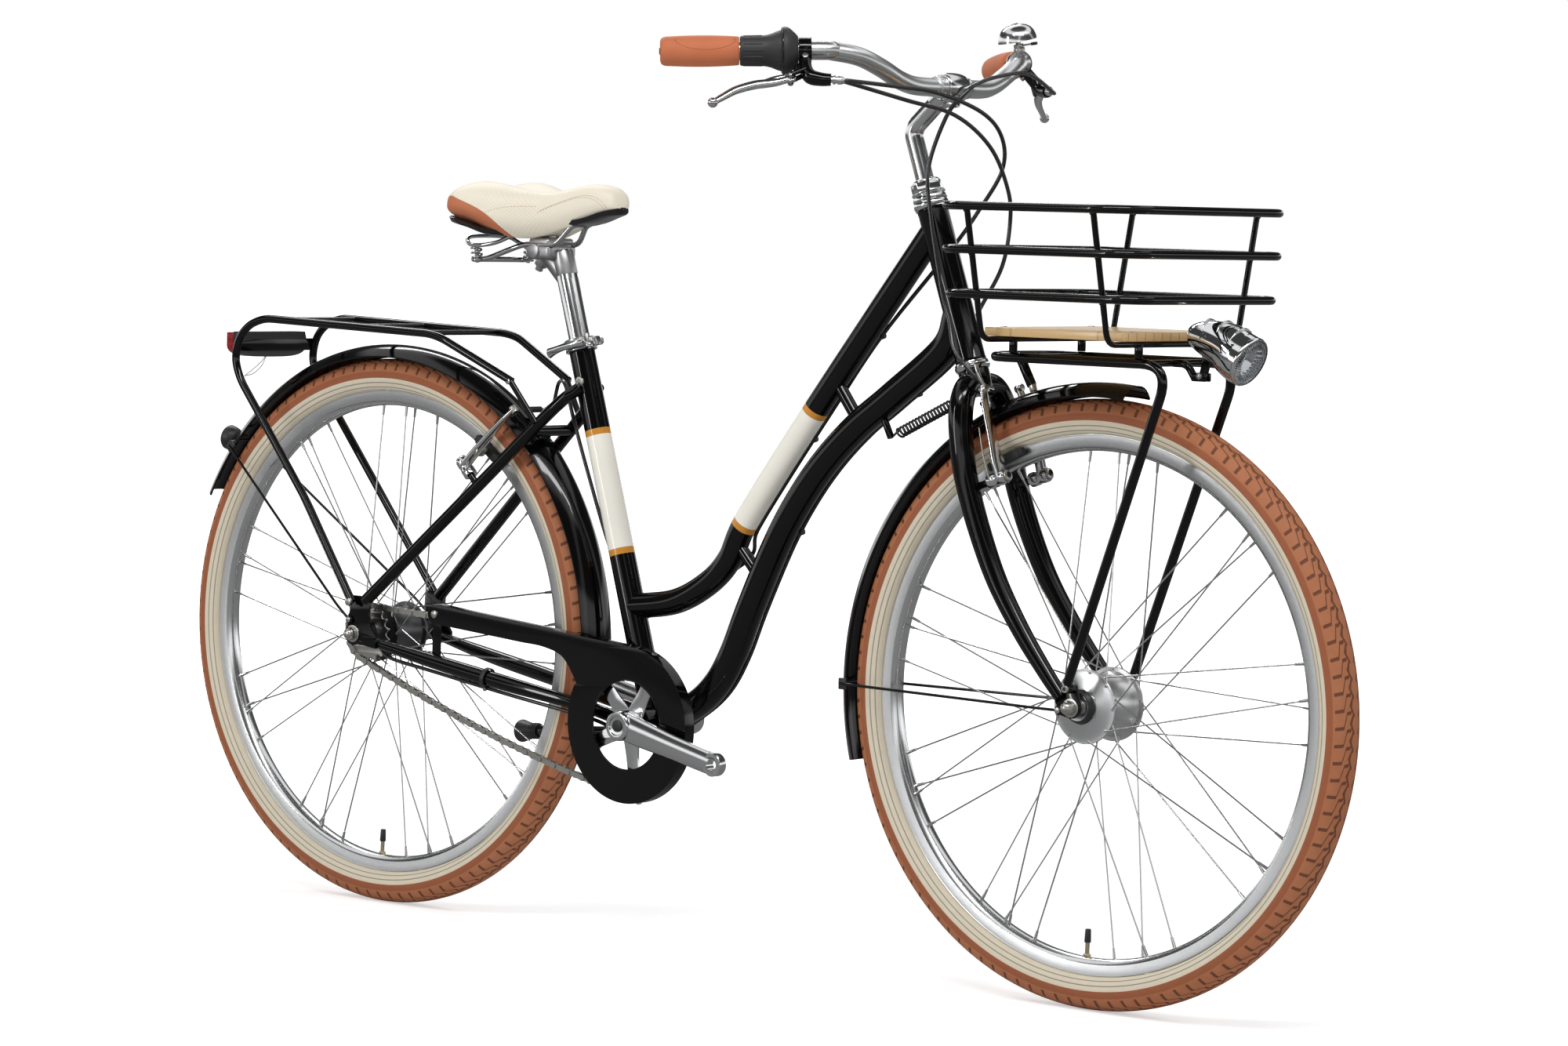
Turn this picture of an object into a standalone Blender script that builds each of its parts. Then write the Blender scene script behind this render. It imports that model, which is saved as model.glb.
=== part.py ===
"""City bike with a curved low-step frame, a front carrier with basket, and a rear carrier.

Metres, +Z up, +X forward, +Y to the rider's left. The origin lies on the ground, midway
between the two axles. Every moving piece is parented to an empty on its joint's axis.
"""
import math

import bmesh
import bpy
from mathutils import Matrix, Vector

# Overall layout
WHEELBASE = 1.155
TYRE_RADIUS = 0.358
HEAD_ANGLE = math.radians(70.2)
FORK_RAKE = 0.058
BRACKET_AHEAD = 0.4655
BRACKET_DROP = 0.0805
SEAT_ANGLE = math.radians(73.2)

# Clearances
GAP = 0.0003
RUNNING_GAP = 0.0005
MERGE = 0.00001
HEX_FLAT = math.cos(math.pi / 6)

# Wheels
WHEEL_STEPS = 24
TYRE_WIDTH = 0.047
TYRE_HEIGHT = 0.0415
TYRE_WALL = 0.0045
RIM_RADIUS = TYRE_RADIUS - TYRE_HEIGHT
RIM_WIDTH = 0.024
RIM_DEPTH = 0.020
SPOKE_RADIUS = 0.001
SPOKES_PER_SIDE = 18
FRONT_FLANGE_RADIUS = 0.044
FRONT_FLANGE_HALF = 0.029
FRONT_HUB_HALF = 0.0497
REAR_FLANGE_RADIUS = 0.038
REAR_FLANGE_HALF = 0.028
REAR_HUB_HALF = 0.0672
AXLE_RADIUS = 0.005

# Frame tubes, by outer radius
HEAD_TUBE_RADIUS = 0.0185
HEAD_TUBE_BORE = 0.0165
HEAD_TUBE_LOW = 0.437
HEAD_TUBE_TOP = 0.629
UPPER_TUBE_RADIUS = 0.0160
DOWN_TUBE_RADIUS = 0.0180
SEAT_TUBE_RADIUS = 0.0165
SEAT_TUBE_LENGTH = 0.4960
SEAT_POST_RADIUS = 0.0136
CHAIN_STAY_RADIUS = 0.0100
SEAT_STAY_RADIUS = 0.0080
SHELL_RADIUS = 0.0200
SHELL_BORE = 0.0170
SHELL_HALF = 0.0340
DROPOUT_THICKNESS = 0.0050

# Steering
STEERER_RADIUS = 0.0127
CUP_RADIUS = 0.0215
FORK_LEG_RADIUS = 0.0142
FORK_END_RADIUS = 0.0088
STEM_RADIUS = 0.0111
STEM_KINK = 0.7294
CLAMP_ALONG = 0.7575
CLAMP_AHEAD = 0.0703
BAR_RADIUS = 0.0111
BAR_SLEEVE_RADIUS = 0.0127
BAR_HALF_WIDTH = 0.315
SLEEVE_STEPS = 12
SLEEVE_BORE = (BAR_RADIUS + GAP) / math.cos(math.pi / SLEEVE_STEPS)
GRIP_RADIUS = 0.0170
GRIP_LENGTH = 0.088
SHIFTER_LENGTH = 0.048
SHIFTER_HOUSING_LENGTH = 0.019
LEVER_TILT = math.radians(48)

# Brakes
STUD_SPREAD = 0.0405
STUD_RADIUS = 0.0045
BRAKE_ARM_LENGTH = 0.112
PAD_GAP = 0.0024
PAD_THICKNESS = 0.0100
PAD_LENGTH = 0.055

# Drive
CHAIN_PITCH = 0.0127
CHAINRING_TEETH = 44
SPROCKET_TEETH = 18
CHAIN_LINE = -0.0445
CHAIN_HALF_HEIGHT = 0.0042
CHAIN_WIDTH = 0.0080
CHAIN_SAG = 0.0110
RING_THICKNESS = 0.0030
CRANK_LENGTH = 0.170
CRANK_ANGLE = math.radians(-11)
CRANK_FACE = 0.0660
CRANK_TIP_FACE = 0.0850
GUARD_RADIUS = 0.0985
GUARD_HOLE_RADIUS = 0.0560
GUARD_FACE = -0.0560
GUARD_DEPTH = 0.0170
GUARD_WALL = 0.0015

# Carriers and basket
RACK_TUBE_RADIUS = 0.0053
RACK_HALF_WIDTH = 0.0715
FRONT_RACK_RADIUS = 0.0058
FRONT_RACK_HALF_WIDTH = 0.0675
FRONT_RACK_HEIGHT = 0.403
RING_TUBE_RADIUS = 0.0050
UPRIGHT_RADIUS = 0.0036
BASKET_LENGTH = 0.2810
BASKET_HEIGHT = 0.578
BASKET_FLOOR_TOP = 0.4385
BOARD_THICKNESS = 0.010
BOARD_LENGTH = 0.200
BOARD_WIDTH = 0.220

# Mudguards
MUDGUARD_RADIUS = TYRE_RADIUS + 0.0185
MUDGUARD_HALF_WIDTH = 0.0265
MUDGUARD_CROWN = 0.0110
MUDGUARD_WALL = 0.0014
MUDGUARD_STEPS = 12
WIRE_RADIUS = 0.0018

# Saddle
SADDLE_HEIGHT = 0.594
SADDLE_LENGTH = 0.238
SADDLE_WIDTH = 0.182
SADDLE_NOSE_AHEAD = 0.391
RAIL_RADIUS = 0.0035

# Kickstand
KICKSTAND_LEG_LENGTH = 0.262
KICKSTAND_LEG_RADIUS = 0.0078

# Cables
HOUSING_RADIUS = 0.0025

REAR_HUB = Vector((-WHEELBASE / 2, 0, TYRE_RADIUS))
FRONT_HUB = Vector((WHEELBASE / 2, 0, TYRE_RADIUS))
BRACKET = REAR_HUB + Vector((BRACKET_AHEAD, 0, -BRACKET_DROP))
STEER_UP = Vector((-math.cos(HEAD_ANGLE), 0, math.sin(HEAD_ANGLE)))
STEER_AHEAD = Vector((math.sin(HEAD_ANGLE), 0, math.cos(HEAD_ANGLE)))
STEER_FOOT = FRONT_HUB - FORK_RAKE * STEER_AHEAD
SEAT_UP = Vector((-math.cos(SEAT_ANGLE), 0, math.sin(SEAT_ANGLE)))
SEAT_AHEAD = Vector((math.sin(SEAT_ANGLE), 0, math.cos(SEAT_ANGLE)))
LEFTWARD = Vector((0, 1, 0))
UPWARD = Vector((0, 0, 1))
FORWARD = Vector((1, 0, 0))


# Placing points from the bike's own reference points

def rear(x, z, y=0.0):
    """A point given from the rear axle's middle."""
    return REAR_HUB + Vector((x, y, z))


def front(x, z, y=0.0):
    """A point given from the front axle's middle."""
    return FRONT_HUB + Vector((x, y, z))


def steer(along, ahead, side=0.0):
    """A point given along and ahead of the steering axis."""
    return STEER_FOOT + along * STEER_UP + ahead * STEER_AHEAD + side * LEFTWARD


def seat(along, ahead=0.0, side=0.0):
    """A point given along the seat tube from the bottom bracket."""
    return BRACKET + along * SEAT_UP + ahead * SEAT_AHEAD + side * LEFTWARD


def between(start, end, share, bulge):
    """A point part of the way from start to end, moved sideways in the middle plane."""
    along = end - start
    across = Vector((-along.z, 0, along.x)).normalized()
    return start + share * along + bulge * across


def smooth_path(points, steps):
    """Points on a smooth curve through the given ones."""
    ends = [2 * points[0] - points[1]] + list(points) + [2 * points[-1] - points[-2]]
    path = []
    for i in range(len(points) - 1):
        a, b, c, d = ends[i:i + 4]
        for k in range(steps):
            t = k / steps
            path.append(0.5 * (2 * b + (c - a) * t + (2 * a - 5 * b + 4 * c - d) * t ** 2
                               + (3 * b - a - 3 * c + d) * t ** 3))
    return path + [points[-1].copy()]


def arc(centre, radius, start, end, steps):
    """Points of a circular arc in a plane, angles in degrees."""
    angles = [math.radians(start + (end - start) * k / steps) for k in range(steps + 1)]
    return [(centre[0] + radius * math.cos(a), centre[1] + radius * math.sin(a)) for a in angles]


# Building solids

def collection(name):
    group = bpy.data.collections.new(name)
    bpy.context.scene.collection.children.link(group)
    return group


def material(name, colour, roughness, metallic=0.0):
    mat = bpy.data.materials.new(name)
    mat.use_nodes = True
    shader = mat.node_tree.nodes["Principled BSDF"]
    shader.inputs["Base Color"].default_value = (*colour, 1)
    shader.inputs["Roughness"].default_value = roughness
    shader.inputs["Metallic"].default_value = metallic
    return mat


def add(name, data, finish):
    obj = bpy.data.objects.new(name, data)
    if finish:
        data.materials.append(finish)
    PARTS.objects.link(obj)
    return obj


def bmesh_object(name, bm, finish):
    mesh = bpy.data.meshes.new(name)
    bm.to_mesh(mesh)
    bm.free()
    mesh.shade_smooth()
    mesh.set_sharp_from_angle(angle=math.radians(40))
    return add(name, mesh, finish)


def tube(name, points, radius, finish, sides=12, cyclic=False):
    """A round tube along the points, with one radius or one for each point."""
    radii = radius if isinstance(radius, list) else [radius] * len(points)
    curve = bpy.data.curves.new(name, "CURVE")
    curve.dimensions = "3D"
    curve.bevel_depth = max(radii)
    curve.bevel_resolution = sides // 2 - 2
    curve.use_fill_caps = not cyclic
    spline = curve.splines.new("POLY")
    spline.points.add(len(points) - 1)
    for point, place, size in zip(spline.points, points, radii):
        point.co = (*place, 1)
        point.radius = size / max(radii)
    spline.use_cyclic_u = cyclic
    return add(name, curve, finish)


def as_mesh(obj):
    """The same shape as a closed mesh, ready to be cut or joined."""
    bpy.context.view_layer.update()
    name = obj.name
    finish = obj.data.materials[0] if obj.data.materials else None
    evaluated = obj.evaluated_get(bpy.context.evaluated_depsgraph_get())
    mesh = bpy.data.meshes.new_from_object(evaluated)
    bm = bmesh.new()
    bm.from_mesh(mesh)
    bmesh.ops.remove_doubles(bm, verts=bm.verts, dist=MERGE)
    bm.to_mesh(mesh)
    bm.free()
    place = obj.matrix_world.copy()
    bpy.data.objects.remove(obj)
    mesh.materials.clear()
    solid = add(name, mesh, finish)
    solid.matrix_world = place
    return solid


def solid_tube(name, points, radius, finish, sides=12, cyclic=False):
    return as_mesh(tube(name, points, radius, finish, sides, cyclic))


def rod(name, start, end, radius, finish, sides=12, end_radius=None):
    """A straight round bar, or a cone when the end radius differs."""
    along = end - start
    bm = bmesh.new()
    bmesh.ops.create_cone(bm, cap_ends=True, segments=sides, radius1=radius,
                          radius2=radius if end_radius is None else end_radius, depth=along.length)
    obj = bmesh_object(name, bm, finish)
    obj.location = (start + end) / 2
    obj.rotation_euler = along.to_track_quat("Z", "Y").to_euler()
    return obj


def block(name, centre, size, finish, rotation=(0, 0, 0)):
    bm = bmesh.new()
    bmesh.ops.create_cube(bm, size=1, matrix=Matrix.Diagonal((*size, 1)))
    obj = bmesh_object(name, bm, finish)
    obj.location = centre
    obj.rotation_euler = rotation
    return obj


def turned(name, profile, origin, axis, finish, steps=24, spin=0.0):
    """A turned solid; the profile is a closed loop of (radius, height), or starts and ends at radius 0."""
    loop = profile[0][0] > 0
    area = sum(a[0] * b[1] - b[0] * a[1] for a, b in zip(profile, profile[1:] + profile[:1]))
    if area > 0:
        profile = profile[::-1]
    count = len(profile)
    edges = [(i, i + 1) for i in range(count - 1)]
    if loop:
        edges.append((count - 1, 0))
    mesh = bpy.data.meshes.new(name)
    mesh.from_pydata([(r, 0, z) for r, z in profile], edges, [])
    obj = add(name, mesh, finish)
    obj.location = origin
    obj.rotation_euler = (axis.to_track_quat("Z", "Y") @ Matrix.Rotation(spin, 3, "Z").to_quaternion()).to_euler()
    screw = obj.modifiers.new("turn", "SCREW")
    screw.steps = steps
    screw.render_steps = steps
    screw.use_merge_vertices = True
    screw.merge_threshold = MERGE
    screw.use_smooth_shade = True
    return obj


def side_plate(name, outline, thickness, y, finish, holes=()):
    """A flat plate in the bike's middle direction; outline points are world (x, z)."""
    curve = bpy.data.curves.new(name, "CURVE")
    curve.dimensions = "2D"
    curve.fill_mode = "BOTH"
    curve.extrude = thickness / 2
    for loop in (outline, *holes):
        spline = curve.splines.new("POLY")
        spline.points.add(len(loop) - 1)
        for point, (x, z) in zip(spline.points, loop):
            point.co = (x, z, 0, 1)
        spline.use_cyclic_u = True
    obj = add(name, curve, finish)
    obj.location = (0, y, 0)
    obj.rotation_euler = (math.pi / 2, 0, 0)
    return as_mesh(obj)


def boolean(target, tool, operation):
    modifier = target.modifiers.new(tool.name, "BOOLEAN")
    modifier.operation = operation
    modifier.solver = "EXACT"
    modifier.object = tool
    if tool.name in PARTS.objects:
        PARTS.objects.unlink(tool)
        CUTTERS.objects.link(tool)
    tool.hide_render = True
    tool.display_type = "WIRE"
    return target


def join(target, *tools):
    for tool in tools:
        boolean(target, tool, "UNION")
    return target


def cut(target, *tools):
    for tool in tools:
        boolean(target, tool, "DIFFERENCE")
    return target


def pivot(name, location, *pieces):
    """An empty on a joint's axis, carrying the pieces that move with it."""
    empty = bpy.data.objects.new(name, None)
    empty.location = location
    empty.empty_display_size = 0.05
    PARTS.objects.link(empty)
    for piece in pieces:
        piece.parent = empty
        piece.matrix_parent_inverse = Matrix.Translation(location).inverted()
    return empty


for leftover in list(bpy.data.objects):
    bpy.data.objects.remove(leftover)
PARTS = collection("city_bike")
CUTTERS = collection("cutters")

BLACK_PAINT = material("black_paint", (0.008, 0.008, 0.009), 0.12)
BLACK_PLASTIC = material("black_plastic", (0.012, 0.012, 0.013), 0.45)
POLISHED = material("polished_aluminium", (0.78, 0.79, 0.80), 0.18, 1.0)
SATIN = material("satin_aluminium", (0.68, 0.69, 0.70), 0.38, 1.0)
DARK_METAL = material("dark_hub_metal", (0.10, 0.10, 0.11), 0.45, 1.0)
STEEL = material("zinc_steel", (0.62, 0.60, 0.56), 0.32, 1.0)
CHROME = material("chrome", (0.86, 0.86, 0.87), 0.05, 1.0)
TYRE_RUBBER = material("tyre_rubber", (0.42, 0.15, 0.06), 0.75)
BROWN_GRIP = material("brown_grip", (0.50, 0.17, 0.06), 0.65)
CREAM_COVER = material("cream_cover", (0.80, 0.73, 0.58), 0.55)
BAMBOO = material("bamboo", (0.78, 0.55, 0.28), 0.45)
LENS = material("clear_lens", (0.90, 0.92, 0.94), 0.08)


# Upper frame: head tube, two curved main tubes and two short struts, welded into one

HEAD_LOW = steer(HEAD_TUBE_LOW, 0)
HEAD_TOP = steer(HEAD_TUBE_TOP, 0)
UPPER_TUBE_HEAD = steer(0.5887, -0.0302)
UPPER_TUBE_SEAT = seat(0.1507, 0.0106)
DOWN_TUBE_HEAD = steer(0.5010, 0)
UPPER_TUBE_SHAPE = [(0.200, 0.0120), (0.394, 0.0242), (0.560, 0.0360), (0.690, 0.0477), (0.761, 0.0615),
                    (0.833, 0.0600), (0.923, 0.0400)]
DOWN_TUBE_SHAPE = [(0.065, 0.0150), (0.202, -0.0038), (0.288, -0.0176), (0.377, -0.0245), (0.465, -0.0230),
                   (0.560, -0.0130), (0.689, 0.0110), (0.780, 0.0310), (0.850, 0.0380), (0.920, 0.0290)]


def bent_tube_path(start, end, shape):
    return [start] + [between(start, end, share, bulge) for share, bulge in shape] + [end]


UPPER_BEND = smooth_path(bent_tube_path(UPPER_TUBE_HEAD, UPPER_TUBE_SEAT, UPPER_TUBE_SHAPE)[3:], 2)
UPPER_TUBE_PATH = [steer(0.6076, 0), UPPER_TUBE_HEAD,
                   *bent_tube_path(UPPER_TUBE_HEAD, UPPER_TUBE_SEAT, UPPER_TUBE_SHAPE)[1:3], *UPPER_BEND, seat(0.1496)]
DOWN_TUBE_PATH = bent_tube_path(DOWN_TUBE_HEAD, BRACKET, DOWN_TUBE_SHAPE)
SPRING_LUG = steer(0.3876, -0.1447)
SPRING_LUG_ROOT = steer(0.4174, -0.1483)
STRUTS = ((steer(0.4734, -0.2031), steer(0.4205, -0.1860)),
          (between(UPPER_TUBE_HEAD, UPPER_TUBE_SEAT, 0.7241, 0.0533), between(DOWN_TUBE_HEAD, BRACKET, 0.6386, 0.0058)))


def main_frame():
    frame = rod("main_frame", HEAD_LOW, HEAD_TOP, HEAD_TUBE_RADIUS, BLACK_PAINT, 16)
    upper = solid_tube("upper_tube_run", UPPER_TUBE_PATH, UPPER_TUBE_RADIUS, None, 10)
    down = solid_tube("down_tube_run", DOWN_TUBE_PATH, DOWN_TUBE_RADIUS, None, 10)
    join(frame, upper, down)
    for number, (upper_at, down_at) in enumerate(STRUTS):
        join(frame, rod(f"strut_{number}", upper_at, down_at, 0.008, None, 6))
    join(frame, rod("spring_lug", SPRING_LUG_ROOT, SPRING_LUG, 0.0045, None, 6))
    bore = rod("head_bore", HEAD_LOW - 0.01 * STEER_UP, HEAD_TOP + 0.01 * STEER_UP, HEAD_TUBE_BORE, None, 16)
    seat_room = rod("seat_tube_room", seat(-0.010), seat(0.24), SEAT_TUBE_RADIUS + GAP, None, 16)
    shell_room = rod("shell_room", BRACKET - 0.05 * LEFTWARD, BRACKET + 0.05 * LEFTWARD, SHELL_RADIUS + GAP,
                     None, 16)
    cut(frame, bore, seat_room, shell_room)
    return frame


main_frame()


# Seat tube, seat post clamp

def seat_tube():
    tube_body = rod("seat_tube", BRACKET, seat(SEAT_TUBE_LENGTH), SEAT_TUBE_RADIUS, BLACK_PAINT, 16)
    bore = rod("seat_bore", seat(-0.01), seat(SEAT_TUBE_LENGTH + 0.01), SEAT_POST_RADIUS + GAP, None, 16)
    shell_room = rod("shell_room_seat", BRACKET - 0.05 * LEFTWARD, BRACKET + 0.05 * LEFTWARD,
                     SHELL_RADIUS + GAP, None, 16)
    return cut(tube_body, bore, shell_room)


seat_tube()


# Chain stays with the bottom bracket shell, dropouts and kickstand plate, welded into one

STAY_SHAPE = [(0.022, 0.0640, -0.0080, 0.60), (0.130, 0.0560, -0.0270, 0.95), (0.250, 0.0480, -0.0460, 1.0),
              (0.350, 0.0345, -0.0620, 0.82), (0.400, 0.0315, -0.0705, 0.84), (0.452, 0.0285, -0.0830, 0.85)]
DROPOUT_INNER = REAR_HUB_HALF + GAP
DROPOUT_MIDDLE = DROPOUT_INNER + DROPOUT_THICKNESS / 2
SEAT_STAY_FOOT = rear(0.018, 0.044)
KICK_PLATE_AHEAD = BRACKET_AHEAD - 0.047
KICK_PLATE_DROP = 0.0715
KICK_PLATE_TILT = math.radians(9.8)
KICK_PIVOT = rear(KICK_PLATE_AHEAD + 0.0015, -0.1010, 0.0420)
KICK_AXIS = Vector((0, 0.9816, 0.1909))
KICK_FOLDED = Vector((-0.985, 0.150, -0.085)).normalized()
KICK_PIN_RADIUS = 0.0045


def chain_stay_path(side):
    return [rear(x, z, side * y) for x, y, z, _ in STAY_SHAPE]


def dropout_outline(grow):
    """The dropout seen from the side: round the axle, up to the seat stay, ahead to the chain stay."""
    ring = arc((REAR_HUB.x, REAR_HUB.z), 0.0150 + grow, 140, 300, 6)
    ahead = rear(0.040 + grow, -0.017 - grow)
    ahead_top = rear(0.040 + grow, -0.002 + grow)
    top_front = rear(0.027 + grow, 0.050 + grow)
    top_rear = rear(-0.004 - grow, 0.050 + grow)
    return ring + [(p.x, p.z) for p in (ahead, ahead_top, top_front, top_rear)]


def chain_stays():
    stays = rod("chain_stays", BRACKET - SHELL_HALF * LEFTWARD, BRACKET + SHELL_HALF * LEFTWARD, SHELL_RADIUS,
                BLACK_PAINT, 16)
    radii = [CHAIN_STAY_RADIUS * share for *_, share in STAY_SHAPE]
    for label, side in (("left", 1), ("right", -1)):
        run = solid_tube(f"chain_stay_{label}", chain_stay_path(side), radii, None, 8)
        plate = side_plate(f"dropout_{label}", dropout_outline(0), DROPOUT_THICKNESS, side * DROPOUT_MIDDLE, None)
        join(stays, run, plate)
    plate_centre = rear(KICK_PLATE_AHEAD, -KICK_PLATE_DROP)
    join(stays, block("kick_plate", plate_centre, (0.030, 0.064, 0.005), None, (0, KICK_PLATE_TILT, 0)))
    down = Vector((-math.sin(KICK_PLATE_TILT), 0, -math.cos(KICK_PLATE_TILT)))
    join(stays, block("kick_block", plate_centre + 0.0160 * down, (0.026, 0.036, 0.032), None, (0, KICK_PLATE_TILT, 0)))
    inner = KICK_PIVOT - 0.0104 * KICK_AXIS
    join(stays, rod("kick_boss", inner - 0.022 * KICK_AXIS, inner, 0.0105, None, 8))
    join(stays, rod("kick_pin", inner - 0.004 * KICK_AXIS, KICK_PIVOT + 0.0140 * KICK_AXIS, KICK_PIN_RADIUS, None, 6))
    bore = rod("shell_bore", BRACKET - 0.05 * LEFTWARD, BRACKET + 0.05 * LEFTWARD, SHELL_BORE, None, 16)
    axle_hole = rod("rear_axle_hole", REAR_HUB - 0.09 * LEFTWARD, REAR_HUB + 0.09 * LEFTWARD, AXLE_RADIUS + GAP,
                    None, 12)
    return cut(stays, bore, axle_hole)


chain_stays()


# Seat stays with their bridge and the rear brake studs

SEAT_STAY_TOP = seat(0.4345)
STAY_ALONG = (SEAT_STAY_TOP - SEAT_STAY_FOOT).normalized()
STAY_OUT = Vector((-STAY_ALONG.z, 0, STAY_ALONG.x))
REAR_STUD = rear(0.1850, 0.2050)
STUD_LENGTH = 0.0440


def seat_stays():
    paths = {}
    for label, side in (("left", 1), ("right", -1)):
        points = [SEAT_STAY_FOOT + side * 0.0690 * LEFTWARD,
                  SEAT_STAY_FOOT.lerp(SEAT_STAY_TOP, 0.5) + side * 0.0485 * LEFTWARD,
                  SEAT_STAY_FOOT.lerp(SEAT_STAY_TOP, 0.9) + side * 0.0325 * LEFTWARD,
                  SEAT_STAY_TOP + side * 0.0170 * LEFTWARD]
        paths[label] = points
    stays = solid_tube("seat_stays", paths["left"], SEAT_STAY_RADIUS, BLACK_PAINT, 10)
    right = solid_tube("seat_stay_right", paths["right"], SEAT_STAY_RADIUS, None, 10)
    place = SEAT_STAY_FOOT.lerp(SEAT_STAY_TOP, 0.80)
    bridge = rod("stay_bridge", place - 0.036 * LEFTWARD, place + 0.036 * LEFTWARD, 0.0070, None, 8)
    join(stays, bridge, right)
    for label, side in (("left", 1), ("right", -1)):
        foot = REAR_STUD + side * STUD_SPREAD * LEFTWARD
        stud = rod(f"rear_stud_{label}", foot, foot + STUD_LENGTH * STAY_OUT, STUD_RADIUS, None, 6)
        join(stays, stud)
        room = side_plate(f"dropout_room_{label}", dropout_outline(GAP), DROPOUT_THICKNESS + 2 * GAP,
                          side * DROPOUT_MIDDLE, None)
        cut(stays, room)
    seat_room = rod("seat_tube_room_stays", seat(0.36), seat(SEAT_TUBE_LENGTH), SEAT_TUBE_RADIUS + GAP, None, 16)
    return cut(stays, seat_room)


seat_stays()


# Headset: a cup pressed in each end of the head tube, a lock nut on the steerer

CUP_HEIGHT = 0.010


def headset():
    inner = STEERER_RADIUS + 0.0008
    for name, end, outward in (("headset_cup_lower", HEAD_LOW, -STEER_UP), ("headset_cup_upper", HEAD_TOP, STEER_UP)):
        profile = [(CUP_RADIUS - 0.001, GAP), (CUP_RADIUS, 0.005), (CUP_RADIUS - 0.002, CUP_HEIGHT),
                   (inner, CUP_HEIGHT), (inner, -0.010), (HEAD_TUBE_BORE - 0.0007, -0.010), (HEAD_TUBE_BORE - 0.0007, GAP)]
        turned(name, profile, end, outward, CHROME, 14)
    nut_base = CUP_HEIGHT + GAP
    profile = [(inner, nut_base), (CUP_RADIUS - 0.001, nut_base), (CUP_RADIUS - 0.001, nut_base + 0.007),
               (0.0165, nut_base + 0.010), (0.0195, nut_base + 0.014), (0.0195, nut_base + 0.023),
               (0.0170, nut_base + 0.026), (inner, nut_base + 0.026)]
    return turned("headset_lock_nut", profile, HEAD_TOP, STEER_UP, CHROME, 14)


LOCK_NUT_TOP = HEAD_TUBE_TOP + CUP_HEIGHT + GAP + 0.026
LOCK_NUT = headset()


# Fork: steerer, crown, two legs that curve ahead and taper, brake studs and dropouts

FORK_LEG_SHAPE = [(0.4095, 0.000, 0.000, 1.00), (0.4055, 0.004, 0.026, 1.02), (0.3800, 0.000, 0.0425, 1.04),
                  (0.3400, -0.008, 0.0470, 1.02), (0.2950, -0.014, 0.0475, 1.0), (0.2350, -0.013, 0.0480, 0.95),
                  (0.1700, -0.005, 0.0495, 0.88), (0.1050, 0.013, 0.0515, 0.78), (0.0480, 0.034, 0.0528, 0.68),
                  (0.0150, 0.048, 0.0535, 0.62)]
FRONT_STUD_ALONG = 0.286
CROWN_LOW = 0.4020
FORK_DROPOUT_INNER = FRONT_HUB_HALF + GAP
FORK_SPRING_LUG = steer(0.4000, -0.0285)
FORK_EYELET = (-0.0165, -0.0040)
CARRIER_EYELET = (0.0010, 0.0230)


def fork_dropout_outline():
    """The fork end seen from the side: round the axle with a tongue up into the leg."""
    leg_end = steer(FORK_LEG_SHAPE[-1][0], FORK_LEG_SHAPE[-1][1])
    toward = (leg_end - FRONT_HUB).normalized()
    heading = math.degrees(math.atan2(toward.z, toward.x))
    across = Vector((-toward.z, 0, toward.x))
    ring = arc((FRONT_HUB.x, FRONT_HUB.z), 0.0125, heading + 110, heading + 250, 8)
    tongue = [leg_end + 0.012 * toward - 0.006 * across, leg_end + 0.012 * toward + 0.006 * across]
    carrier_eyelet = front(*CARRIER_EYELET)
    eyelet = front(*FORK_EYELET)
    upper = arc((carrier_eyelet.x, carrier_eyelet.z), 0.0055, 0, 130, 4)
    return ring + upper + [(p.x, p.z) for p in tongue] + arc((eyelet.x, eyelet.z), 0.0052, 130, 260, 4)


def fork():
    body = rod("fork", steer(CROWN_LOW, 0), steer(LOCK_NUT_TOP - 0.004, 0), STEERER_RADIUS, BLACK_PAINT, 12)
    seat_ring = rod("crown_race", steer(CROWN_LOW - 0.004, 0), steer(HEAD_TUBE_LOW - CUP_HEIGHT - GAP, 0),
                    0.0185, None, 12)
    spring_lug = rod("fork_spring_lug", steer(0.4040, -0.0100), FORK_SPRING_LUG, 0.0040, None, 6)
    join(body, seat_ring, spring_lug)
    radii = [FORK_LEG_RADIUS * share for *_, share in FORK_LEG_SHAPE]
    for label, side in (("left", 1), ("right", -1)):
        path = [steer(a, b, side * y) for a, b, y, _ in FORK_LEG_SHAPE]
        leg = solid_tube(f"fork_leg_{label}", path, radii, None, 8)
        eye = side_plate(f"fork_dropout_{label}", fork_dropout_outline(), DROPOUT_THICKNESS,
                         side * (FORK_DROPOUT_INNER + DROPOUT_THICKNESS / 2), None)
        stud_foot = steer(FRONT_STUD_ALONG, -0.012, side * STUD_SPREAD)
        stud = rod(f"front_stud_{label}", stud_foot, steer(FRONT_STUD_ALONG, STUD_LENGTH, side * STUD_SPREAD),
                   STUD_RADIUS, None, 6)
        join(body, leg, eye, stud)
    axle_hole = rod("front_axle_hole", FRONT_HUB - 0.09 * LEFTWARD, FRONT_HUB + 0.09 * LEFTWARD,
                    AXLE_RADIUS + GAP, None, 12)
    bore = rod("steerer_bore", steer(0.520, 0), steer(LOCK_NUT_TOP + 0.02, 0), STEM_RADIUS + GAP, None, 12)
    return cut(body, axle_hole, bore)


FORK = fork()


# Wheels: tyre, rim, hub and the crossed spokes of each flange

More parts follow.
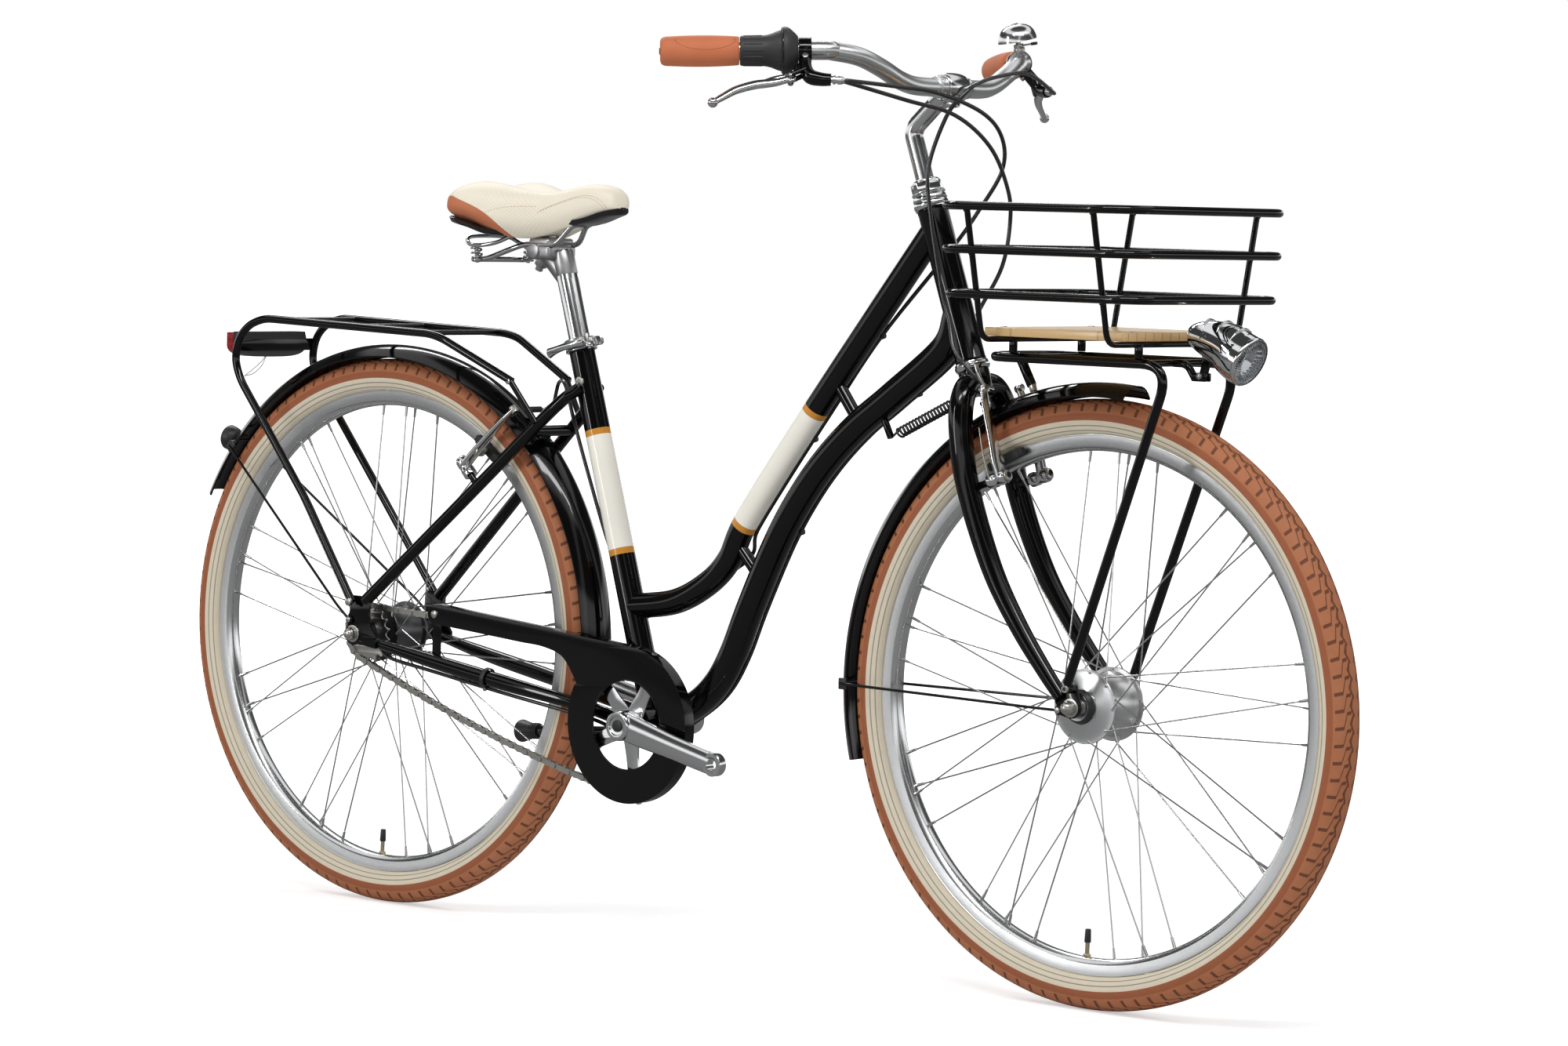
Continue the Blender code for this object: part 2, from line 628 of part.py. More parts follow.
def tyre_profile():
    half = TYRE_WIDTH / 2
    bead = RIM_RADIUS + GAP
    depth = TYRE_RADIUS - bead
    outer = [(bead, 0.0110), (bead + 0.25 * depth, 0.94 * half), (bead + 0.60 * depth, 0.98 * half),
             (TYRE_RADIUS, 0.40 * half)]
    lip = 0.0110 - TYRE_WALL
    hollow = [(bead, -lip), (TYRE_RADIUS - TYRE_WALL, 0.0), (bead, lip)]
    return outer + [(r, -y) for r, y in reversed(outer)] + hollow


def rim_profile():
    half = RIM_WIDTH / 2
    base = RIM_RADIUS - RIM_DEPTH
    outer = [(RIM_RADIUS, half), (RIM_RADIUS - 0.013, half - 0.0004), (base, 0.45 * half)]
    return outer + [(r, -y) for r, y in reversed(outer)]


def hub_profile(flange_radius, flange_half, body_radius, neck_radius, hub_half, bore):
    half = [(bore, hub_half), (neck_radius, hub_half), (neck_radius, flange_half + 0.0040),
            (flange_radius, flange_half), (flange_radius, flange_half - 0.0030), (body_radius, flange_half - 0.0075)]
    return half + [(r, -y) for r, y in reversed(half)]


def spokes(name, hub, side, flange_radius, flange_half, turn):
    """The spokes of one flange: half lean ahead, half lean back, each crossing two others."""
    start_radius = flange_radius + SPOKE_RADIUS + GAP
    end_radius = RIM_RADIUS - RIM_DEPTH - GAP
    step = 2 * math.tau / SPOKES_PER_SIDE
    lean = 1.15 * step
    body = None
    for i in range(SPOKES_PER_SIDE):
        ahead = 1 if i % 2 else -1
        hub_angle = turn + (i // 2) * step + (step / 2 if ahead > 0 else 0)
        rim_angle = hub_angle + ahead * lean
        head = flange_half - (0.0006 if ahead > 0 else 0.0013)
        start = hub + Vector((start_radius * math.cos(hub_angle), side * head, start_radius * math.sin(hub_angle)))
        end = hub + Vector((end_radius * math.cos(rim_angle), side * 0.0030, end_radius * math.sin(rim_angle)))
        wire = rod(f"{name}_{i}", start, end, SPOKE_RADIUS, STEEL if body is None else None, 3)
        if body is None:
            body = wire
            body.name = name
        else:
            join(body, wire)
    return body


def wheel(name, hub, flange_radius, flange_half, hub_body, neck, hub_half, hub_finish):
    half_step = math.pi / WHEEL_STEPS
    flat = 1 / math.cos(half_step)
    pieces = []
    for piece, profile, finish in (("tyre", tyre_profile(), TYRE_RUBBER), ("rim", rim_profile(), POLISHED)):
        stretched = [(r * flat, y) for r, y in profile]
        pieces.append(turned(f"{name}_{piece}", stretched, hub, LEFTWARD, finish, WHEEL_STEPS, half_step))
    profile = hub_profile(flange_radius, flange_half, hub_body, neck, hub_half - 0.006, AXLE_RADIUS + RUNNING_GAP)
    pieces.append(turned(f"{name}_hub", profile, hub, LEFTWARD, hub_finish, 12))
    for label, side in (("left", 1), ("right", -1)):
        pieces.append(spokes(f"{name}_spokes_{label}", hub, side, flange_radius, flange_half,
                             math.radians(10 if side > 0 else 20)))
    return pieces


FRONT_WHEEL = wheel("front", FRONT_HUB, FRONT_FLANGE_RADIUS, FRONT_FLANGE_HALF, 0.036, 0.017, FRONT_HUB_HALF, SATIN)
REAR_WHEEL = wheel("rear", REAR_HUB, REAR_FLANGE_RADIUS, REAR_FLANGE_HALF, 0.031, 0.016, REAR_HUB_HALF, DARK_METAL)
pivot("front_wheel_axis", FRONT_HUB, *FRONT_WHEEL)
pivot("rear_wheel_axis", REAR_HUB, *REAR_WHEEL)


# Axles with their lock nuts inside and acorn nuts outside the dropouts

def axle(name, hub, hub_half, outer_face, length):
    """A threaded axle, stepped from its middle to the nut outside each dropout."""
    cone = hub_half - 0.006 + RUNNING_GAP
    half = [(AXLE_RADIUS, cone), (0.0095, cone), (0.0095, hub_half), (AXLE_RADIUS, hub_half),
            (AXLE_RADIUS, outer_face + GAP), (0.0115, outer_face + GAP), (0.0088, outer_face + 0.0025),
            (0.0088, outer_face + 0.0095), (0, length)]
    profile = [(r, -y) for r, y in reversed(half)] + half
    return turned(name, profile, hub, LEFTWARD, STEEL, 8)


FRONT_AXLE = axle("front_axle", FRONT_HUB, FRONT_HUB_HALF, FORK_DROPOUT_INNER + DROPOUT_THICKNESS, 0.0700)
axle("rear_axle", REAR_HUB, REAR_HUB_HALF, DROPOUT_INNER + DROPOUT_THICKNESS, 0.0870)


# Drive: cranks, chainring, sprocket and chain

RING_RADIUS = CHAIN_PITCH / 2 / math.sin(math.pi / CHAINRING_TEETH)
SPROCKET_RADIUS = CHAIN_PITCH / 2 / math.sin(math.pi / SPROCKET_TEETH)
TOOTH_TIP = -CHAIN_HALF_HEIGHT - GAP
TOOTH_ROOT = -CHAIN_HALF_HEIGHT - 0.0030


def toothed_outline(centre, pitch_radius, teeth):
    outline = []
    for i in range(2 * teeth):
        radius = pitch_radius + (TOOTH_TIP if i % 2 else TOOTH_ROOT)
        angle = math.pi * i / teeth
        outline.append((centre.x + radius * math.cos(angle), centre.z + radius * math.sin(angle)))
    return outline


def crank_arm(name, side, angle, finish):
    """A forged arm from the axle's end to the pedal hole."""
    out = Vector((math.cos(angle), 0, math.sin(angle)))
    start = BRACKET + side * (CRANK_FACE - 0.0085) * LEFTWARD
    tip = BRACKET + CRANK_LENGTH * out + side * (CRANK_TIP_FACE - 0.0065) * LEFTWARD
    path = [start - 0.004 * out, start.lerp(tip, 0.14) + side * 0.0045 * LEFTWARD,
            start.lerp(tip, 0.5) + side * 0.0040 * LEFTWARD, start.lerp(tip, 0.9), tip + 0.008 * out]
    arm = solid_tube(name, path, [0.0085, 0.0098, 0.0085, 0.0082, 0.0065], finish, 8)
    boss = rod(f"{name}_boss", BRACKET + side * (SHELL_HALF + 0.0095) * LEFTWARD, BRACKET + side * CRANK_FACE * LEFTWARD,
               0.0185, None, 12, 0.0160)
    eye_centre = BRACKET + CRANK_LENGTH * out
    eye = rod(f"{name}_eye", eye_centre + side * (CRANK_TIP_FACE - 0.0125) * LEFTWARD,
              eye_centre + side * CRANK_TIP_FACE * LEFTWARD, 0.0145, None, 10)
    hole = rod(f"{name}_pedal_hole", eye_centre + side * 0.050 * LEFTWARD, eye_centre + side * 0.100 * LEFTWARD,
               0.0070, None, 8)
    return cut(join(arm, boss, eye), hole)


def right_crank():
    arm = crank_arm("crank_right", -1, CRANK_ANGLE, POLISHED)
    inner = arc((BRACKET.x, BRACKET.z), RING_RADIUS - 0.022, 360, 0, 16)[:-1]
    outer = arc((BRACKET.x, BRACKET.z), RING_RADIUS + TOOTH_TIP, 0, 360, 28)[:-1]
    ring = side_plate("chainring", outer, RING_THICKNESS, CHAIN_LINE, None, [inner])
    spider_y = CHAIN_LINE - RING_THICKNESS / 2 - 0.0005
    star = []
    for i in range(5):
        middle = CRANK_ANGLE + math.tau * i / 5
        reach = RING_RADIUS - 0.014
        for radius, turn in ((0.020, -math.pi / 5), (reach, -0.10), (reach, 0.10)):
            star.append((BRACKET.x + radius * math.cos(middle + turn), BRACKET.z + radius * math.sin(middle + turn)))
    spider = side_plate("spider", star, 0.0035, spider_y, None)
    axle_room = rod("axle_room", BRACKET - 0.060 * LEFTWARD, BRACKET - 0.030 * LEFTWARD, 0.0085 + GAP, None, 12)
    return cut(join(arm, spider, ring), axle_room)


def left_crank():
    arm = crank_arm("crank_left", 1, CRANK_ANGLE + math.pi, POLISHED)
    spindle = rod("crank_axle", BRACKET - 0.0595 * LEFTWARD, BRACKET + 0.055 * LEFTWARD, 0.0085, None, 12)
    return join(arm, spindle)


def sprocket():
    hole = arc((REAR_HUB.x, REAR_HUB.z), 0.016 + RUNNING_GAP, 360, 0, 20)[:-1]
    return side_plate("rear_sprocket", toothed_outline(REAR_HUB, SPROCKET_RADIUS, SPROCKET_TEETH), RING_THICKNESS,
                      CHAIN_LINE, STEEL, [hole])


RING_ARC_STEPS = 14
BACK_ARC_STEPS = 8
SAG_STEPS = 8


def chain_loop(grow):
    """The chain's path: round the chainring, back along the slack lower run, round the sprocket."""
    line = BRACKET - REAR_HUB
    heading = math.degrees(math.atan2(line.z, line.x))
    splay = math.degrees(math.asin((RING_RADIUS - SPROCKET_RADIUS) / line.length))
    ring_flat = math.cos(math.radians(90 + splay) / RING_ARC_STEPS)
    back_flat = math.cos(math.radians(90 - splay) / BACK_ARC_STEPS)
    ring_arc = arc((BRACKET.x, BRACKET.z), (RING_RADIUS + grow) / ring_flat, heading + 90 + splay,
                   heading - 90 - splay, RING_ARC_STEPS)
    back_arc = arc((REAR_HUB.x, REAR_HUB.z), (SPROCKET_RADIUS + grow) / back_flat, heading + 270 - splay,
                   heading + 90 + splay, BACK_ARC_STEPS)
    lower = []
    for k in range(1, SAG_STEPS):
        share = k / SAG_STEPS
        x = ring_arc[-1][0] + share * (back_arc[0][0] - ring_arc[-1][0])
        z = ring_arc[-1][1] + share * (back_arc[0][1] - ring_arc[-1][1])
        lower.append((x, z - CHAIN_SAG * 4 * share * (1 - share)))
    return ring_arc + lower + back_arc


def chain():
    return side_plate("chain", chain_loop(CHAIN_HALF_HEIGHT), CHAIN_WIDTH, CHAIN_LINE, STEEL,
                      [chain_loop(-CHAIN_HALF_HEIGHT)[::-1]])


CRANK_RIGHT = right_crank()
CRANK_LEFT = left_crank()
pivot("crank_axis", BRACKET, CRANK_RIGHT, CRANK_LEFT)
pivot("sprocket_axis", REAR_HUB, sprocket())
chain()


# Chain guard: a dished disc round the chainring with an arm along the upper run

GUARD_ARM_AHEAD = 0.1305
GUARD_ARM_HEIGHT = 0.0340


def guard_outline(shrink):
    """Disc and arm seen from the right, drawn in by the given amount."""
    centre = (BRACKET.x, BRACKET.z)
    disc = arc(centre, GUARD_RADIUS - shrink, 85, -207, 18)
    end = rear(GUARD_ARM_AHEAD, GUARD_ARM_HEIGHT)
    nose = arc((end.x, end.z), 0.0125 - shrink, 262, 85, 4)
    root = rear(0.3560, -0.0040 + shrink)
    heel = rear(0.3790 + shrink, -0.0330)
    low = rear(0.3230, 0.0065 + shrink)
    return disc + [(heel.x, heel.z), (root.x, root.z), (low.x, low.z)] + nose


def chain_guard():
    hole = arc((BRACKET.x, BRACKET.z), GUARD_HOLE_RADIUS, 360, 0, 16)[:-1]
    slab = side_plate("chain_guard", guard_outline(0), GUARD_DEPTH, GUARD_FACE + GUARD_DEPTH / 2, BLACK_PAINT, [hole])
    hollow = side_plate("guard_hollow", guard_outline(GUARD_WALL), GUARD_DEPTH, GUARD_FACE + GUARD_DEPTH / 2
                        + GUARD_WALL, None)
    room_y = GUARD_FACE + GUARD_WALL + 0.0150
    lower_run = block("lower_run_room", rear(0.3980, -0.1570, room_y), (0.100, 0.0300, 0.0240), None,
                      (0, math.radians(12.5), 0))
    upper_run = block("upper_run_room", rear(GUARD_ARM_AHEAD - 0.010, 0.0300, room_y), (0.060, 0.0300, 0.0180), None)
    cut(slab, hollow, lower_run, upper_run)
    strap = block("guard_strap", rear(GUARD_ARM_AHEAD + 0.002, 0.004, GUARD_FACE + 0.0030), (0.014, 0.0030, 0.066), None)
    boss = rod("guard_boss", rear(GUARD_ARM_AHEAD, GUARD_ARM_HEIGHT, GUARD_FACE - 0.0030),
               rear(GUARD_ARM_AHEAD, GUARD_ARM_HEIGHT, GUARD_FACE + 0.0030), 0.0055, None, 10)
    join(slab, strap, boss)
    stay_room = solid_tube("chain_stay_room", chain_stay_path(-1), CHAIN_STAY_RADIUS + GAP, None, 10)
    return cut(slab, stay_room)


chain_guard()


# Mudguards with their wire stays

def mudguard_shell(name, hub, start, end, finish):
    """A crowned strip round the wheel between two angles, in degrees from ahead of the axle."""
    count = 4
    profile = []
    for k in range(count + 1):
        share = 2 * k / count - 1
        profile.append((MUDGUARD_RADIUS - MUDGUARD_CROWN * share ** 2, MUDGUARD_HALF_WIDTH * share))
    mesh = bpy.data.meshes.new(name)
    mesh.from_pydata([(r, 0, y) for r, y in profile], [(i, i + 1) for i in range(count)], [])
    obj = add(name, mesh, finish)
    obj.location = hub
    screw = obj.modifiers.new("sweep", "SCREW")
    screw.angle = math.radians(end - start)
    screw.steps = MUDGUARD_STEPS
    screw.render_steps = MUDGUARD_STEPS
    screw.use_merge_vertices = True
    screw.merge_threshold = MERGE
    screw.use_smooth_shade = True
    turn = Matrix.Rotation(math.radians(start), 4, "Z")
    obj.rotation_euler = (Matrix.Rotation(math.pi / 2, 4, "X") @ turn).to_euler()
    shell = obj.modifiers.new("wall", "SOLIDIFY")
    shell.thickness = MUDGUARD_WALL
    shell.offset = 0
    return obj


def on_mudguard(hub, angle, inset, side=0.0):
    """A point near the mudguard at the given angle and distance inside its crown."""
    turn = math.radians(angle)
    radius = MUDGUARD_RADIUS - inset
    return hub + Vector((radius * math.cos(turn), side, radius * math.sin(turn)))


def wire_stay(name, hub, angle, foot_x, foot_z, foot_y):
    """One bent wire: from one axle end, over the mudguard, to the other axle end."""
    points = []
    for side in (1, -1):
        foot = hub + Vector((foot_x, side * foot_y, foot_z))
        knee = on_mudguard(hub, angle, 0.030, side * 0.033)
        edge = on_mudguard(hub, angle, 0.006, side * (MUDGUARD_HALF_WIDTH + 0.003))
        straight = foot.lerp(knee, 0.09)
        straight.y = foot.y
        run = [foot, straight, knee, edge, on_mudguard(hub, angle, 0.0016, side * 0.014)]
        points += run if side > 0 else run[::-1]
    return solid_tube(name, points, WIRE_RADIUS, None, 4)


FRONT_MUDGUARD_ENDS = (83.5, 195.0)
REAR_MUDGUARD_ENDS = (1.0, 153.5)
STAY_FOOT_Y = FORK_DROPOUT_INNER + DROPOUT_THICKNESS + WIRE_RADIUS + GAP


def mudguards():
    fore = mudguard_shell("front_mudguard", FRONT_HUB, *FRONT_MUDGUARD_ENDS, BLACK_PAINT)
    fore_stay = wire_stay("front_mudguard_stay", FRONT_HUB, 180.5, *FORK_EYELET, STAY_FOOT_Y)
    crown = steer(0.3880, 0.002)
    tab = rod("front_mudguard_tab", on_mudguard(FRONT_HUB, 117.0, 0.0005), crown, 0.005, None, 8)
    join(fore, fore_stay, tab)
    aft = mudguard_shell("rear_mudguard", REAR_HUB, *REAR_MUDGUARD_ENDS, BLACK_PAINT)
    aft_foot_y = DROPOUT_INNER + DROPOUT_THICKNESS + WIRE_RADIUS + GAP
    aft_stay = wire_stay("rear_mudguard_stay", REAR_HUB, 141.0, -0.0060, 0.0180, aft_foot_y)
    bridge = SEAT_STAY_FOOT.lerp(SEAT_STAY_TOP, 0.80)
    inward = (REAR_HUB - bridge).normalized()
    aft_tab = rod("rear_mudguard_tab", bridge + (0.0070 + GAP) * inward, bridge + 0.026 * inward, 0.005, None, 8)
    join(aft, aft_stay, aft_tab)
    return fore, aft


FRONT_MUDGUARD, REAR_MUDGUARD = mudguards()


# Stem and handlebar

BAR_CENTRE = steer(CLAMP_ALONG, CLAMP_AHEAD)
BAR_SHAPE = [(0.0, 0.000, 0.000), (0.060, -0.003, 0.000), (0.090, -0.006, 0.006), (0.120, -0.010, 0.019),
             (0.150, -0.019, 0.031), (0.1775, -0.0355, 0.0362), (0.1975, -0.0482, 0.0366)]
BAR_END = Vector((-0.179, BAR_HALF_WIDTH, 0.031))


def bar_end(side):
    return BAR_CENTRE + Vector((BAR_END.x, side * BAR_END.y, BAR_END.z))


def bar_heading(side):
    """The direction of the straight grip length, from its end inward."""
    _, last_x, last_z = BAR_SHAPE[-1]
    inner = BAR_CENTRE + Vector((last_x, side * BAR_SHAPE[-1][0], last_z))
    return (inner - bar_end(side)).normalized()


def on_bar(side, distance, reach=0.0):
    """A point at a distance from the bar's end, set off ahead and down by the lever's tilt."""
    heading = bar_heading(side)
    ahead = Vector((side * heading.y, -side * heading.x, 0)).normalized()
    if ahead.x < 0:
        ahead = -ahead
    away = math.cos(LEVER_TILT) * ahead - math.sin(LEVER_TILT) * UPWARD
    return bar_end(side) + distance * heading + reach * away


def lever_axis(side):
    heading = bar_heading(side)
    away = (on_bar(side, 0, 1) - on_bar(side, 0)).normalized()
    return heading.cross(away).normalized()


def stem():
    path = [steer(0.540, 0), steer(STEM_KINK - 0.012, 0), steer(STEM_KINK + 0.004, 0.006),
            BAR_CENTRE - 0.012 * (BAR_CENTRE - steer(STEM_KINK, 0)).normalized()]
    quill = solid_tube("stem", path, [STEM_RADIUS, STEM_RADIUS, STEM_RADIUS, 0.0125], POLISHED, 12)
    ball_profile = [(0, -0.019), (0.0150, -0.019), (0.0178, 0.0), (0.0150, 0.019), (0, 0.019)]
    ball = turned("stem_ball", ball_profile, BAR_CENTRE, LEFTWARD, None, 14)
    bore = rod("bar_room", BAR_CENTRE - 0.05 * LEFTWARD, BAR_CENTRE + 0.05 * LEFTWARD, BAR_SLEEVE_RADIUS + GAP,
               None, 12)
    return cut(join(quill, ball), bore)


def handlebar():
    left = [BAR_CENTRE + Vector((x, y, z)) for y, x, z in BAR_SHAPE]
    left_path = smooth_path(left, 1) + [bar_end(1)]
    right_path = [Vector((p.x, -p.y, p.z)) for p in left_path]
    path = right_path[:0:-1] + left_path
    bar = solid_tube("handlebar", path, BAR_RADIUS, SATIN, 8)
    sleeve = rod("bar_sleeve", BAR_CENTRE - 0.030 * LEFTWARD, BAR_CENTRE + 0.030 * LEFTWARD, BAR_SLEEVE_RADIUS,
                 None, 12)
    return join(bar, sleeve)


def on_bar_sleeve(name, side, start, profile, finish, steps=SLEEVE_STEPS):
    """A turned piece round the grip length; heights run inward from start."""
    return turned(name, profile, on_bar(side, start), bar_heading(side), finish, steps)


def grip(name, side, length):
    bore = SLEEVE_BORE
    profile = [(0, -0.004), (GRIP_RADIUS - 0.003, -0.004), (GRIP_RADIUS, 0.002), (GRIP_RADIUS + 0.0012, 0.45 * length),
               (GRIP_RADIUS - 0.0005, length - 0.002), (GRIP_RADIUS - 0.002, length), (bore, length), (bore, -GAP),
               (0, -GAP)]
    return on_bar_sleeve(name, side, 0, profile, BROWN_GRIP)


SHIFTER_START = GRIP_LENGTH + 0.0010
HOUSING_START = SHIFTER_START + SHIFTER_LENGTH + GAP
CLAMP_START = HOUSING_START + SHIFTER_HOUSING_LENGTH + 0.0010
CLAMP_WIDTH = 0.0150


def shifter():
    bore = SLEEVE_BORE
    profile = [(bore, 0), (0.0165, 0), (0.0175, 0.002), (0.0178, 0.032), (0.0225, 0.043),
               (0.0240, SHIFTER_LENGTH), (bore, SHIFTER_LENGTH)]
    return on_bar_sleeve("twist_shifter", -1, SHIFTER_START, profile, BLACK_PLASTIC)


LEVER_PIVOT_AT = 0.1480
LEVER_PIVOT_REACH = 0.0440
LEVER_PIN_RADIUS = 0.0022
LEVER_SHAPE = [(0.1480, 0.0440, 0.0048), (0.1300, 0.0500, 0.0050), (0.1050, 0.0545, 0.0054), (0.0850, 0.0620, 0.0050),
               (0.0700, 0.0730, 0.0048), (0.0600, 0.0800, 0.0062), (0.0570, 0.0820, 0.0040)]


def lever_body(name, side):
    bore = SLEEVE_BORE
    start = -SHIFTER_HOUSING_LENGTH - 0.0010
    housing = [(bore, start), (0.0265, start), (0.0280, start + 0.004), (0.0265, start + 0.010), (0.0160, 0)]
    profile = (housing if side < 0 else [(bore, 0), (0.0155, 0)]) + [(0.0155, CLAMP_WIDTH), (bore, CLAMP_WIDTH)]
    ring = on_bar_sleeve(name, side, CLAMP_START, profile, BLACK_PAINT)
    middle = CLAMP_START + CLAMP_WIDTH / 2
    neck = solid_tube(f"{name}_neck", [on_bar(side, middle, 0.0135), on_bar(side, middle + 0.001, 0.030),
                                       on_bar(side, middle + 0.007, 0.043), on_bar(side, middle + 0.030, 0.047)],
                      [0.0068, 0.0075, 0.0085, 0.0065], None, 6)
    barrel = rod(f"{name}_barrel", on_bar(side, middle + 0.028, 0.0468), on_bar(side, middle + 0.046, 0.0485), 0.0045,
                 None, 6)
    axis = lever_axis(side)
    hinge = on_bar(side, LEVER_PIVOT_AT, LEVER_PIVOT_REACH)
    top_ear = rod(f"{name}_ear", hinge + 0.0054 * axis, on_bar(side, middle, 0.034) + 0.0054 * axis, 0.0030, None, 6)
    pin = rod(f"{name}_pin", hinge - 0.0075 * axis, hinge + 0.0075 * axis, LEVER_PIN_RADIUS, None, 6)
    return join(ring, neck, barrel, top_ear, pin)


def brake_lever(name, side):
    blade = solid_tube(name, [on_bar(side, at, reach) for at, reach, _ in LEVER_SHAPE],
                       [radius for *_, radius in LEVER_SHAPE], POLISHED, 6)
    axis = lever_axis(side)
    hinge = on_bar(side, LEVER_PIVOT_AT, LEVER_PIVOT_REACH)
    half = 0.0054 - 0.0030 - GAP
    flat_top = rod(f"{name}_top_room", hinge + half * axis, hinge + 0.012 * axis, 0.0110, None, 10)
    eye = rod(f"{name}_eye", hinge - 0.0030 * axis, hinge + (half - 0.0001) * axis, 0.0060, None, 10)
    hole = rod(f"{name}_hole", hinge - 0.010 * axis, hinge + 0.010 * axis, (LEVER_PIN_RADIUS + GAP) / HEX_FLAT, None, 6)
    return cut(join(cut(blade, flat_top), eye), hole)


STEM = stem()
HANDLEBAR = handlebar()
GRIP_RIGHT = grip("grip_right", -1, GRIP_LENGTH)
GRIP_LEFT = grip("grip_left", 1, 0.132)
TWIST_SHIFTER = shifter()
LEVER_BODY_LEFT = lever_body("lever_body_left", 1)
LEVER_BODY_RIGHT = lever_body("lever_body_right", -1)
BRAKE_LEVER_LEFT = brake_lever("brake_lever_left", 1)
BRAKE_LEVER_RIGHT = brake_lever("brake_lever_right", -1)


# Bell: a dome on a short post clamped to the bar, with a striker below the rim

BELL_ROOT = BAR_CENTRE + Vector((-0.04185, 0.1875, 0.0364))
BELL_HEADING = Vector((-0.0127, 0.0200, 0.0004)).normalized()
BELL_FOOT = BELL_ROOT + (BAR_RADIUS + 0.0012) * UPWARD
BELL_AXIS = Vector((-0.10, -0.22, 1.0)).normalized()
BELL_RADIUS = 0.0245
STRIKER_AT = 0.0085


def bell():
    rim = 0.0150
    profile = [(0, 0.0360), (0.0140, 0.0325), (0.0215, 0.0255), (BELL_RADIUS, rim), (BELL_RADIUS - 0.0016, rim),
               (0.0195, 0.0240), (0.0032, 0.0315), (0.0032, STRIKER_AT - 0.0022 - GAP),
               (0.0070, STRIKER_AT - 0.0022 - GAP), (0.0070, 0.0), (0, 0.0)]
    dome = turned("bell", profile, BELL_FOOT, BELL_AXIS, CHROME, 10)
    clamp = rod("bell_clamp", BELL_ROOT - 0.005 * BELL_HEADING, BELL_ROOT + 0.005 * BELL_HEADING, BAR_RADIUS + 0.0028, None, 10)
    room = rod("bell_bar_room", BELL_ROOT - 0.02 * BELL_HEADING, BELL_ROOT + 0.02 * BELL_HEADING, BAR_RADIUS + 3 * GAP,
               None, 10)
    return cut(join(dome, clamp), room)


def striker():
    centre = BELL_FOOT + STRIKER_AT * BELL_AXIS
    out = BELL_AXIS.cross(Vector((0.35, -1.0, 0.0))).normalized()
    hub = turned("bell_striker", [(0.0036, -0.0022), (0.0062, -0.0022), (0.0062, 0.0022), (0.0036, 0.0022)],
                 centre, BELL_AXIS, STEEL, 12)
    arm = rod("striker_arm", centre + 0.0050 * out, centre + 0.0240 * out, 0.0019, None, 8)
    return join(hub, arm)


BELL = bell()
STRIKER = striker()


# Front carrier: one bent tube over the wheel down to the axle, with a bracket to the crown

FRONT_RACK_BEND = front(0.1270, 0.380)
FRONT_RACK_FOOT = front(0.0010, 0.0285)
FRONT_RACK_REAR = front(-0.1330, FRONT_RACK_HEIGHT)
LAMP_HINGE = front(0.1340, 0.3900)
LAMP_BOLT_RADIUS = 0.0025


def rounded_corner(before, corner, after, radius, steps):
    """Points that round a corner between two straight runs."""
    first = corner + radius * (before - corner).normalized()
    last = corner + radius * (after - corner).normalized()
    points = []
    for k in range(steps + 1):
        share = k / steps
        points.append(first.lerp(corner, share).lerp(corner.lerp(last, share), share))
    return points


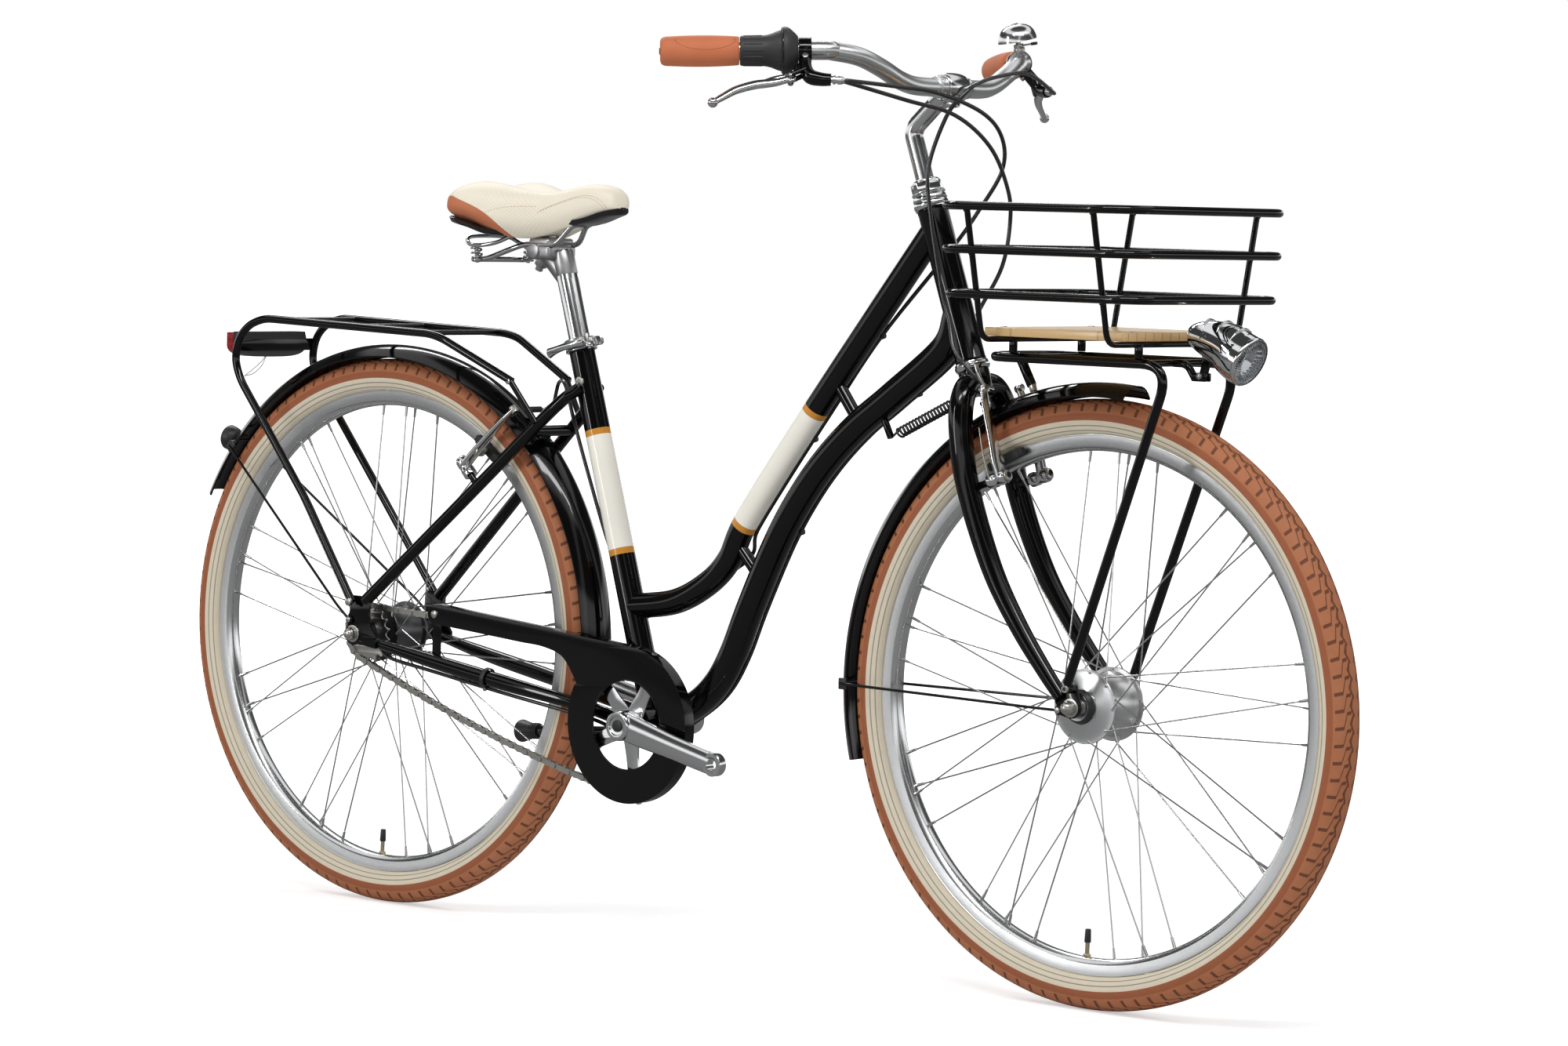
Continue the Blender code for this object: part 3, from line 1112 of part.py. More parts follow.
def front_carrier():
    half = FRONT_RACK_HALF_WIDTH
    top = front(0.1360, FRONT_RACK_HEIGHT)
    right_foot = FRONT_RACK_FOOT - 0.0645 * LEFTWARD
    left_foot = FRONT_RACK_FOOT + 0.0645 * LEFTWARD
    corners = [right_foot, top - half * LEFTWARD, FRONT_RACK_REAR - half * LEFTWARD, FRONT_RACK_REAR + half * LEFTWARD,
               top + half * LEFTWARD, left_foot]
    path = [right_foot]
    for i in range(1, 5):
        path += rounded_corner(corners[i - 1], corners[i], corners[i + 1], 0.042, 3)
    path.append(left_foot)
    frame = solid_tube("front_carrier", path, FRONT_RACK_RADIUS, BLACK_PAINT, 6)
    for number, x in enumerate((-0.088, 0.092)):
        place = front(x, FRONT_RACK_HEIGHT)
        join(frame, rod(f"front_cross_{number}", place - half * LEFTWARD, place + half * LEFTWARD, 0.0040, None, 6))
    for label, side in (("left", 1), ("right", -1)):
        fork_side = FORK_DROPOUT_INNER + DROPOUT_THICKNESS + GAP
        outer = front(*CARRIER_EYELET, side * 0.0670)
        join(frame, rod(f"carrier_eye_{label}", outer, front(*CARRIER_EYELET, side * fork_side), 0.0055, None, 6))
    facet = (FRONT_MUDGUARD_ENDS[1] - FRONT_MUDGUARD_ENDS[0]) / MUDGUARD_STEPS
    sagitta = MUDGUARD_RADIUS * (1 - math.cos(math.radians(facet / 2)))
    screw_angle = FRONT_MUDGUARD_ENDS[0] + 2.5 * facet
    screw_foot = on_mudguard(FRONT_HUB, screw_angle, sagitta - MUDGUARD_WALL / 2 - GAP)
    screw_top = on_mudguard(FRONT_HUB, screw_angle, -0.0120)
    strip_top = FRONT_RACK_REAR + Vector((0.003, 0, -0.002))
    join(frame, rod("carrier_screw", screw_foot, screw_top, 0.0055, None, 6))
    join(frame, rod("carrier_strip", strip_top, screw_top - 0.003 * UPWARD, 0.0045, None, 6))
    stalk_top = front(0.1050, FRONT_RACK_HEIGHT)
    join(frame, rod("lamp_stalk", front(0.092, FRONT_RACK_HEIGHT), stalk_top + 0.002 * FORWARD, 0.0045, None, 6))
    fork_low = LAMP_HINGE + Vector((-0.012, 0, -0.004))
    join(frame, rod("lamp_drop", stalk_top, fork_low, 0.0045, None, 6))
    join(frame, block("lamp_bridge", fork_low + 0.001 * UPWARD, (0.008, 0.0150, 0.008), None))
    for label, side in (("left", 1), ("right", -1)):
        ear_y = side * (0.0020 + GAP + 0.0020)
        join(frame, block(f"lamp_ear_{label}", LAMP_HINGE + Vector((-0.003, ear_y, -0.0015)), (0.020, 0.0040, 0.010), None))
    join(frame, rod("lamp_bolt", LAMP_HINGE - 0.0090 * LEFTWARD, LAMP_HINGE + 0.0090 * LEFTWARD, LAMP_BOLT_RADIUS, None, 6))
    return frame


FRONT_CARRIER = front_carrier()


# Basket: three rings on two bent uprights, and the board that they carry

BASKET_RINGS = ((BASKET_HEIGHT, 0.1680, 0.050), (BASKET_HEIGHT - 0.050, 0.1560, 0.035), (BASKET_HEIGHT - 0.1015, 0.1450, 0.032))
UPRIGHT_SPAN = 0.180
BOARD_UNDER = BASKET_FLOOR_TOP - BOARD_THICKNESS


def basket():
    body = None
    for number, (height, half_width, corner) in enumerate(BASKET_RINGS):
        half_length = BASKET_LENGTH / 2
        points = []
        for turn, (sx, sy) in enumerate(((1, 1), (-1, 1), (-1, -1), (1, -1))):
            centre = (sx * (half_length - corner), sy * (half_width - corner))
            for x, y in arc(centre, corner, 90 * turn, 90 * turn + 90, 2):
                points.append(front(x, height, y))
        ring = solid_tube("basket" if body is None else f"basket_ring_{number}", points, RING_TUBE_RADIUS, BLACK_PAINT, 6,
                          cyclic=True)
        body = ring if body is None else join(body, ring)
    top_height, top_half, _ = BASKET_RINGS[0]
    low_height, low_half, _ = BASKET_RINGS[2]
    inset = RING_TUBE_RADIUS + UPRIGHT_RADIUS - 0.0022
    wire_height = BOARD_UNDER - UPRIGHT_RADIUS - GAP
    slope = (top_half - low_half) / (top_height - low_height)
    foot_half = low_half - inset - slope * (low_height - wire_height)
    for number, x in enumerate((-UPRIGHT_SPAN / 2, UPRIGHT_SPAN / 2)):
        ends = [front(x, top_height - 0.001, -(top_half - inset)), front(x, wire_height, -foot_half),
                front(x, wire_height, foot_half), front(x, top_height - 0.001, top_half - inset)]
        path = [ends[0]]
        path += rounded_corner(ends[0], ends[1], ends[2], 0.015, 2)
        path += rounded_corner(ends[1], ends[2], ends[3], 0.015, 2)
        path.append(ends[3])
        join(body, solid_tube(f"basket_upright_{number}", path, UPRIGHT_RADIUS, None, 6))
    foot_height = FRONT_RACK_HEIGHT + FRONT_RACK_RADIUS * math.cos(math.pi / 6) + GAP
    for number, (x, side) in enumerate(((-1, -1), (-1, 1), (1, -1), (1, 1))):
        place = front(x * UPRIGHT_SPAN / 2, 0, side * (FRONT_RACK_HALF_WIDTH - 0.001))
        low = place + foot_height * UPWARD
        join(body, rod(f"basket_foot_{number}", low, place + (wire_height + 0.001) * UPWARD, 0.0050, None, 4))
    return body


def basket_floor():
    centre = front(0.0, BASKET_FLOOR_TOP - BOARD_THICKNESS / 2)
    board = block("basket_floor", centre, (BOARD_LENGTH, BOARD_WIDTH, BOARD_THICKNESS), BAMBOO)
    edge = board.modifiers.new("edge", "BEVEL")
    edge.width = 0.0015
    edge.segments = 1
    return board


BASKET = basket()
BASKET_FLOOR = basket_floor()


# Headlight: a drop-shaped shell that tilts on a bolt under the basket's front

LAMP_SHAPE = [(0.1120, 0.4360, 0.0030), (0.1180, 0.4365, 0.0120), (0.1300, 0.4350, 0.0180), (0.1480, 0.4310, 0.0235),
              (0.1680, 0.4240, 0.0280), (0.1840, 0.4142, 0.0300), (0.1960, 0.4088, 0.0300)]


def headlight():
    points = [front(x, z) for x, z, _ in LAMP_SHAPE]
    shell = solid_tube("headlight", points, [radius for *_, radius in LAMP_SHAPE], CHROME, 12)
    tab = block("lamp_tab", (LAMP_HINGE + front(0.1420, 0.4180)) / 2 + Vector((0, 0, 0.002)), (0.011, 0.0040, 0.036), None,
                (0, math.radians(14), 0))
    hole = rod("lamp_tab_hole", LAMP_HINGE - 0.02 * LEFTWARD, LAMP_HINGE + 0.02 * LEFTWARD,
               (LAMP_BOLT_RADIUS + GAP) / HEX_FLAT, None, 6)
    return cut(join(shell, tab), hole)


def headlight_lens():
    """The domed lens that closes the shell's mouth."""
    mouth = front(*LAMP_SHAPE[-1][:2])
    ahead = (mouth - front(*LAMP_SHAPE[-2][:2])).normalized()
    return rod("headlight_lens", mouth + GAP * ahead, mouth + 0.0070 * ahead, 0.0285, LENS, 12, 0.0200)


HEADLIGHT = headlight()
HEADLIGHT_LENS = headlight_lens()


# Brake arms: a sleeve on the stud, a tapering arm and a pad beside the rim

def brake_arm(name, foot, up, out, side, rim_side, pad_up, ahead):
    """One arm; foot is the stud's point on the middle plane, up runs along the arm."""
    centre = foot + side * STUD_SPREAD * LEFTWARD
    sleeve_start = 0.0140 + GAP
    sleeve = rod(name, centre + sleeve_start * out, centre + (STUD_LENGTH - 0.004) * out, 0.0090, POLISHED, 8)
    path = [centre + 0.030 * out, centre + 0.040 * up + 0.032 * out, centre + 0.085 * up + 0.034 * out - side * 0.002 * LEFTWARD,
            centre + BRAKE_ARM_LENGTH * up + 0.034 * out - side * 0.006 * LEFTWARD]
    arm = solid_tube(f"{name}_blade", path, [0.0072, 0.0062, 0.0050, 0.0042], None, 6)
    pad_y = side * (rim_side + PAD_GAP + PAD_THICKNESS / 2)
    pad_centre = foot + pad_up * up + 0.030 * out + pad_y * LEFTWARD
    pitch = -math.atan2(ahead.z, ahead.x)
    pad = block(f"{name}_pad", pad_centre, (PAD_LENGTH, PAD_THICKNESS, 0.0100), None, (0, pitch, 0))
    post = rod(f"{name}_post", pad_centre, pad_centre + (side * (STUD_SPREAD + 0.006) - pad_y) * LEFTWARD, 0.0040, None, 6)
    hole = rod(f"{name}_hole", centre, centre + 0.06 * out, (STUD_RADIUS + GAP) / HEX_FLAT, None, 6)
    return cut(join(sleeve, arm, pad, post), hole)


def brake_pair(place, stud_foot, up, out, hub):
    """Both arms of one brake, with the pad set on the rim's braking face."""
    target = RIM_RADIUS - 0.0065
    lift = 0.010
    while (stud_foot + lift * up + 0.030 * out - hub).length < target:
        lift += 0.0002
    radial = (stud_foot + lift * up + 0.030 * out - hub).normalized()
    ahead = Vector((radial.z, 0, -radial.x))
    arms = []
    for label, side in (("left", 1), ("right", -1)):
        arm = brake_arm(f"{place}_brake_arm_{label}", stud_foot, up, out, side, RIM_WIDTH / 2, lift, ahead)
        arms.append(arm)
        pivot(f"{place}_brake_{label}_axis", stud_foot + side * STUD_SPREAD * LEFTWARD, arm)
    return arms


FRONT_BRAKE = brake_pair("front", steer(FRONT_STUD_ALONG, 0), STEER_UP, STEER_AHEAD, FRONT_HUB)
REAR_BRAKE = brake_pair("rear", REAR_STUD, STAY_ALONG, STAY_OUT, REAR_HUB)


# Rear carrier: two bent tubes from the dropouts over the wheel to the seat stays

RACK_SHAPE = [(0.0030, 0.0420), (-0.0917, 0.1671), (-0.1806, 0.2734), (-0.2224, 0.3230), (-0.2330, 0.3500),
              (-0.2250, 0.3790), (-0.2060, 0.3960), (-0.1780, 0.4050), (0.1250, 0.3960), (0.1480, 0.3910), (0.2550, 0.3400)]


def rear_carrier():
    body = None
    for label, side in (("left", 1), ("right", -1)):
        points = [rear(x, z, side * RACK_HALF_WIDTH) for x, z in RACK_SHAPE]
        points[0].y = side * (DROPOUT_INNER + DROPOUT_THICKNESS + RACK_TUBE_RADIUS + 4 * GAP)
        points[-1].y = side * 0.0530
        run = solid_tube("rear_carrier" if body is None else "rear_carrier_right", points, RACK_TUBE_RADIUS, BLACK_PAINT, 6)
        body = run if body is None else join(body, run)
    for number, (x, z) in enumerate(((-0.1500, 0.4040), (-0.0200, 0.4000), (0.1100, 0.3965))):
        place = rear(x, z)
        join(body, rod(f"rack_cross_{number}", place - RACK_HALF_WIDTH * LEFTWARD, place + RACK_HALF_WIDTH * LEFTWARD, 0.0035,
                       None, 6))
    light_bar = rear(-0.2300, 0.3680)
    join(body, block("light_bar", light_bar, (0.0030, 2 * RACK_HALF_WIDTH + 0.004, 0.0160), None))
    for label, side in (("left", 1), ("right", -1)):
        start = rear(0.2520, 0.3410, side * 0.0530)
        end = SEAT_STAY_FOOT.lerp(SEAT_STAY_TOP, 0.84) + side * 0.0350 * LEFTWARD
        join(body, rod(f"rack_tab_{label}", start, end, 0.0040, None, 6))
    stay_room = []
    for label, side in (("left", 1), ("right", -1)):
        points = [SEAT_STAY_FOOT.lerp(SEAT_STAY_TOP, 0.7) + side * 0.0405 * LEFTWARD,
                  SEAT_STAY_FOOT.lerp(SEAT_STAY_TOP, 0.9) + side * 0.0325 * LEFTWARD,
                  SEAT_STAY_TOP + side * 0.0170 * LEFTWARD]
        stay_room.append(solid_tube(f"seat_stay_room_{label}", smooth_path(points, 2), SEAT_STAY_RADIUS + 0.0008, None, 10))
    return cut(body, *stay_room)


rear_carrier()


# Rear light: a wide housing behind the carrier's cross bar

def rear_light():
    centre = rear(-0.2300 - 0.0015 - GAP - 0.0160, 0.3680)
    body = block("rear_light", centre, (0.0320, 0.1180, 0.0340), BLACK_PLASTIC)
    edge = body.modifiers.new("edge", "BEVEL")
    edge.width = 0.0070
    edge.segments = 1
    return body


rear_light()


# Seat: post with its forged head, clamp with its lever, rails with springs, shell and cushion

RAIL_HEIGHT = SADDLE_HEIGHT - 0.0800
POST_TOP = (RAIL_HEIGHT + 0.00025 + BRACKET_DROP) / SEAT_UP.z
RAIL_HALF = 0.0220
HEAD_SETBACK = 0.0170


def seat_post():
    post = rod("seat_post", seat(0.3300), seat(POST_TOP - 0.008), SEAT_POST_RADIUS, POLISHED, 16)
    cradle_centre = Vector((seat(POST_TOP).x - HEAD_SETBACK, 0, REAR_HUB.z + RAIL_HEIGHT - 0.0090))
    cradle = block("post_cradle", cradle_centre, (0.0420, 0.0520, 0.0200), None)
    edge = cradle.modifiers.new("edge", "BEVEL")
    edge.width = 0.0050
    edge.segments = 1
    cap = block("post_cap", cradle_centre + Vector((0, 0, 0.0120)), (0.0340, 0.0500, 0.0110), None)
    cap_edge = cap.modifiers.new("edge", "BEVEL")
    cap_edge.width = 0.0030
    cap_edge.segments = 1
    web = rod("post_web", seat(POST_TOP - 0.048), cradle_centre - 0.003 * UPWARD, 0.0125, None, 12)
    join(post, web, cradle, cap)
    for label, side in (("left", 1), ("right", -1)):
        place = Vector((cradle_centre.x, side * RAIL_HALF, REAR_HUB.z + RAIL_HEIGHT))
        cut(post, rod(f"rail_room_{label}", place - 0.05 * FORWARD, place + 0.05 * FORWARD, RAIL_RADIUS + GAP, None, 10))
    return post


CLAMP_HEIGHT = 0.0140
CLAMP_PIN_ALONG = SEAT_TUBE_LENGTH - CLAMP_HEIGHT / 2
LEVER_HINGE = (0.0245, -0.0130)
CLAMP_PIN_RADIUS = 0.0020


def seat_clamp():
    low = SEAT_TUBE_LENGTH - CLAMP_HEIGHT
    bore = SEAT_TUBE_RADIUS + GAP
    neck = SEAT_POST_RADIUS + 2 * GAP
    profile = [(bore, 0), (0.0205, 0), (0.0205, CLAMP_HEIGHT + 0.0015), (neck, CLAMP_HEIGHT + 0.0015),
               (neck, CLAMP_HEIGHT + GAP), (bore, CLAMP_HEIGHT + GAP)]
    ring = turned("seat_clamp", profile, seat(low), SEAT_UP, POLISHED, 16)
    ear = block("clamp_ear", seat(CLAMP_PIN_ALONG, 0.0235), (0.0120, 0.0130, 0.0120), None,
                (0, -(math.pi / 2 - SEAT_ANGLE), 0))
    pin = rod("clamp_pin", seat(CLAMP_PIN_ALONG - 0.0100, *LEVER_HINGE), seat(CLAMP_PIN_ALONG + 0.0100, *LEVER_HINGE),
              CLAMP_PIN_RADIUS, None, 6)
    link = rod("clamp_link", seat(CLAMP_PIN_ALONG, LEVER_HINGE[0], 0), seat(CLAMP_PIN_ALONG, *LEVER_HINGE), 0.0026,
               None, 6)
    return join(ring, ear, link, pin)


def clamp_lever():
    """The quick-release lever: an eye on the pin and an arm folded back along the ring."""
    hinge = LEVER_HINGE
    outer = [(0.0225, -0.0200), (0.0120, -0.0240), (-0.0060, -0.0265), (-0.0240, -0.0235), (-0.0380, -0.0190)]
    path = [seat(CLAMP_PIN_ALONG, ahead, side) for ahead, side in outer]
    lever = solid_tube("seat_clamp_lever", path, [0.0038, 0.0034, 0.0030, 0.0032, 0.0042], POLISHED, 8)
    start = seat(CLAMP_PIN_ALONG - 0.0034, *hinge)
    end = seat(CLAMP_PIN_ALONG - 0.0078, *hinge)
    join(lever, rod("lever_eye", start, end, 0.0050, None, 8))
    join(lever, rod("lever_arm", (start + end) / 2, seat(CLAMP_PIN_ALONG - 0.0010, 0.0225, -0.0200), 0.0024, None, 6))
    hole = rod("clamp_lever_hole", seat(CLAMP_PIN_ALONG - 0.02, *hinge), seat(CLAMP_PIN_ALONG + 0.02, *hinge),
               (CLAMP_PIN_RADIUS + GAP) / HEX_FLAT, None, 6)
    return cut(lever, hole)


def spring_coil(name, foot, top, radius, wire, curls, steps, finish):
    """A coil spring whose turns come from a helix formula, with flat ends drawn in to its seats."""
    along = top - foot
    up = along.normalized()
    right = up.orthogonal().normalized()
    ahead = up.cross(right)
    points = []
    for k in range(curls * steps + 1):
        angle = math.tau * k / steps
        points.append(foot + along * (k / (curls * steps)) + radius * (math.cos(angle) * right + math.sin(angle) * ahead))
    pitch = along.length / curls
    print(f"{name}: {curls} curls, least gap between turns {1000 * (pitch - 2 * wire):.2f} mm")
    return solid_tube(name, points, wire, finish, 6)


SADDLE_SPRING_X = 0.1920
SADDLE_SPRING_Y = 0.0460


def under_saddle(x, drop, y):
    """A point given from the rear axle's middle, and down from the saddle's top."""
    return rear(x, SADDLE_HEIGHT - drop, y)


def saddle_rails():
    """The chromed wire rails, swept out at the back to carry a coil spring on each side."""
    left = [under_saddle(0.3270, 0.0635, 0.0080), under_saddle(0.3150, 0.0680, 0.0150), rear(0.2950, RAIL_HEIGHT, RAIL_HALF),
            rear(0.2420, RAIL_HEIGHT, RAIL_HALF), under_saddle(0.2200, 0.0880, 0.0270), under_saddle(0.1950, 0.1000, 0.0400),
            under_saddle(0.1780, 0.1010, 0.0470), under_saddle(0.1720, 0.1010, 0.0400), under_saddle(0.1720, 0.1010, 0.0)]
    right = [Vector((p.x, -p.y, p.z)) for p in left]
    body = solid_tube("saddle_rails", left + right[-2::-1], RAIL_RADIUS, CHROME, 6)
    loop = [under_saddle(0.2360, 0.0720, 0.0400), under_saddle(0.2150, 0.0715, 0.0480),
            under_saddle(0.1920, 0.0700, 0.0560), under_saddle(0.1700, 0.0700, 0.0480),
            under_saddle(0.1640, 0.0700, 0.0300)]
    other = [Vector((p.x, -p.y, p.z)) for p in loop]
    for label, side in (("left", 1), ("right", -1)):
        foot = under_saddle(0.1830, 0.0995, side * 0.0470)
        top = under_saddle(0.1830, 0.0700, side * 0.0515)
        join(body, spring_coil(f"saddle_spring_{label}", foot, top, 0.0055, 0.0013, 3, 8, None))
    join(body, solid_tube("saddle_top_wire", loop + other[::-1], 0.0026, None, 6))
    return body


SADDLE_SECTIONS = [(0.000, 0.010, -0.023, 0.000, 0.012), (0.030, 0.020, -0.011, 0.001, 0.023),
                   (0.100, 0.027, -0.003, 0.002, 0.035), (0.200, 0.031, 0.000, 0.003, 0.047),
                   (0.340, 0.036, -0.004, 0.005, 0.052), (0.470, 0.051, -0.006, 0.008, 0.055),
                   (0.590, 0.073, -0.004, 0.011, 0.057), (0.710, 0.093, -0.001, 0.013, 0.058),
                   (0.820, 0.103, 0.000, 0.013, 0.058), (0.920, 0.103, -0.004, 0.011, 0.052),
                   (0.980, 0.088, -0.014, 0.007, 0.040), (1.000, 0.062, -0.025, 0.003, 0.027)]


def saddle_loft(name, base_only, finish):
    """The cushion, or the thin shell under it, through sections from the nose to the back."""
    around = 10 if base_only else 16
    bm = bmesh.new()
    rings = []
    for share, half_width, top, channel, depth in SADDLE_SECTIONS:
        half = half_width * SADDLE_WIDTH / 0.210
        x = SADDLE_NOSE_AHEAD - share * SADDLE_LENGTH
        crown = SADDLE_HEIGHT + top
        ring = []
        for k in range(around):
            angle = math.tau * k / around
            wide = math.copysign(abs(math.cos(angle)) ** 0.75, math.cos(angle))
            tall = math.sin(angle)
            y = half * wide * (1.0 if tall > -0.01 else 0.93)
            if base_only:
                z = crown - depth - GAP - (0.0055 if tall < -0.01 else 0.0)
                y *= 0.93
            elif tall > 0.01:
                z = crown - 0.5 * depth * (1 - tall ** 0.55) - channel * math.exp(-(y / 0.016) ** 2)
            elif tall < -0.01:
                z = crown - depth
            else:
                z = crown - 0.62 * depth
            ring.append(bm.verts.new(rear(x, z, y)))
        rings.append(ring)
    for first, second in zip(rings, rings[1:]):
        for k in range(around):
            bm.faces.new((first[k], first[(k + 1) % around], second[(k + 1) % around], second[k]))
    bm.faces.new(rings[0][::-1])
    bm.faces.new(rings[-1])
    bmesh.ops.recalc_face_normals(bm, faces=bm.faces)
    return bmesh_object(name, bm, finish)


SEAT_POST = seat_post()
CLAMP = seat_clamp()
CLAMP_LEVER = clamp_lever()
SADDLE_RAILS = saddle_rails()
CUSHION = saddle_loft("saddle_cushion", False, CREAM_COVER)
SADDLE_SHELL = saddle_loft("saddle_shell", True, BLACK_PLASTIC)
pivot("seat_slide", seat(SEAT_TUBE_LENGTH), SEAT_POST, SADDLE_RAILS, CUSHION, SADDLE_SHELL)
pivot("clamp_lever_axis", seat(CLAMP_PIN_ALONG, *LEVER_HINGE), CLAMP_LEVER)


# Kickstand: a leg folded back beside the left chain stay, pivoting under the kickstand plate

def kickstand():
    out = KICK_AXIS
    hub = rod("kickstand_leg", KICK_PIVOT - 0.010 * out, KICK_PIVOT + 0.010 * out, 0.0120, BLACK_PAINT, 12)
    tip = KICK_PIVOT + KICKSTAND_LEG_LENGTH * KICK_FOLDED
    leg = rod("kick_tube", KICK_PIVOT, KICK_PIVOT.lerp(tip, 0.90), KICKSTAND_LEG_RADIUS, None, 8)
    foot = rod("kick_foot", KICK_PIVOT.lerp(tip, 0.86), tip, 0.0092, None, 8, 0.0150)
    hole = rod("kick_hole", KICK_PIVOT - 0.03 * out, KICK_PIVOT + 0.03 * out, (KICK_PIN_RADIUS + GAP) / HEX_FLAT, None, 6)
    return cut(join(hub, leg, foot), hole)


LEG = kickstand()
pivot("kickstand_axis", KICK_PIVOT, LEG)


# Cables and the steering spring

BARREL_END = CLAMP_START + CLAMP_WIDTH / 2 + 0.0465
SHIFTER_EXIT = (0.25 * FORWARD - 0.97 * UPWARD).normalized()
SPRING_RADIUS = 0.0052
SPRING_WIRE = 0.0011


def offset_along(path, below, side):
    """The path moved below the tube and to one side."""
    moved = []
    for i, point in enumerate(path):
        ahead = (path[min(i + 1, len(path) - 1)] - path[max(i - 1, 0)]).normalized()
        down = Vector((ahead.z, 0, -ahead.x))
        if down.z > 0:
            down = -down
        moved.append(point + below * down + side * LEFTWARD)
    return moved


def under_stay(share, below, side):
    """A point under the right chain stay, part of the way from the dropout to the shell."""
    place = chain_stay_path(-1)
    spot = share * (len(place) - 1)
    low = min(int(spot), len(place) - 2)
    return place[low].lerp(place[low + 1], spot - low) - below * UPWARD + side * LEFTWARD


def cables():
    front_points = [on_bar(1, BARREL_END, 0.0486), on_bar(1, BARREL_END + 0.008, 0.0492), steer(0.7709, 0.0953, 0.1250),
                    steer(0.7655, 0.0945, 0.0650), steer(0.7530, 0.0958, 0.0150), steer(0.7407, 0.0866, -0.0050),
                    steer(0.7224, 0.0635, -0.0150), steer(0.6719, 0.0289, -0.0260), steer(0.6189, 0.0176, -0.0300),
                    steer(0.5281, 0.0082, -0.0330), steer(0.4848, 0.0104, -0.0370), steer(0.4504, 0.0129, -0.0440),
                    steer(0.4225, 0.0241, -0.0420), steer(0.4015, 0.0336, -0.0345)]
    tube("front_brake_cable", smooth_path(front_points, 1), HOUSING_RADIUS, BLACK_PLASTIC, 4)
    loop = [on_bar(-1, BARREL_END, 0.0486), on_bar(-1, BARREL_END + 0.008, 0.0492), steer(0.7494, 0.0860, -0.130), steer(0.7410, 0.0930, -0.060),
            steer(0.7198, 0.0910, 0.020), steer(0.6926, 0.0814, 0.060), steer(0.6586, 0.0600, 0.073),
            steer(0.6200, 0.0200, 0.060), steer(0.5850, -0.0200, 0.042)]
    along_tube = offset_along(UPPER_TUBE_PATH, 0.0108, 0.0160)[2:-3]
    to_brake = [rear(0.4250, 0.0480, 0.0220), rear(0.3960, 0.0800, 0.0180), rear(0.3740, 0.1400, 0.0050),
                rear(0.3440, 0.2200, 0.0000), rear(0.3120, 0.2900, 0.0040), rear(0.2900, 0.3350, 0.0100),
                rear(0.2620, 0.3380, 0.0280), rear(0.2475, 0.3085, 0.0345)]
    tube("rear_brake_cable", smooth_path(loop, 1) + along_tube + to_brake, HOUSING_RADIUS, BLACK_PLASTIC, 4)
    loop = [on_bar(-1, CLAMP_START - 0.0060, 0.0) + 0.0240 * SHIFTER_EXIT, on_bar(-1, 0.1900, 0.0) + 0.0330 * SHIFTER_EXIT,
            steer(0.7380, 0.0740, -0.100), steer(0.7159, 0.0880, -0.030), steer(0.6800, 0.0827, 0.030),
            steer(0.6338, 0.0709, 0.060), steer(0.5975, 0.0559, 0.070), steer(0.5465, 0.0329, 0.062),
            steer(0.5000, 0.0000, 0.038)]
    along_tube = offset_along(DOWN_TUBE_PATH, 0.0128, 0.0172)[1:-1]
    to_hub = [rear(BRACKET_AHEAD + 0.004, -BRACKET_DROP - 0.0240, 0.0080), rear(BRACKET_AHEAD - 0.020, -BRACKET_DROP - 0.0200, -0.0240),
              under_stay(0.80, 0.0130, 0), under_stay(0.60, 0.0130, 0), under_stay(0.40, 0.0135, 0), under_stay(0.20, 0.0130, 0.001),
              rear(0.0560, -0.0290, -0.0580), rear(0.0300, -0.0180, -0.0520)]
    tube("shift_cable", smooth_path(loop, 1) + along_tube + to_hub, HOUSING_RADIUS, BLACK_PLASTIC, 4)


cables()


def steering_spring():
    """The coil spring that centres the fork, hooked between two lugs; its ends run straight."""
    start = SPRING_LUG + (SPRING_WIRE + GAP) * (SPRING_LUG - SPRING_LUG_ROOT).normalized()
    end = FORK_SPRING_LUG - GAP * STEER_AHEAD
    along = (end - start).normalized()
    across = along.cross(LEFTWARD).normalized()
    coil_start = start + 0.0140 * along
    coil_end = end - 0.0080 * along
    curls = 8
    steps = 8
    points = [start, coil_start - 0.0030 * along]
    for k in range(curls * steps + 1):
        angle = math.tau * k / steps
        centre = coil_start.lerp(coil_end, k / (curls * steps))
        points.append(centre + SPRING_RADIUS * (math.cos(angle) * across + math.sin(angle) * LEFTWARD))
    points += [coil_end + 0.0030 * along, end]
    pitch = (coil_end - coil_start).length / curls
    print(f"steering_spring: {curls} curls, least gap between turns {1000 * (pitch - 2 * SPRING_WIRE):.2f} mm")
    return tube("steering_spring", points, SPRING_WIRE, STEEL, 6)


steering_spring()

steering_riders = [FORK, LOCK_NUT, FRONT_AXLE, STEM, HANDLEBAR, GRIP_LEFT, GRIP_RIGHT, LEVER_BODY_LEFT,
                   LEVER_BODY_RIGHT, BELL, FRONT_CARRIER, BASKET, BASKET_FLOOR, FRONT_MUDGUARD]
pivot("steering_axis", HEAD_LOW, *steering_riders)
pivot("shifter_axis", on_bar(-1, SHIFTER_START), TWIST_SHIFTER)
pivot("lever_left_axis", on_bar(1, LEVER_PIVOT_AT, LEVER_PIVOT_REACH), BRAKE_LEVER_LEFT)
pivot("lever_right_axis", on_bar(-1, LEVER_PIVOT_AT, LEVER_PIVOT_REACH), BRAKE_LEVER_RIGHT)
pivot("striker_axis", BELL_FOOT + STRIKER_AT * BELL_AXIS, STRIKER)
pivot("lamp_axis", LAMP_HINGE, HEADLIGHT, HEADLIGHT_LENS)
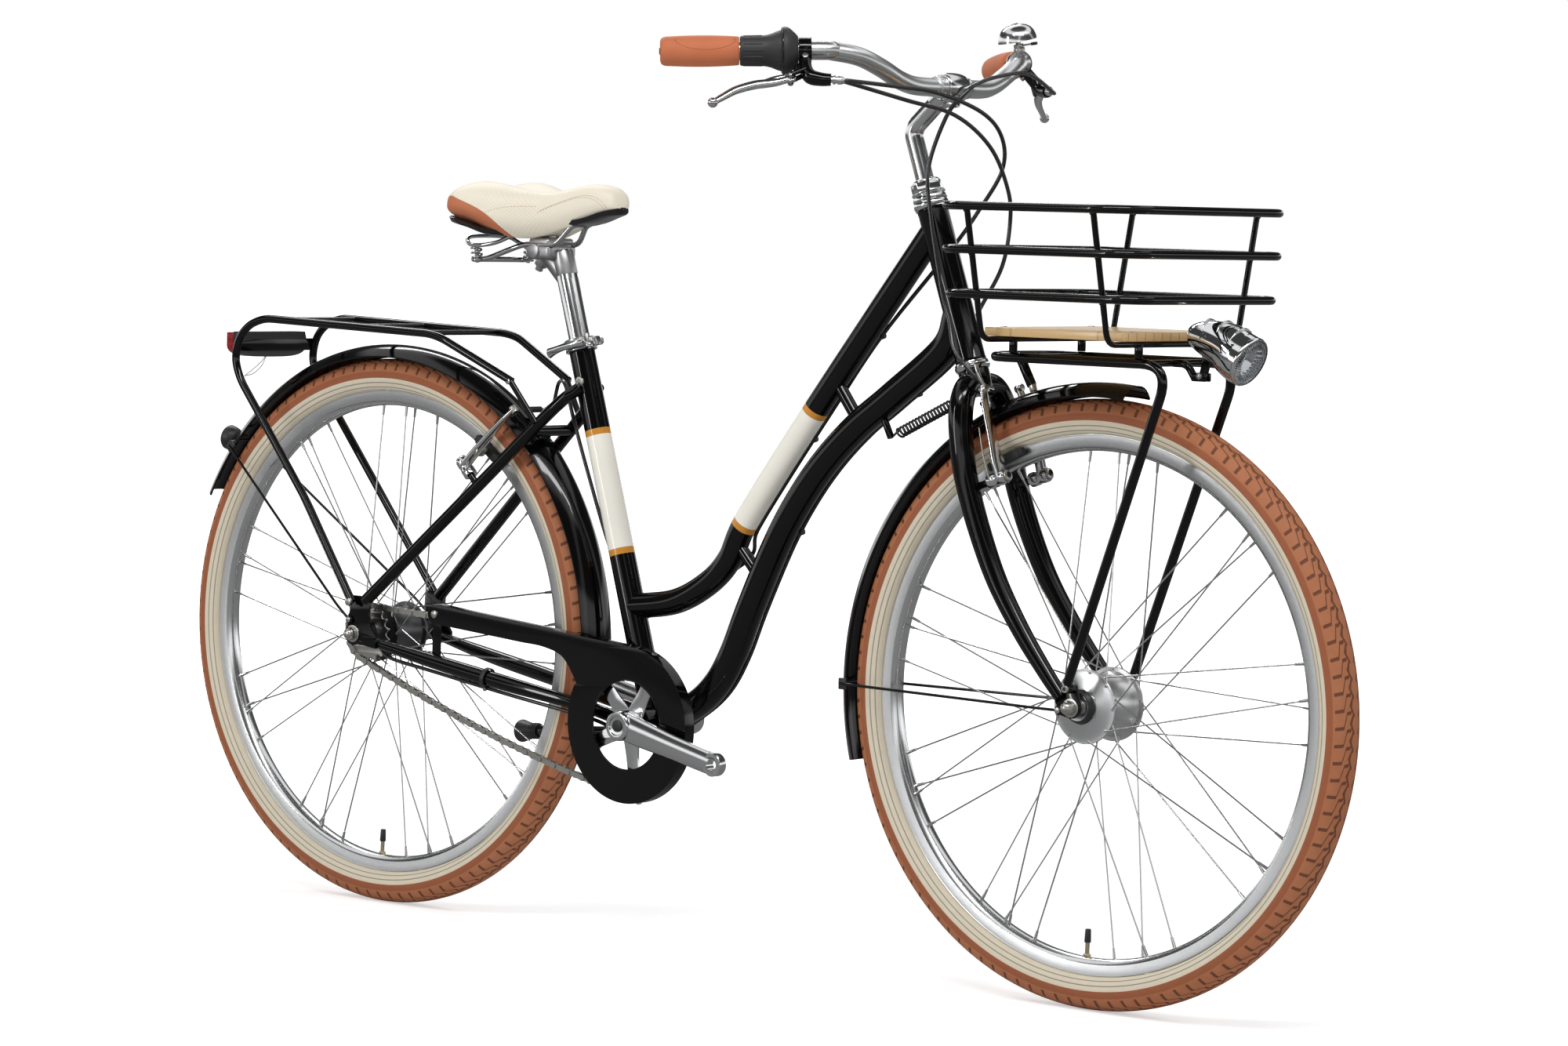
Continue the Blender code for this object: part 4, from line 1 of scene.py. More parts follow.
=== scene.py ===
"""City bike with a curved low-step frame, a front carrier with its basket, and a rear carrier.

Metres, +X forward, +Y to the rider's left, +Z up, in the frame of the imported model.
"""
from math import asin, atan2, copysign, cos, degrees, exp, pi, radians, sin, tau

import bmesh
import bpy
from mathutils import Matrix, Vector


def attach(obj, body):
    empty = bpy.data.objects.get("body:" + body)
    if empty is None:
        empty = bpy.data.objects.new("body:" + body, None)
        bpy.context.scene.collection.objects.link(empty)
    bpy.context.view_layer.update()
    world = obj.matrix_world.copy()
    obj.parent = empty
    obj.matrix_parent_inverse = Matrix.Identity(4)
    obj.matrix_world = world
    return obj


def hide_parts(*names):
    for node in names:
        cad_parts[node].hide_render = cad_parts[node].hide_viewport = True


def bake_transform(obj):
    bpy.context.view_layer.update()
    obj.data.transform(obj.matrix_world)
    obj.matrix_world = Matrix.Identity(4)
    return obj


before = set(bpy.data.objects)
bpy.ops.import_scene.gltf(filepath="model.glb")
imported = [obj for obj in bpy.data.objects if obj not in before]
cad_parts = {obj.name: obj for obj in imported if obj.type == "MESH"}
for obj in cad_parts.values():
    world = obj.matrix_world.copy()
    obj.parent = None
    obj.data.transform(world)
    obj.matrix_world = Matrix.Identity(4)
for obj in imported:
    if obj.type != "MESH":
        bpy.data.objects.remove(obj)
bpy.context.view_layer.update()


# The camera stands off the bike's right front, a little above the axles, with a long lens.
# Its place and turn come from the axles, the bar clamp and the frame tubes in the photograph.
bpy.ops.object.camera_add(location=(4.00955, -4.67038, 0.93876), rotation=(1.505655, -0.025449, 0.699814))
camera = bpy.context.object
camera.name = "photograph_view"
camera.data.sensor_width = 36
camera.data.lens = 114.25
bpy.context.scene.camera = camera
bpy.context.scene.view_settings.view_transform = "Standard"


# The studio is a white floor with a white surround and three long soft lamps. The floor is lit
# like the bike and lifted to white where the camera looks at it, so that it keeps the shadow.
class Value:
    """A number that varies over a surface, so that masks are written as plain sums."""

    def __init__(self, tree, socket):
        self.tree = tree
        self.socket = socket

    def apply(self, operation, *operands):
        maths = self.tree.nodes.new("ShaderNodeMath")
        maths.operation = operation
        for slot, operand in zip(maths.inputs, operands):
            if isinstance(operand, Value):
                self.tree.links.new(operand.socket, slot)
            else:
                slot.default_value = operand
        return Value(self.tree, maths.outputs[0])

    def __add__(self, other):
        return self.apply("ADD", self, other)

    def __sub__(self, other):
        return self.apply("SUBTRACT", self, other)

    def __rsub__(self, other):
        return self.apply("SUBTRACT", other, self)

    def __mul__(self, other):
        return self.apply("MULTIPLY", self, other)

    def __truediv__(self, other):
        return self.apply("DIVIDE", self, other)

    def __pow__(self, other):
        return self.apply("POWER", self, other)

    __radd__ = __add__
    __rmul__ = __mul__

    def past(self, edge, soft):
        """0 below the edge and 1 above it, with a soft step between."""
        return ((self - edge) / soft + 0.5).clamped()

    def clamped(self):
        return self.apply("MINIMUM", self.apply("MAXIMUM", self, 0), 1)

    def within(self, low, high, soft):
        """1 between two edges and 0 outside them."""
        return self.past(low, soft) * (1 - self.past(high, soft))


class Finish:
    """A surface finish, built up node by node on one shader."""

    def __init__(self, name, roughness=0.5, metallic=0, **constants):
        self.material = bpy.data.materials.new(name)
        self.material.use_nodes = True
        self.tree = self.material.node_tree
        self.shader = self.tree.nodes["Principled BSDF"]
        self.set(Roughness=roughness, Metallic=metallic, **constants)

    def set(self, **sockets):
        for name, value in sockets.items():
            self.feed(self.shader.inputs[name.replace("_", " ")], value)
        return self

    def feed(self, slot, value):
        if isinstance(value, Value):
            self.tree.links.new(value.socket, slot)
        elif isinstance(value, bpy.types.NodeSocket):
            self.tree.links.new(value, slot)
        elif slot.type == "RGBA" and len(value) == 3:
            slot.default_value = (*value, 1)
        else:
            slot.default_value = value

    def node(self, kind, settings=None, inputs=None):
        made = self.tree.nodes.new(kind)
        for name, value in (settings or {}).items():
            setattr(made, name, value)
        for name, value in (inputs or {}).items():
            self.feed(made.inputs[name], value)
        return made

    def place(self, centre=(0, 0, 0), turn=(0, 0, 0), stretch=(1, 1, 1)):
        """Object coordinates seen from a centre, turned and stretched."""
        base = self.node("ShaderNodeTexCoord").outputs["Object"]
        moved = self.node("ShaderNodeVectorMath", {"operation": "SUBTRACT"},
                          {0: base, 1: tuple(centre)}).outputs[0]
        return self.node("ShaderNodeMapping", None,
                         {"Vector": moved, "Rotation": turn, "Scale": stretch}).outputs[0]

    def axes(self, place):
        split = self.node("ShaderNodeSeparateXYZ", None, {0: place})
        return [Value(self.tree, socket) for socket in split.outputs]

    def noise(self, place, scale, detail=3, rough=0.5):
        made = self.node("ShaderNodeTexNoise", None, {"Vector": place, "Scale": scale, "Detail": detail,
                                                      "Roughness": rough})
        return Value(self.tree, made.outputs[0])

    def cells(self, place, scale):
        made = self.node("ShaderNodeTexVoronoi", None, {"Vector": place, "Scale": scale})
        return Value(self.tree, made.outputs["Distance"])

    def mix(self, share, first, second):
        made = self.node("ShaderNodeMix", {"data_type": "RGBA"}, {0: share, 6: first, 7: second})
        return made.outputs[2]

    def bump(self, height, depth, strength=1):
        made = self.node("ShaderNodeBump", None, {"Height": height, "Distance": depth, "Strength": strength})
        return self.set(Normal=made.outputs[0])


bpy.ops.object.select_all(action="DESELECT")
bpy.ops.mesh.primitive_plane_add(size=60, location=(0, 0, 0))
floor = bpy.context.object
floor.name = "studio_floor"
floor_white = Finish("floor_white", roughness=0.9, Base_Color=(0.8, 0.8, 0.8), Specular_IOR_Level=0)
seen = floor_white.node("ShaderNodeLightPath")
direct = Value(floor_white.tree, seen.outputs["Is Camera Ray"])
mirrored = Value(floor_white.tree, seen.outputs["Is Glossy Ray"])
spot_x, spot_y, _ = floor_white.axes(floor_white.place())
distance = (spot_x ** 2 + spot_y ** 2) ** 0.5
lift = direct * (0.48 + 0.52 * distance.past(2.2, 1.6)) + mirrored * 0.03
floor_white.set(Base_Color=floor_white.mix(mirrored, (0.8, 0.8, 0.8), (0.22, 0.22, 0.22)))
floor_white.set(Emission_Color=floor_white.mix(lift, (0, 0, 0), (1, 1, 1)), Emission_Strength=1)
floor.data.materials.append(floor_white.material)

world = bpy.data.worlds.new("studio_surround")
world.use_nodes = True
bpy.context.scene.world = world
surround = world.node_tree
glow = surround.nodes["Background"]
rays = surround.nodes.new("ShaderNodeLightPath")
heading = surround.nodes.new("ShaderNodeTexCoord")
split = surround.nodes.new("ShaderNodeSeparateXYZ")
surround.links.new(heading.outputs["Generated"], split.inputs[0])
across = Value(surround, split.outputs[0])
height = Value(surround, split.outputs[2])
camera_ray = Value(surround, rays.outputs["Is Camera Ray"])
glossy_ray = Value(surround, rays.outputs["Is Glossy Ray"])
clear_ray = Value(surround, rays.outputs["Is Transmission Ray"])
panels = height.within(0.02, 0.2, 0.05) + 0.8 * height.within(0.62, 0.86, 0.05)
panels += 0.5 * height.within(-0.34, -0.22, 0.05)
mirror_level = 0.055 + 1.1 * panels + 0.5 * across.within(0.6, 0.72, 0.04)
plain_level = 0.47
looked_at = (camera_ray + clear_ray).clamped()
level = looked_at + (1 - looked_at) * (glossy_ray * mirror_level + (1 - glossy_ray) * plain_level)
surround.links.new(level.socket, glow.inputs["Strength"])
glow.inputs["Color"].default_value = (1, 1, 1, 1)

for name, spot, size, power in (("lamp_over_front", (1.6, -1.6, 3.4), (3, 0.4), 62),
                                ("lamp_over_back", (-2.4, 1.6, 3.2), (2.6, 0.4), 38),
                                ("lamp_low_side", (-1.8, -4.2, 1.8), (0.3, 2.4), 36)):
    bpy.ops.object.light_add(type="AREA", location=spot)
    lamp = bpy.context.object
    lamp.name = name
    lamp.data.shape = "RECTANGLE"
    lamp.data.size, lamp.data.size_y = size
    lamp.data.energy = power
    lamp.rotation_euler = (Vector((0, 0, 0.5)) - Vector(spot)).to_track_quat("-Z", "Y").to_euler()


# Upper frame: a head tube, two bent main tubes and two short struts of steel, mitred and
# brazed into one, then painted gloss black. The upper tube has a cream band between two rings.
WHEELBASE = 1.155
TYRE_RADIUS = 0.358
HEAD_ANGLE = radians(70.2)
SEAT_ANGLE = radians(73.2)
REAR_HUB = Vector((-WHEELBASE / 2, 0, TYRE_RADIUS))
FRONT_HUB = Vector((WHEELBASE / 2, 0, TYRE_RADIUS))
BRACKET = REAR_HUB + Vector((0.4655, 0, -0.0805))
STEER_UP = Vector((-cos(HEAD_ANGLE), 0, sin(HEAD_ANGLE)))
STEER_AHEAD = Vector((sin(HEAD_ANGLE), 0, cos(HEAD_ANGLE)))
STEER_FOOT = FRONT_HUB - 0.058 * STEER_AHEAD
HEAD_LOW, HEAD_TOP = 0.437, 0.629
SEAT_TUBE_TOP = 0.496
SEAT_UP = Vector((-cos(SEAT_ANGLE), 0, sin(SEAT_ANGLE)))
SEAT_AHEAD = Vector((sin(SEAT_ANGLE), 0, cos(SEAT_ANGLE)))
LEFT = Vector((0, 1, 0))
UP = Vector((0, 0, 1))
AHEAD = Vector((1, 0, 0))
GAP = 0.0003


def rear(x, z, y=0):
    """A point given from the rear axle's middle."""
    return REAR_HUB + Vector((x, y, z))


def front(x, z, y=0):
    """A point given from the front axle's middle."""
    return FRONT_HUB + Vector((x, y, z))


def steer(along, ahead, side=0):
    """A point along and ahead of the steering axis."""
    return STEER_FOOT + along * STEER_UP + ahead * STEER_AHEAD + side * LEFT


def seat(along, ahead=0, side=0):
    """A point along the seat tube from the bottom bracket."""
    return BRACKET + along * SEAT_UP + ahead * SEAT_AHEAD + side * LEFT


def smooth_path(points, steps):
    """Points on a smooth curve through the given ones."""
    ends = [2 * points[0] - points[1]] + list(points) + [2 * points[-1] - points[-2]]
    path = []
    for i in range(len(points) - 1):
        a, b, c, d = ends[i:i + 4]
        for k in range(steps):
            t = k / steps
            path.append(0.5 * (2 * b + (c - a) * t + (2 * a - 5 * b + 4 * c - d) * t ** 2
                               + (3 * b - a - 3 * c + d) * t ** 3))
    return path + [points[-1].copy()]


def arc(centre, radius, start, end, steps):
    """Points of a circular arc, angles in degrees."""
    angles = [radians(start + (end - start) * k / steps) for k in range(steps + 1)]
    return [(centre[0] + radius * cos(a), centre[1] + radius * sin(a)) for a in angles]


def side_arc(middle, *shape):
    """An arc seen from the side, round a point of the bike."""
    return arc((middle.x, middle.z), *shape)


def hole(middle, radius, steps):
    """The outline of a round hole in a side plate."""
    return side_arc(middle, radius, 360, 0, steps)[:-1]


def pointer(angle, length=1):
    """A vector in the bike's middle plane, by its angle above straight ahead."""
    return length * Vector((cos(angle), 0, sin(angle)))


def flipped(points):
    """The points on the bike's other side."""
    return [Vector((point.x, -point.y, point.z)) for point in points]


def pick(*pieces):
    bpy.ops.object.select_all(action="DESELECT")
    for piece in pieces:
        piece.select_set(True)
    bpy.context.view_layer.objects.active = pieces[0]


def linked(data):
    """A new object in the scene that holds the data."""
    piece = bpy.data.objects.new(data.name, data)
    bpy.context.scene.collection.objects.link(piece)
    return piece


def fixed(piece, finish):
    """Makes a curve or primitive a mesh that holds its own place, with its modifiers applied."""
    pick(piece)
    bpy.ops.object.convert(target="MESH")
    piece = bpy.context.object
    bpy.ops.object.transform_apply(location=True, rotation=True, scale=True)
    piece.data.materials.clear()
    piece.data.materials.append(finish.material)
    return piece


def welded(piece, spin=None):
    """Spins a mesh's profile where asked, and joins the points that lie on each other."""
    pick(piece)
    bpy.ops.object.mode_set(mode="EDIT")
    bpy.ops.mesh.select_all(action="SELECT")
    if spin:
        bpy.ops.mesh.spin(**spin)
        bpy.ops.mesh.select_all(action="SELECT")
    bpy.ops.mesh.remove_doubles(threshold=0.000005)
    if spin:
        bpy.ops.mesh.normals_make_consistent(inside=False)
    bpy.ops.object.mode_set(mode="OBJECT")
    return piece


def softened(piece, width, segments=2, angle=35):
    """Rounds a piece's sharp edges."""
    if width:
        pick(piece)
        edge = piece.modifiers.new("edge", "BEVEL")
        edge.width = width
        edge.segments = segments
        edge.limit_method = "ANGLE"
        edge.angle_limit = radians(angle)
        edge.harden_normals = False
        bpy.ops.object.modifier_apply(modifier=edge.name)
    return piece


def add_run(curve, points, radii, closed):
    """Draws one line of a curve through the points."""
    run = curve.splines.new("POLY")
    run.points.add(len(points) - 1)
    for knot, point, radius in zip(run.points, points, radii):
        knot.co = (*point, 1)
        knot.radius = radius
    run.use_cyclic_u = closed


def tube(points, radius, finish, sides=24, closed=False):
    """A round tube along the points, with one radius or one for each point."""
    radii = radius if isinstance(radius, (list, tuple)) else [radius] * len(points)
    curve = bpy.data.curves.new("tube", "CURVE")
    curve.dimensions = "3D"
    curve.bevel_depth = max(radii)
    curve.bevel_resolution = sides // 2 - 2
    curve.use_fill_caps = not closed
    add_run(curve, points, [size / max(radii) for size in radii], closed)
    return welded(fixed(linked(curve), finish))


def bent_tube(knots, finish, steps=8, sides=24, radius=None):
    """A tube on a smooth curve; each knot is a point, or a point with its own radius."""
    if radius is None:
        spots = smooth_path([Vector((*point, size)) for point, size in knots], steps)
        return tube([spot.xyz for spot in spots], [spot.w for spot in spots], finish, sides)
    return tube(smooth_path(knots, steps), radius, finish, sides)


def rod(start, end, radius, finish, sides=32, end_radius=None, edge=0):
    """A straight bar between two points, tapered where the end radius differs."""
    along = end - start
    bpy.ops.object.select_all(action="DESELECT")
    bpy.ops.mesh.primitive_cone_add(vertices=sides, radius1=radius, depth=along.length,
                                    radius2=radius if end_radius is None else end_radius,
                                    location=(start + end) / 2,
                                    rotation=along.to_track_quat("Z", "Y").to_euler())
    return softened(fixed(bpy.context.object, finish), edge)


def pin(spot, along, near, far, *shape, **edge):
    """A straight bar along a direction, by its ends' distances from a spot."""
    return rod(spot + near * along, spot + far * along, *shape, **edge)


def block(centre, size, finish, turn=(0, 0, 0), edge=0.001, segments=3):
    """A box with rounded edges."""
    bpy.ops.object.select_all(action="DESELECT")
    bpy.ops.mesh.primitive_cube_add(size=1, location=centre, rotation=turn, scale=size)
    return softened(fixed(bpy.context.object, finish), edge, segments)


def profile_mesh(corners, closed=False):
    """A mesh of one line through the corners, to be spun."""
    data = bpy.data.meshes.new("profile")
    edges = [(i, i + 1) for i in range(len(corners) - 1)]
    data.from_pydata(corners, edges + [(len(corners) - 1, 0)] * closed, [])
    return linked(data)


def turned(profile, origin, axis, finish, steps=64, edge=0):
    """A turned piece: a profile of (radius, height), spun round the axis in edit mode."""
    axis = axis.normalized()
    side = axis.orthogonal().normalized()
    corners = [origin + r * side + h * axis for r, h in profile]
    line = profile_mesh(corners, profile[0][0] > 0 and profile[-1][0] > 0)
    piece = welded(line, {"steps": steps, "angle": tau, "center": origin, "axis": axis})
    return softened(fixed(piece, finish), edge)


def side_plate(outline, thickness, y, finish, holes=(), edge=0.0006):
    """A flat plate in the bike's middle direction; outline points are (x, z)."""
    curve = bpy.data.curves.new("plate", "CURVE")
    curve.dimensions = "2D"
    curve.fill_mode = "BOTH"
    curve.extrude = thickness / 2
    for loop in (outline, *holes):
        add_run(curve, [(x, z, 0) for x, z in loop], [1] * len(loop), True)
    piece = linked(curve)
    piece.location = (0, y, 0)
    piece.rotation_euler = (pi / 2, 0, 0)
    return softened(welded(fixed(piece, finish)), edge, 2, 50)


def carve(piece, *tools, operation="DIFFERENCE"):
    """Cuts the tools out of a piece, or joins them to it, and removes them."""
    for tool in tools:
        pick(piece)
        cut = piece.modifiers.new("cut", "BOOLEAN")
        cut.operation = operation
        cut.solver = "EXACT"
        cut.object = tool
        bpy.ops.object.modifier_apply(modifier=cut.name)
        bpy.data.objects.remove(tool)
    return piece


def together(name, *pieces):
    """One piece of several that are welded or screwed together."""
    pick(*pieces)
    if len(pieces) > 1:
        bpy.ops.object.join()
    piece = bpy.context.object
    piece.name = name
    piece.data.name = name
    return piece


def smoothed(piece, angle):
    pick(piece)
    bpy.ops.object.shade_smooth_by_angle(angle=radians(angle))


def fitted(name, body, *pieces, nodes=None, angle=38):
    """Joins the pieces, smooths their round faces and hangs them on a body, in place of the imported
    nodes: the one of the same name, where none are given."""
    piece = together(name, *pieces)
    smoothed(piece, angle)
    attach(piece, body)
    if nodes != ():
        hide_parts(*(nodes or [name]))
    return piece


def gloss_paint(name, colour=(0.0014, 0.0014, 0.0015)):
    """Deep gloss paint with a slight orange peel and a thin clear coat."""
    paint = Finish(name, roughness=0.25, Specular_IOR_Level=0.15, Coat_Weight=0.45, Coat_Roughness=0.015)
    place = paint.place()
    cloud = paint.noise(place, 9)
    peel = paint.noise(place, 700, 1)
    dust = paint.noise(place, 160, 4, 0.7).past(0.72, 0.12)
    lighter = tuple(min(1, 1.4 * c + 0.0006) for c in colour)
    tone = paint.mix(cloud, colour, lighter)
    paint.set(Base_Color=paint.mix(dust * 0.01, tone, (0.3, 0.3, 0.3)),
              Roughness=0.1 + 0.06 * cloud + 0.1 * dust)
    paint.bump(peel + 0.5 * cloud, 0.00005, 0.35)
    return paint


def banded_paint(name, foot, top):
    """The black paint with a cream band between two ochre rings; foot and top are its ends."""
    paint = gloss_paint(name)
    length = (Vector(top) - Vector(foot)).length
    heading = (Vector(top) - Vector(foot)) / length
    x, y, z = paint.axes(paint.place(foot))
    along = heading.x * x + heading.y * y + heading.z * z
    ring = 0.008
    band = along.within(ring, length - ring, 0.0003)
    rings = along.within(0, length, 0.0003) - band
    plain = paint.shader.inputs["Base Color"].links[0].from_socket
    mottle = paint.noise(paint.place(), 26, 4)
    cream = paint.mix(mottle, (0.88, 0.85, 0.76), (0.92, 0.89, 0.81))
    ochre = paint.mix(mottle, (0.56, 0.23, 0.03), (0.64, 0.29, 0.05))
    paint.set(Base_Color=paint.mix(rings, paint.mix(band, plain, cream), ochre))
    return paint


black = gloss_paint("gloss_black_paint")
UPPER_TUBE_HEAD = steer(0.5887, -0.0302)
UPPER_TUBE_SEAT = seat(0.1507, 0.0106)
DOWN_TUBE_HEAD = steer(0.501, 0)
UPPER_TUBE_SHAPE = [(0.2, 0.012), (0.394, 0.0242), (0.56, 0.036), (0.69, 0.0477), (0.761, 0.0615),
                    (0.833, 0.06), (0.923, 0.04)]
DOWN_TUBE_SHAPE = [(0.065, 0.015), (0.202, -0.0038), (0.288, -0.0176), (0.377, -0.0245), (0.465, -0.023),
                   (0.56, -0.013), (0.689, 0.011), (0.78, 0.031), (0.85, 0.038), (0.92, 0.029)]


def bent_run(start, end, shape):
    """Points beside the straight line from start to end, by share of the way and distance off it."""
    along = end - start
    across = Vector((-along.z, 0, along.x)).normalized()
    return [start] + [start + share * along + bulge * across for share, bulge in shape] + [end]


upper_run = [steer(0.6076, 0)] + bent_run(UPPER_TUBE_HEAD, UPPER_TUBE_SEAT,
                                          UPPER_TUBE_SHAPE)[:-1] + [seat(0.1496)]
down_run = bent_run(DOWN_TUBE_HEAD, BRACKET, DOWN_TUBE_SHAPE)
upper_tube = bent_tube(upper_run, banded_paint("banded_upper_tube_paint", rear(0.6036, 0.1734),
                                               rear(0.717, 0.326)), radius=0.016, sides=36)
fitted("upper_tube", "frame", upper_tube, nodes=["main_frame"])
head_tube = turned([(0.0165, HEAD_LOW), (0.0185, HEAD_LOW), (0.0189, 0.4375), (0.0189, 0.4405),
                    (0.0185, 0.4415), (0.0185, 0.6245), (0.0189, 0.6255), (0.0189, 0.6285),
                    (0.0185, HEAD_TOP), (0.0165, HEAD_TOP)], STEER_FOOT, STEER_UP, black, 56)
down_tube = bent_tube(down_run, black, radius=0.018, sides=36)
strut_ends = ((steer(0.4734, -0.2031), steer(0.4205, -0.186)), (rear(0.592, 0.156), rear(0.638, 0.108)))
struts = [rod(*ends, 0.008, black) for ends in strut_ends]
SPRING_LUG = steer(0.3876, -0.1447)
SPRING_LUG_ROOT = steer(0.4174, -0.1483)
spring_lug = rod(SPRING_LUG_ROOT, SPRING_LUG, 0.0045, black, 20, edge=0.0006)
fitted("head_and_down_tube", "frame", head_tube, down_tube, *struts, spring_lug, nodes=())


# Seat tube: a plain steel tube brazed into the bottom bracket shell, painted black, with a
# cream band between ochre rings and a round bolt that takes a lock in its side.
seat_paint = banded_paint("banded_seat_tube_paint", seat(0.216), seat(0.379))
seat_tube = turned([(0.0139, 0.006), (0.0165, 0.006), (0.0165, 0.4945), (0.0162, SEAT_TUBE_TOP),
                    (0.0139, SEAT_TUBE_TOP)], BRACKET, SEAT_UP, seat_paint, 56)
fitted("seat_tube", "frame", seat_tube)


# Chain stays: two drawn tubes from the bottom bracket shell to plate dropouts, with the block
# that the kickstand bolts to; all of steel, brazed and painted black.
STAY_SHAPE = [(0.022, 0.064, -0.008, 0.6), (0.13, 0.056, -0.027, 0.95), (0.25, 0.048, -0.046, 1),
              (0.35, 0.0345, -0.062, 0.82), (0.4, 0.0315, -0.0705, 0.84), (0.452, 0.0285, -0.083, 0.85)]
DROPOUT_THICKNESS = 0.005
DROPOUT_INNER = 0.0672 + GAP
DROPOUT_MIDDLE = DROPOUT_INNER + DROPOUT_THICKNESS / 2
DROPOUT_OUTER = DROPOUT_INNER + DROPOUT_THICKNESS
KICK_PLATE_TILT = radians(9.8)
KICK_PLATE = rear(0.4185, -0.0715)
KICK_PIVOT = rear(0.42, -0.101, 0.042)
KICK_AXIS = Vector((0, 0.9816, 0.1909))


def dropout_outline():
    """The dropout seen from the side: round the axle, up to the seat stay, ahead to the chain stay."""
    ring = side_arc(REAR_HUB, 0.015, 140, 300, 24)
    corners = [rear(0.04, -0.017), rear(0.04, -0.002), rear(0.029, 0.012), rear(0.026, 0.03),
               rear(0.027, 0.05), rear(-0.004, 0.05), rear(-0.008, 0.028)]
    return ring + [(p.x, p.z) for p in corners]


shell = turned([(0.017, -0.034), (0.02, -0.034), (0.02, 0.034), (0.017, 0.034)], BRACKET, LEFT, black, 56,
               edge=0.0006)
stay_parts = [shell]
for side in (1, -1):
    knots = [(rear(x, z, side * y), 0.01 * share) for x, y, z, share in STAY_SHAPE]
    stay_parts += [bent_tube(knots, black, steps=8, sides=28),
                   side_plate(dropout_outline(), DROPOUT_THICKNESS, side * DROPOUT_MIDDLE, black,
                              [hole(REAR_HUB, 0.0053, 24)], edge=0.0012)]
down = Vector((-sin(KICK_PLATE_TILT), 0, -cos(KICK_PLATE_TILT)))
stay_parts += [block(KICK_PLATE, (0.03, 0.064, 0.005), black, (0, KICK_PLATE_TILT, 0), 0.0015),
               block(KICK_PLATE + 0.016 * down, (0.026, 0.036, 0.032), black, (0, KICK_PLATE_TILT, 0), 0.005,
                     4)]
kick_inner = KICK_PIVOT - 0.0104 * KICK_AXIS
stay_parts += [pin(kick_inner, KICK_AXIS, -0.022, 0, 0.0105, black, edge=0.0008),
               rod(kick_inner - 0.004 * KICK_AXIS, KICK_PIVOT + 0.014 * KICK_AXIS, 0.0045, black, 20,
                   edge=0.0008)]
fitted("chain_stays", "frame", *stay_parts)


# Seat stays: two thin tubes from the dropouts to the top of the seat tube, a bridge across
# them over the tyre, and a stud on each for the rear brake arms.
SEAT_STAY_FOOT = rear(0.018, 0.044)
SEAT_STAY_TOP = seat(0.4345)
STAY_ALONG = (SEAT_STAY_TOP - SEAT_STAY_FOOT).normalized()
STAY_OUT = Vector((-STAY_ALONG.z, 0, STAY_ALONG.x))
REAR_STUD = rear(0.185, 0.205)
STUD_SPREAD = 0.0405
STUD_LENGTH = 0.044
STUD_RADIUS = 0.0045

stay_parts = []
for side in (1, -1):
    knots = [SEAT_STAY_FOOT.lerp(SEAT_STAY_TOP, share) + side * spread * LEFT for share,
             spread in ((0, 0.069), (0.5, 0.0485), (0.9, 0.0325), (1, 0.017))]
    stay_parts.append(bent_tube(knots, black, steps=10, radius=0.008, sides=28))
    foot = REAR_STUD + side * STUD_SPREAD * LEFT
    stay_parts.append(pin(foot, STAY_OUT, 0, STUD_LENGTH, STUD_RADIUS, black, 24, edge=0.0008))
STAY_BRIDGE = SEAT_STAY_FOOT.lerp(SEAT_STAY_TOP, 0.8)
stay_parts.append(pin(STAY_BRIDGE, LEFT, -0.036, 0.036, 0.007, black))
fitted("seat_stays", "frame", *stay_parts)


# Headset: a chromed steel cup pressed into each end of the head tube, and above them the
# bearing cone with its toothed washer and lock nut, which turn with the fork.
def bright_metal(name, colour, roughness, streak=0.5, scratch=0.00001):
    """Bare bright metal: a slight cloudiness, fine scratches and a soft uneven polish."""
    metal = Finish(name, metallic=1)
    place = metal.place()
    cloud = metal.noise(place, 14, 4)
    lines = metal.noise(metal.place(stretch=(1, 1, 0.06)), 160, 2)
    darker = tuple(0.84 * c for c in colour)
    metal.set(Base_Color=metal.mix(cloud, darker, colour), Roughness=roughness * (0.8 + 0.4 * cloud)
              + 0.06 * streak * lines)
    metal.bump(lines + metal.noise(place, 900, 1), scratch, 0.3)
    return metal


chrome = bright_metal("bright_chrome", (0.8, 0.81, 0.82), 0.07, 0.4)
cup_profile = [(0.0128, 0.01), (0.0192, 0.01), (0.0205, 0.0085), (0.0214, 0.0062), (0.0215, 0.0035),
               (0.0206, 0.0022), (0.0205, GAP), (0.016, GAP), (0.016, -0.01), (0.0135, -0.01)]
lower_cup = turned(cup_profile, steer(HEAD_LOW, 0), -STEER_UP, chrome, 64, edge=0.0004)
fitted("headset_cup_lower", "frame", lower_cup)
upper_cup = turned(cup_profile, steer(HEAD_TOP, 0), STEER_UP, chrome, 64, edge=0.0004)
fitted("headset_cup_upper", "frame", upper_cup)
cone = turned([(0.0135, 0.0103), (0.02, 0.0103), (0.0208, 0.012), (0.02, 0.0158), (0.0165, 0.0176),
               (0.0165, 0.019), (0.0205, 0.0194), (0.0205, 0.0208), (0.0135, 0.0208)], steer(HEAD_TOP, 0),
              STEER_UP, chrome, 64, edge=0.0003)
lock_nut = rod(steer(HEAD_TOP + 0.0212, 0), steer(HEAD_TOP + 0.0332, 0), 0.0196, chrome, 8, edge=0.0008)
nut_top = turned([(0.0113, 0.033), (0.0172, 0.033), (0.0165, 0.0352), (0.015, 0.0363), (0.0113, 0.0363)],
                 steer(HEAD_TOP, 0), STEER_UP, chrome, 48, edge=0.0003)
fitted("headset_lock_nut", "steering", cone, lock_nut, nut_top)


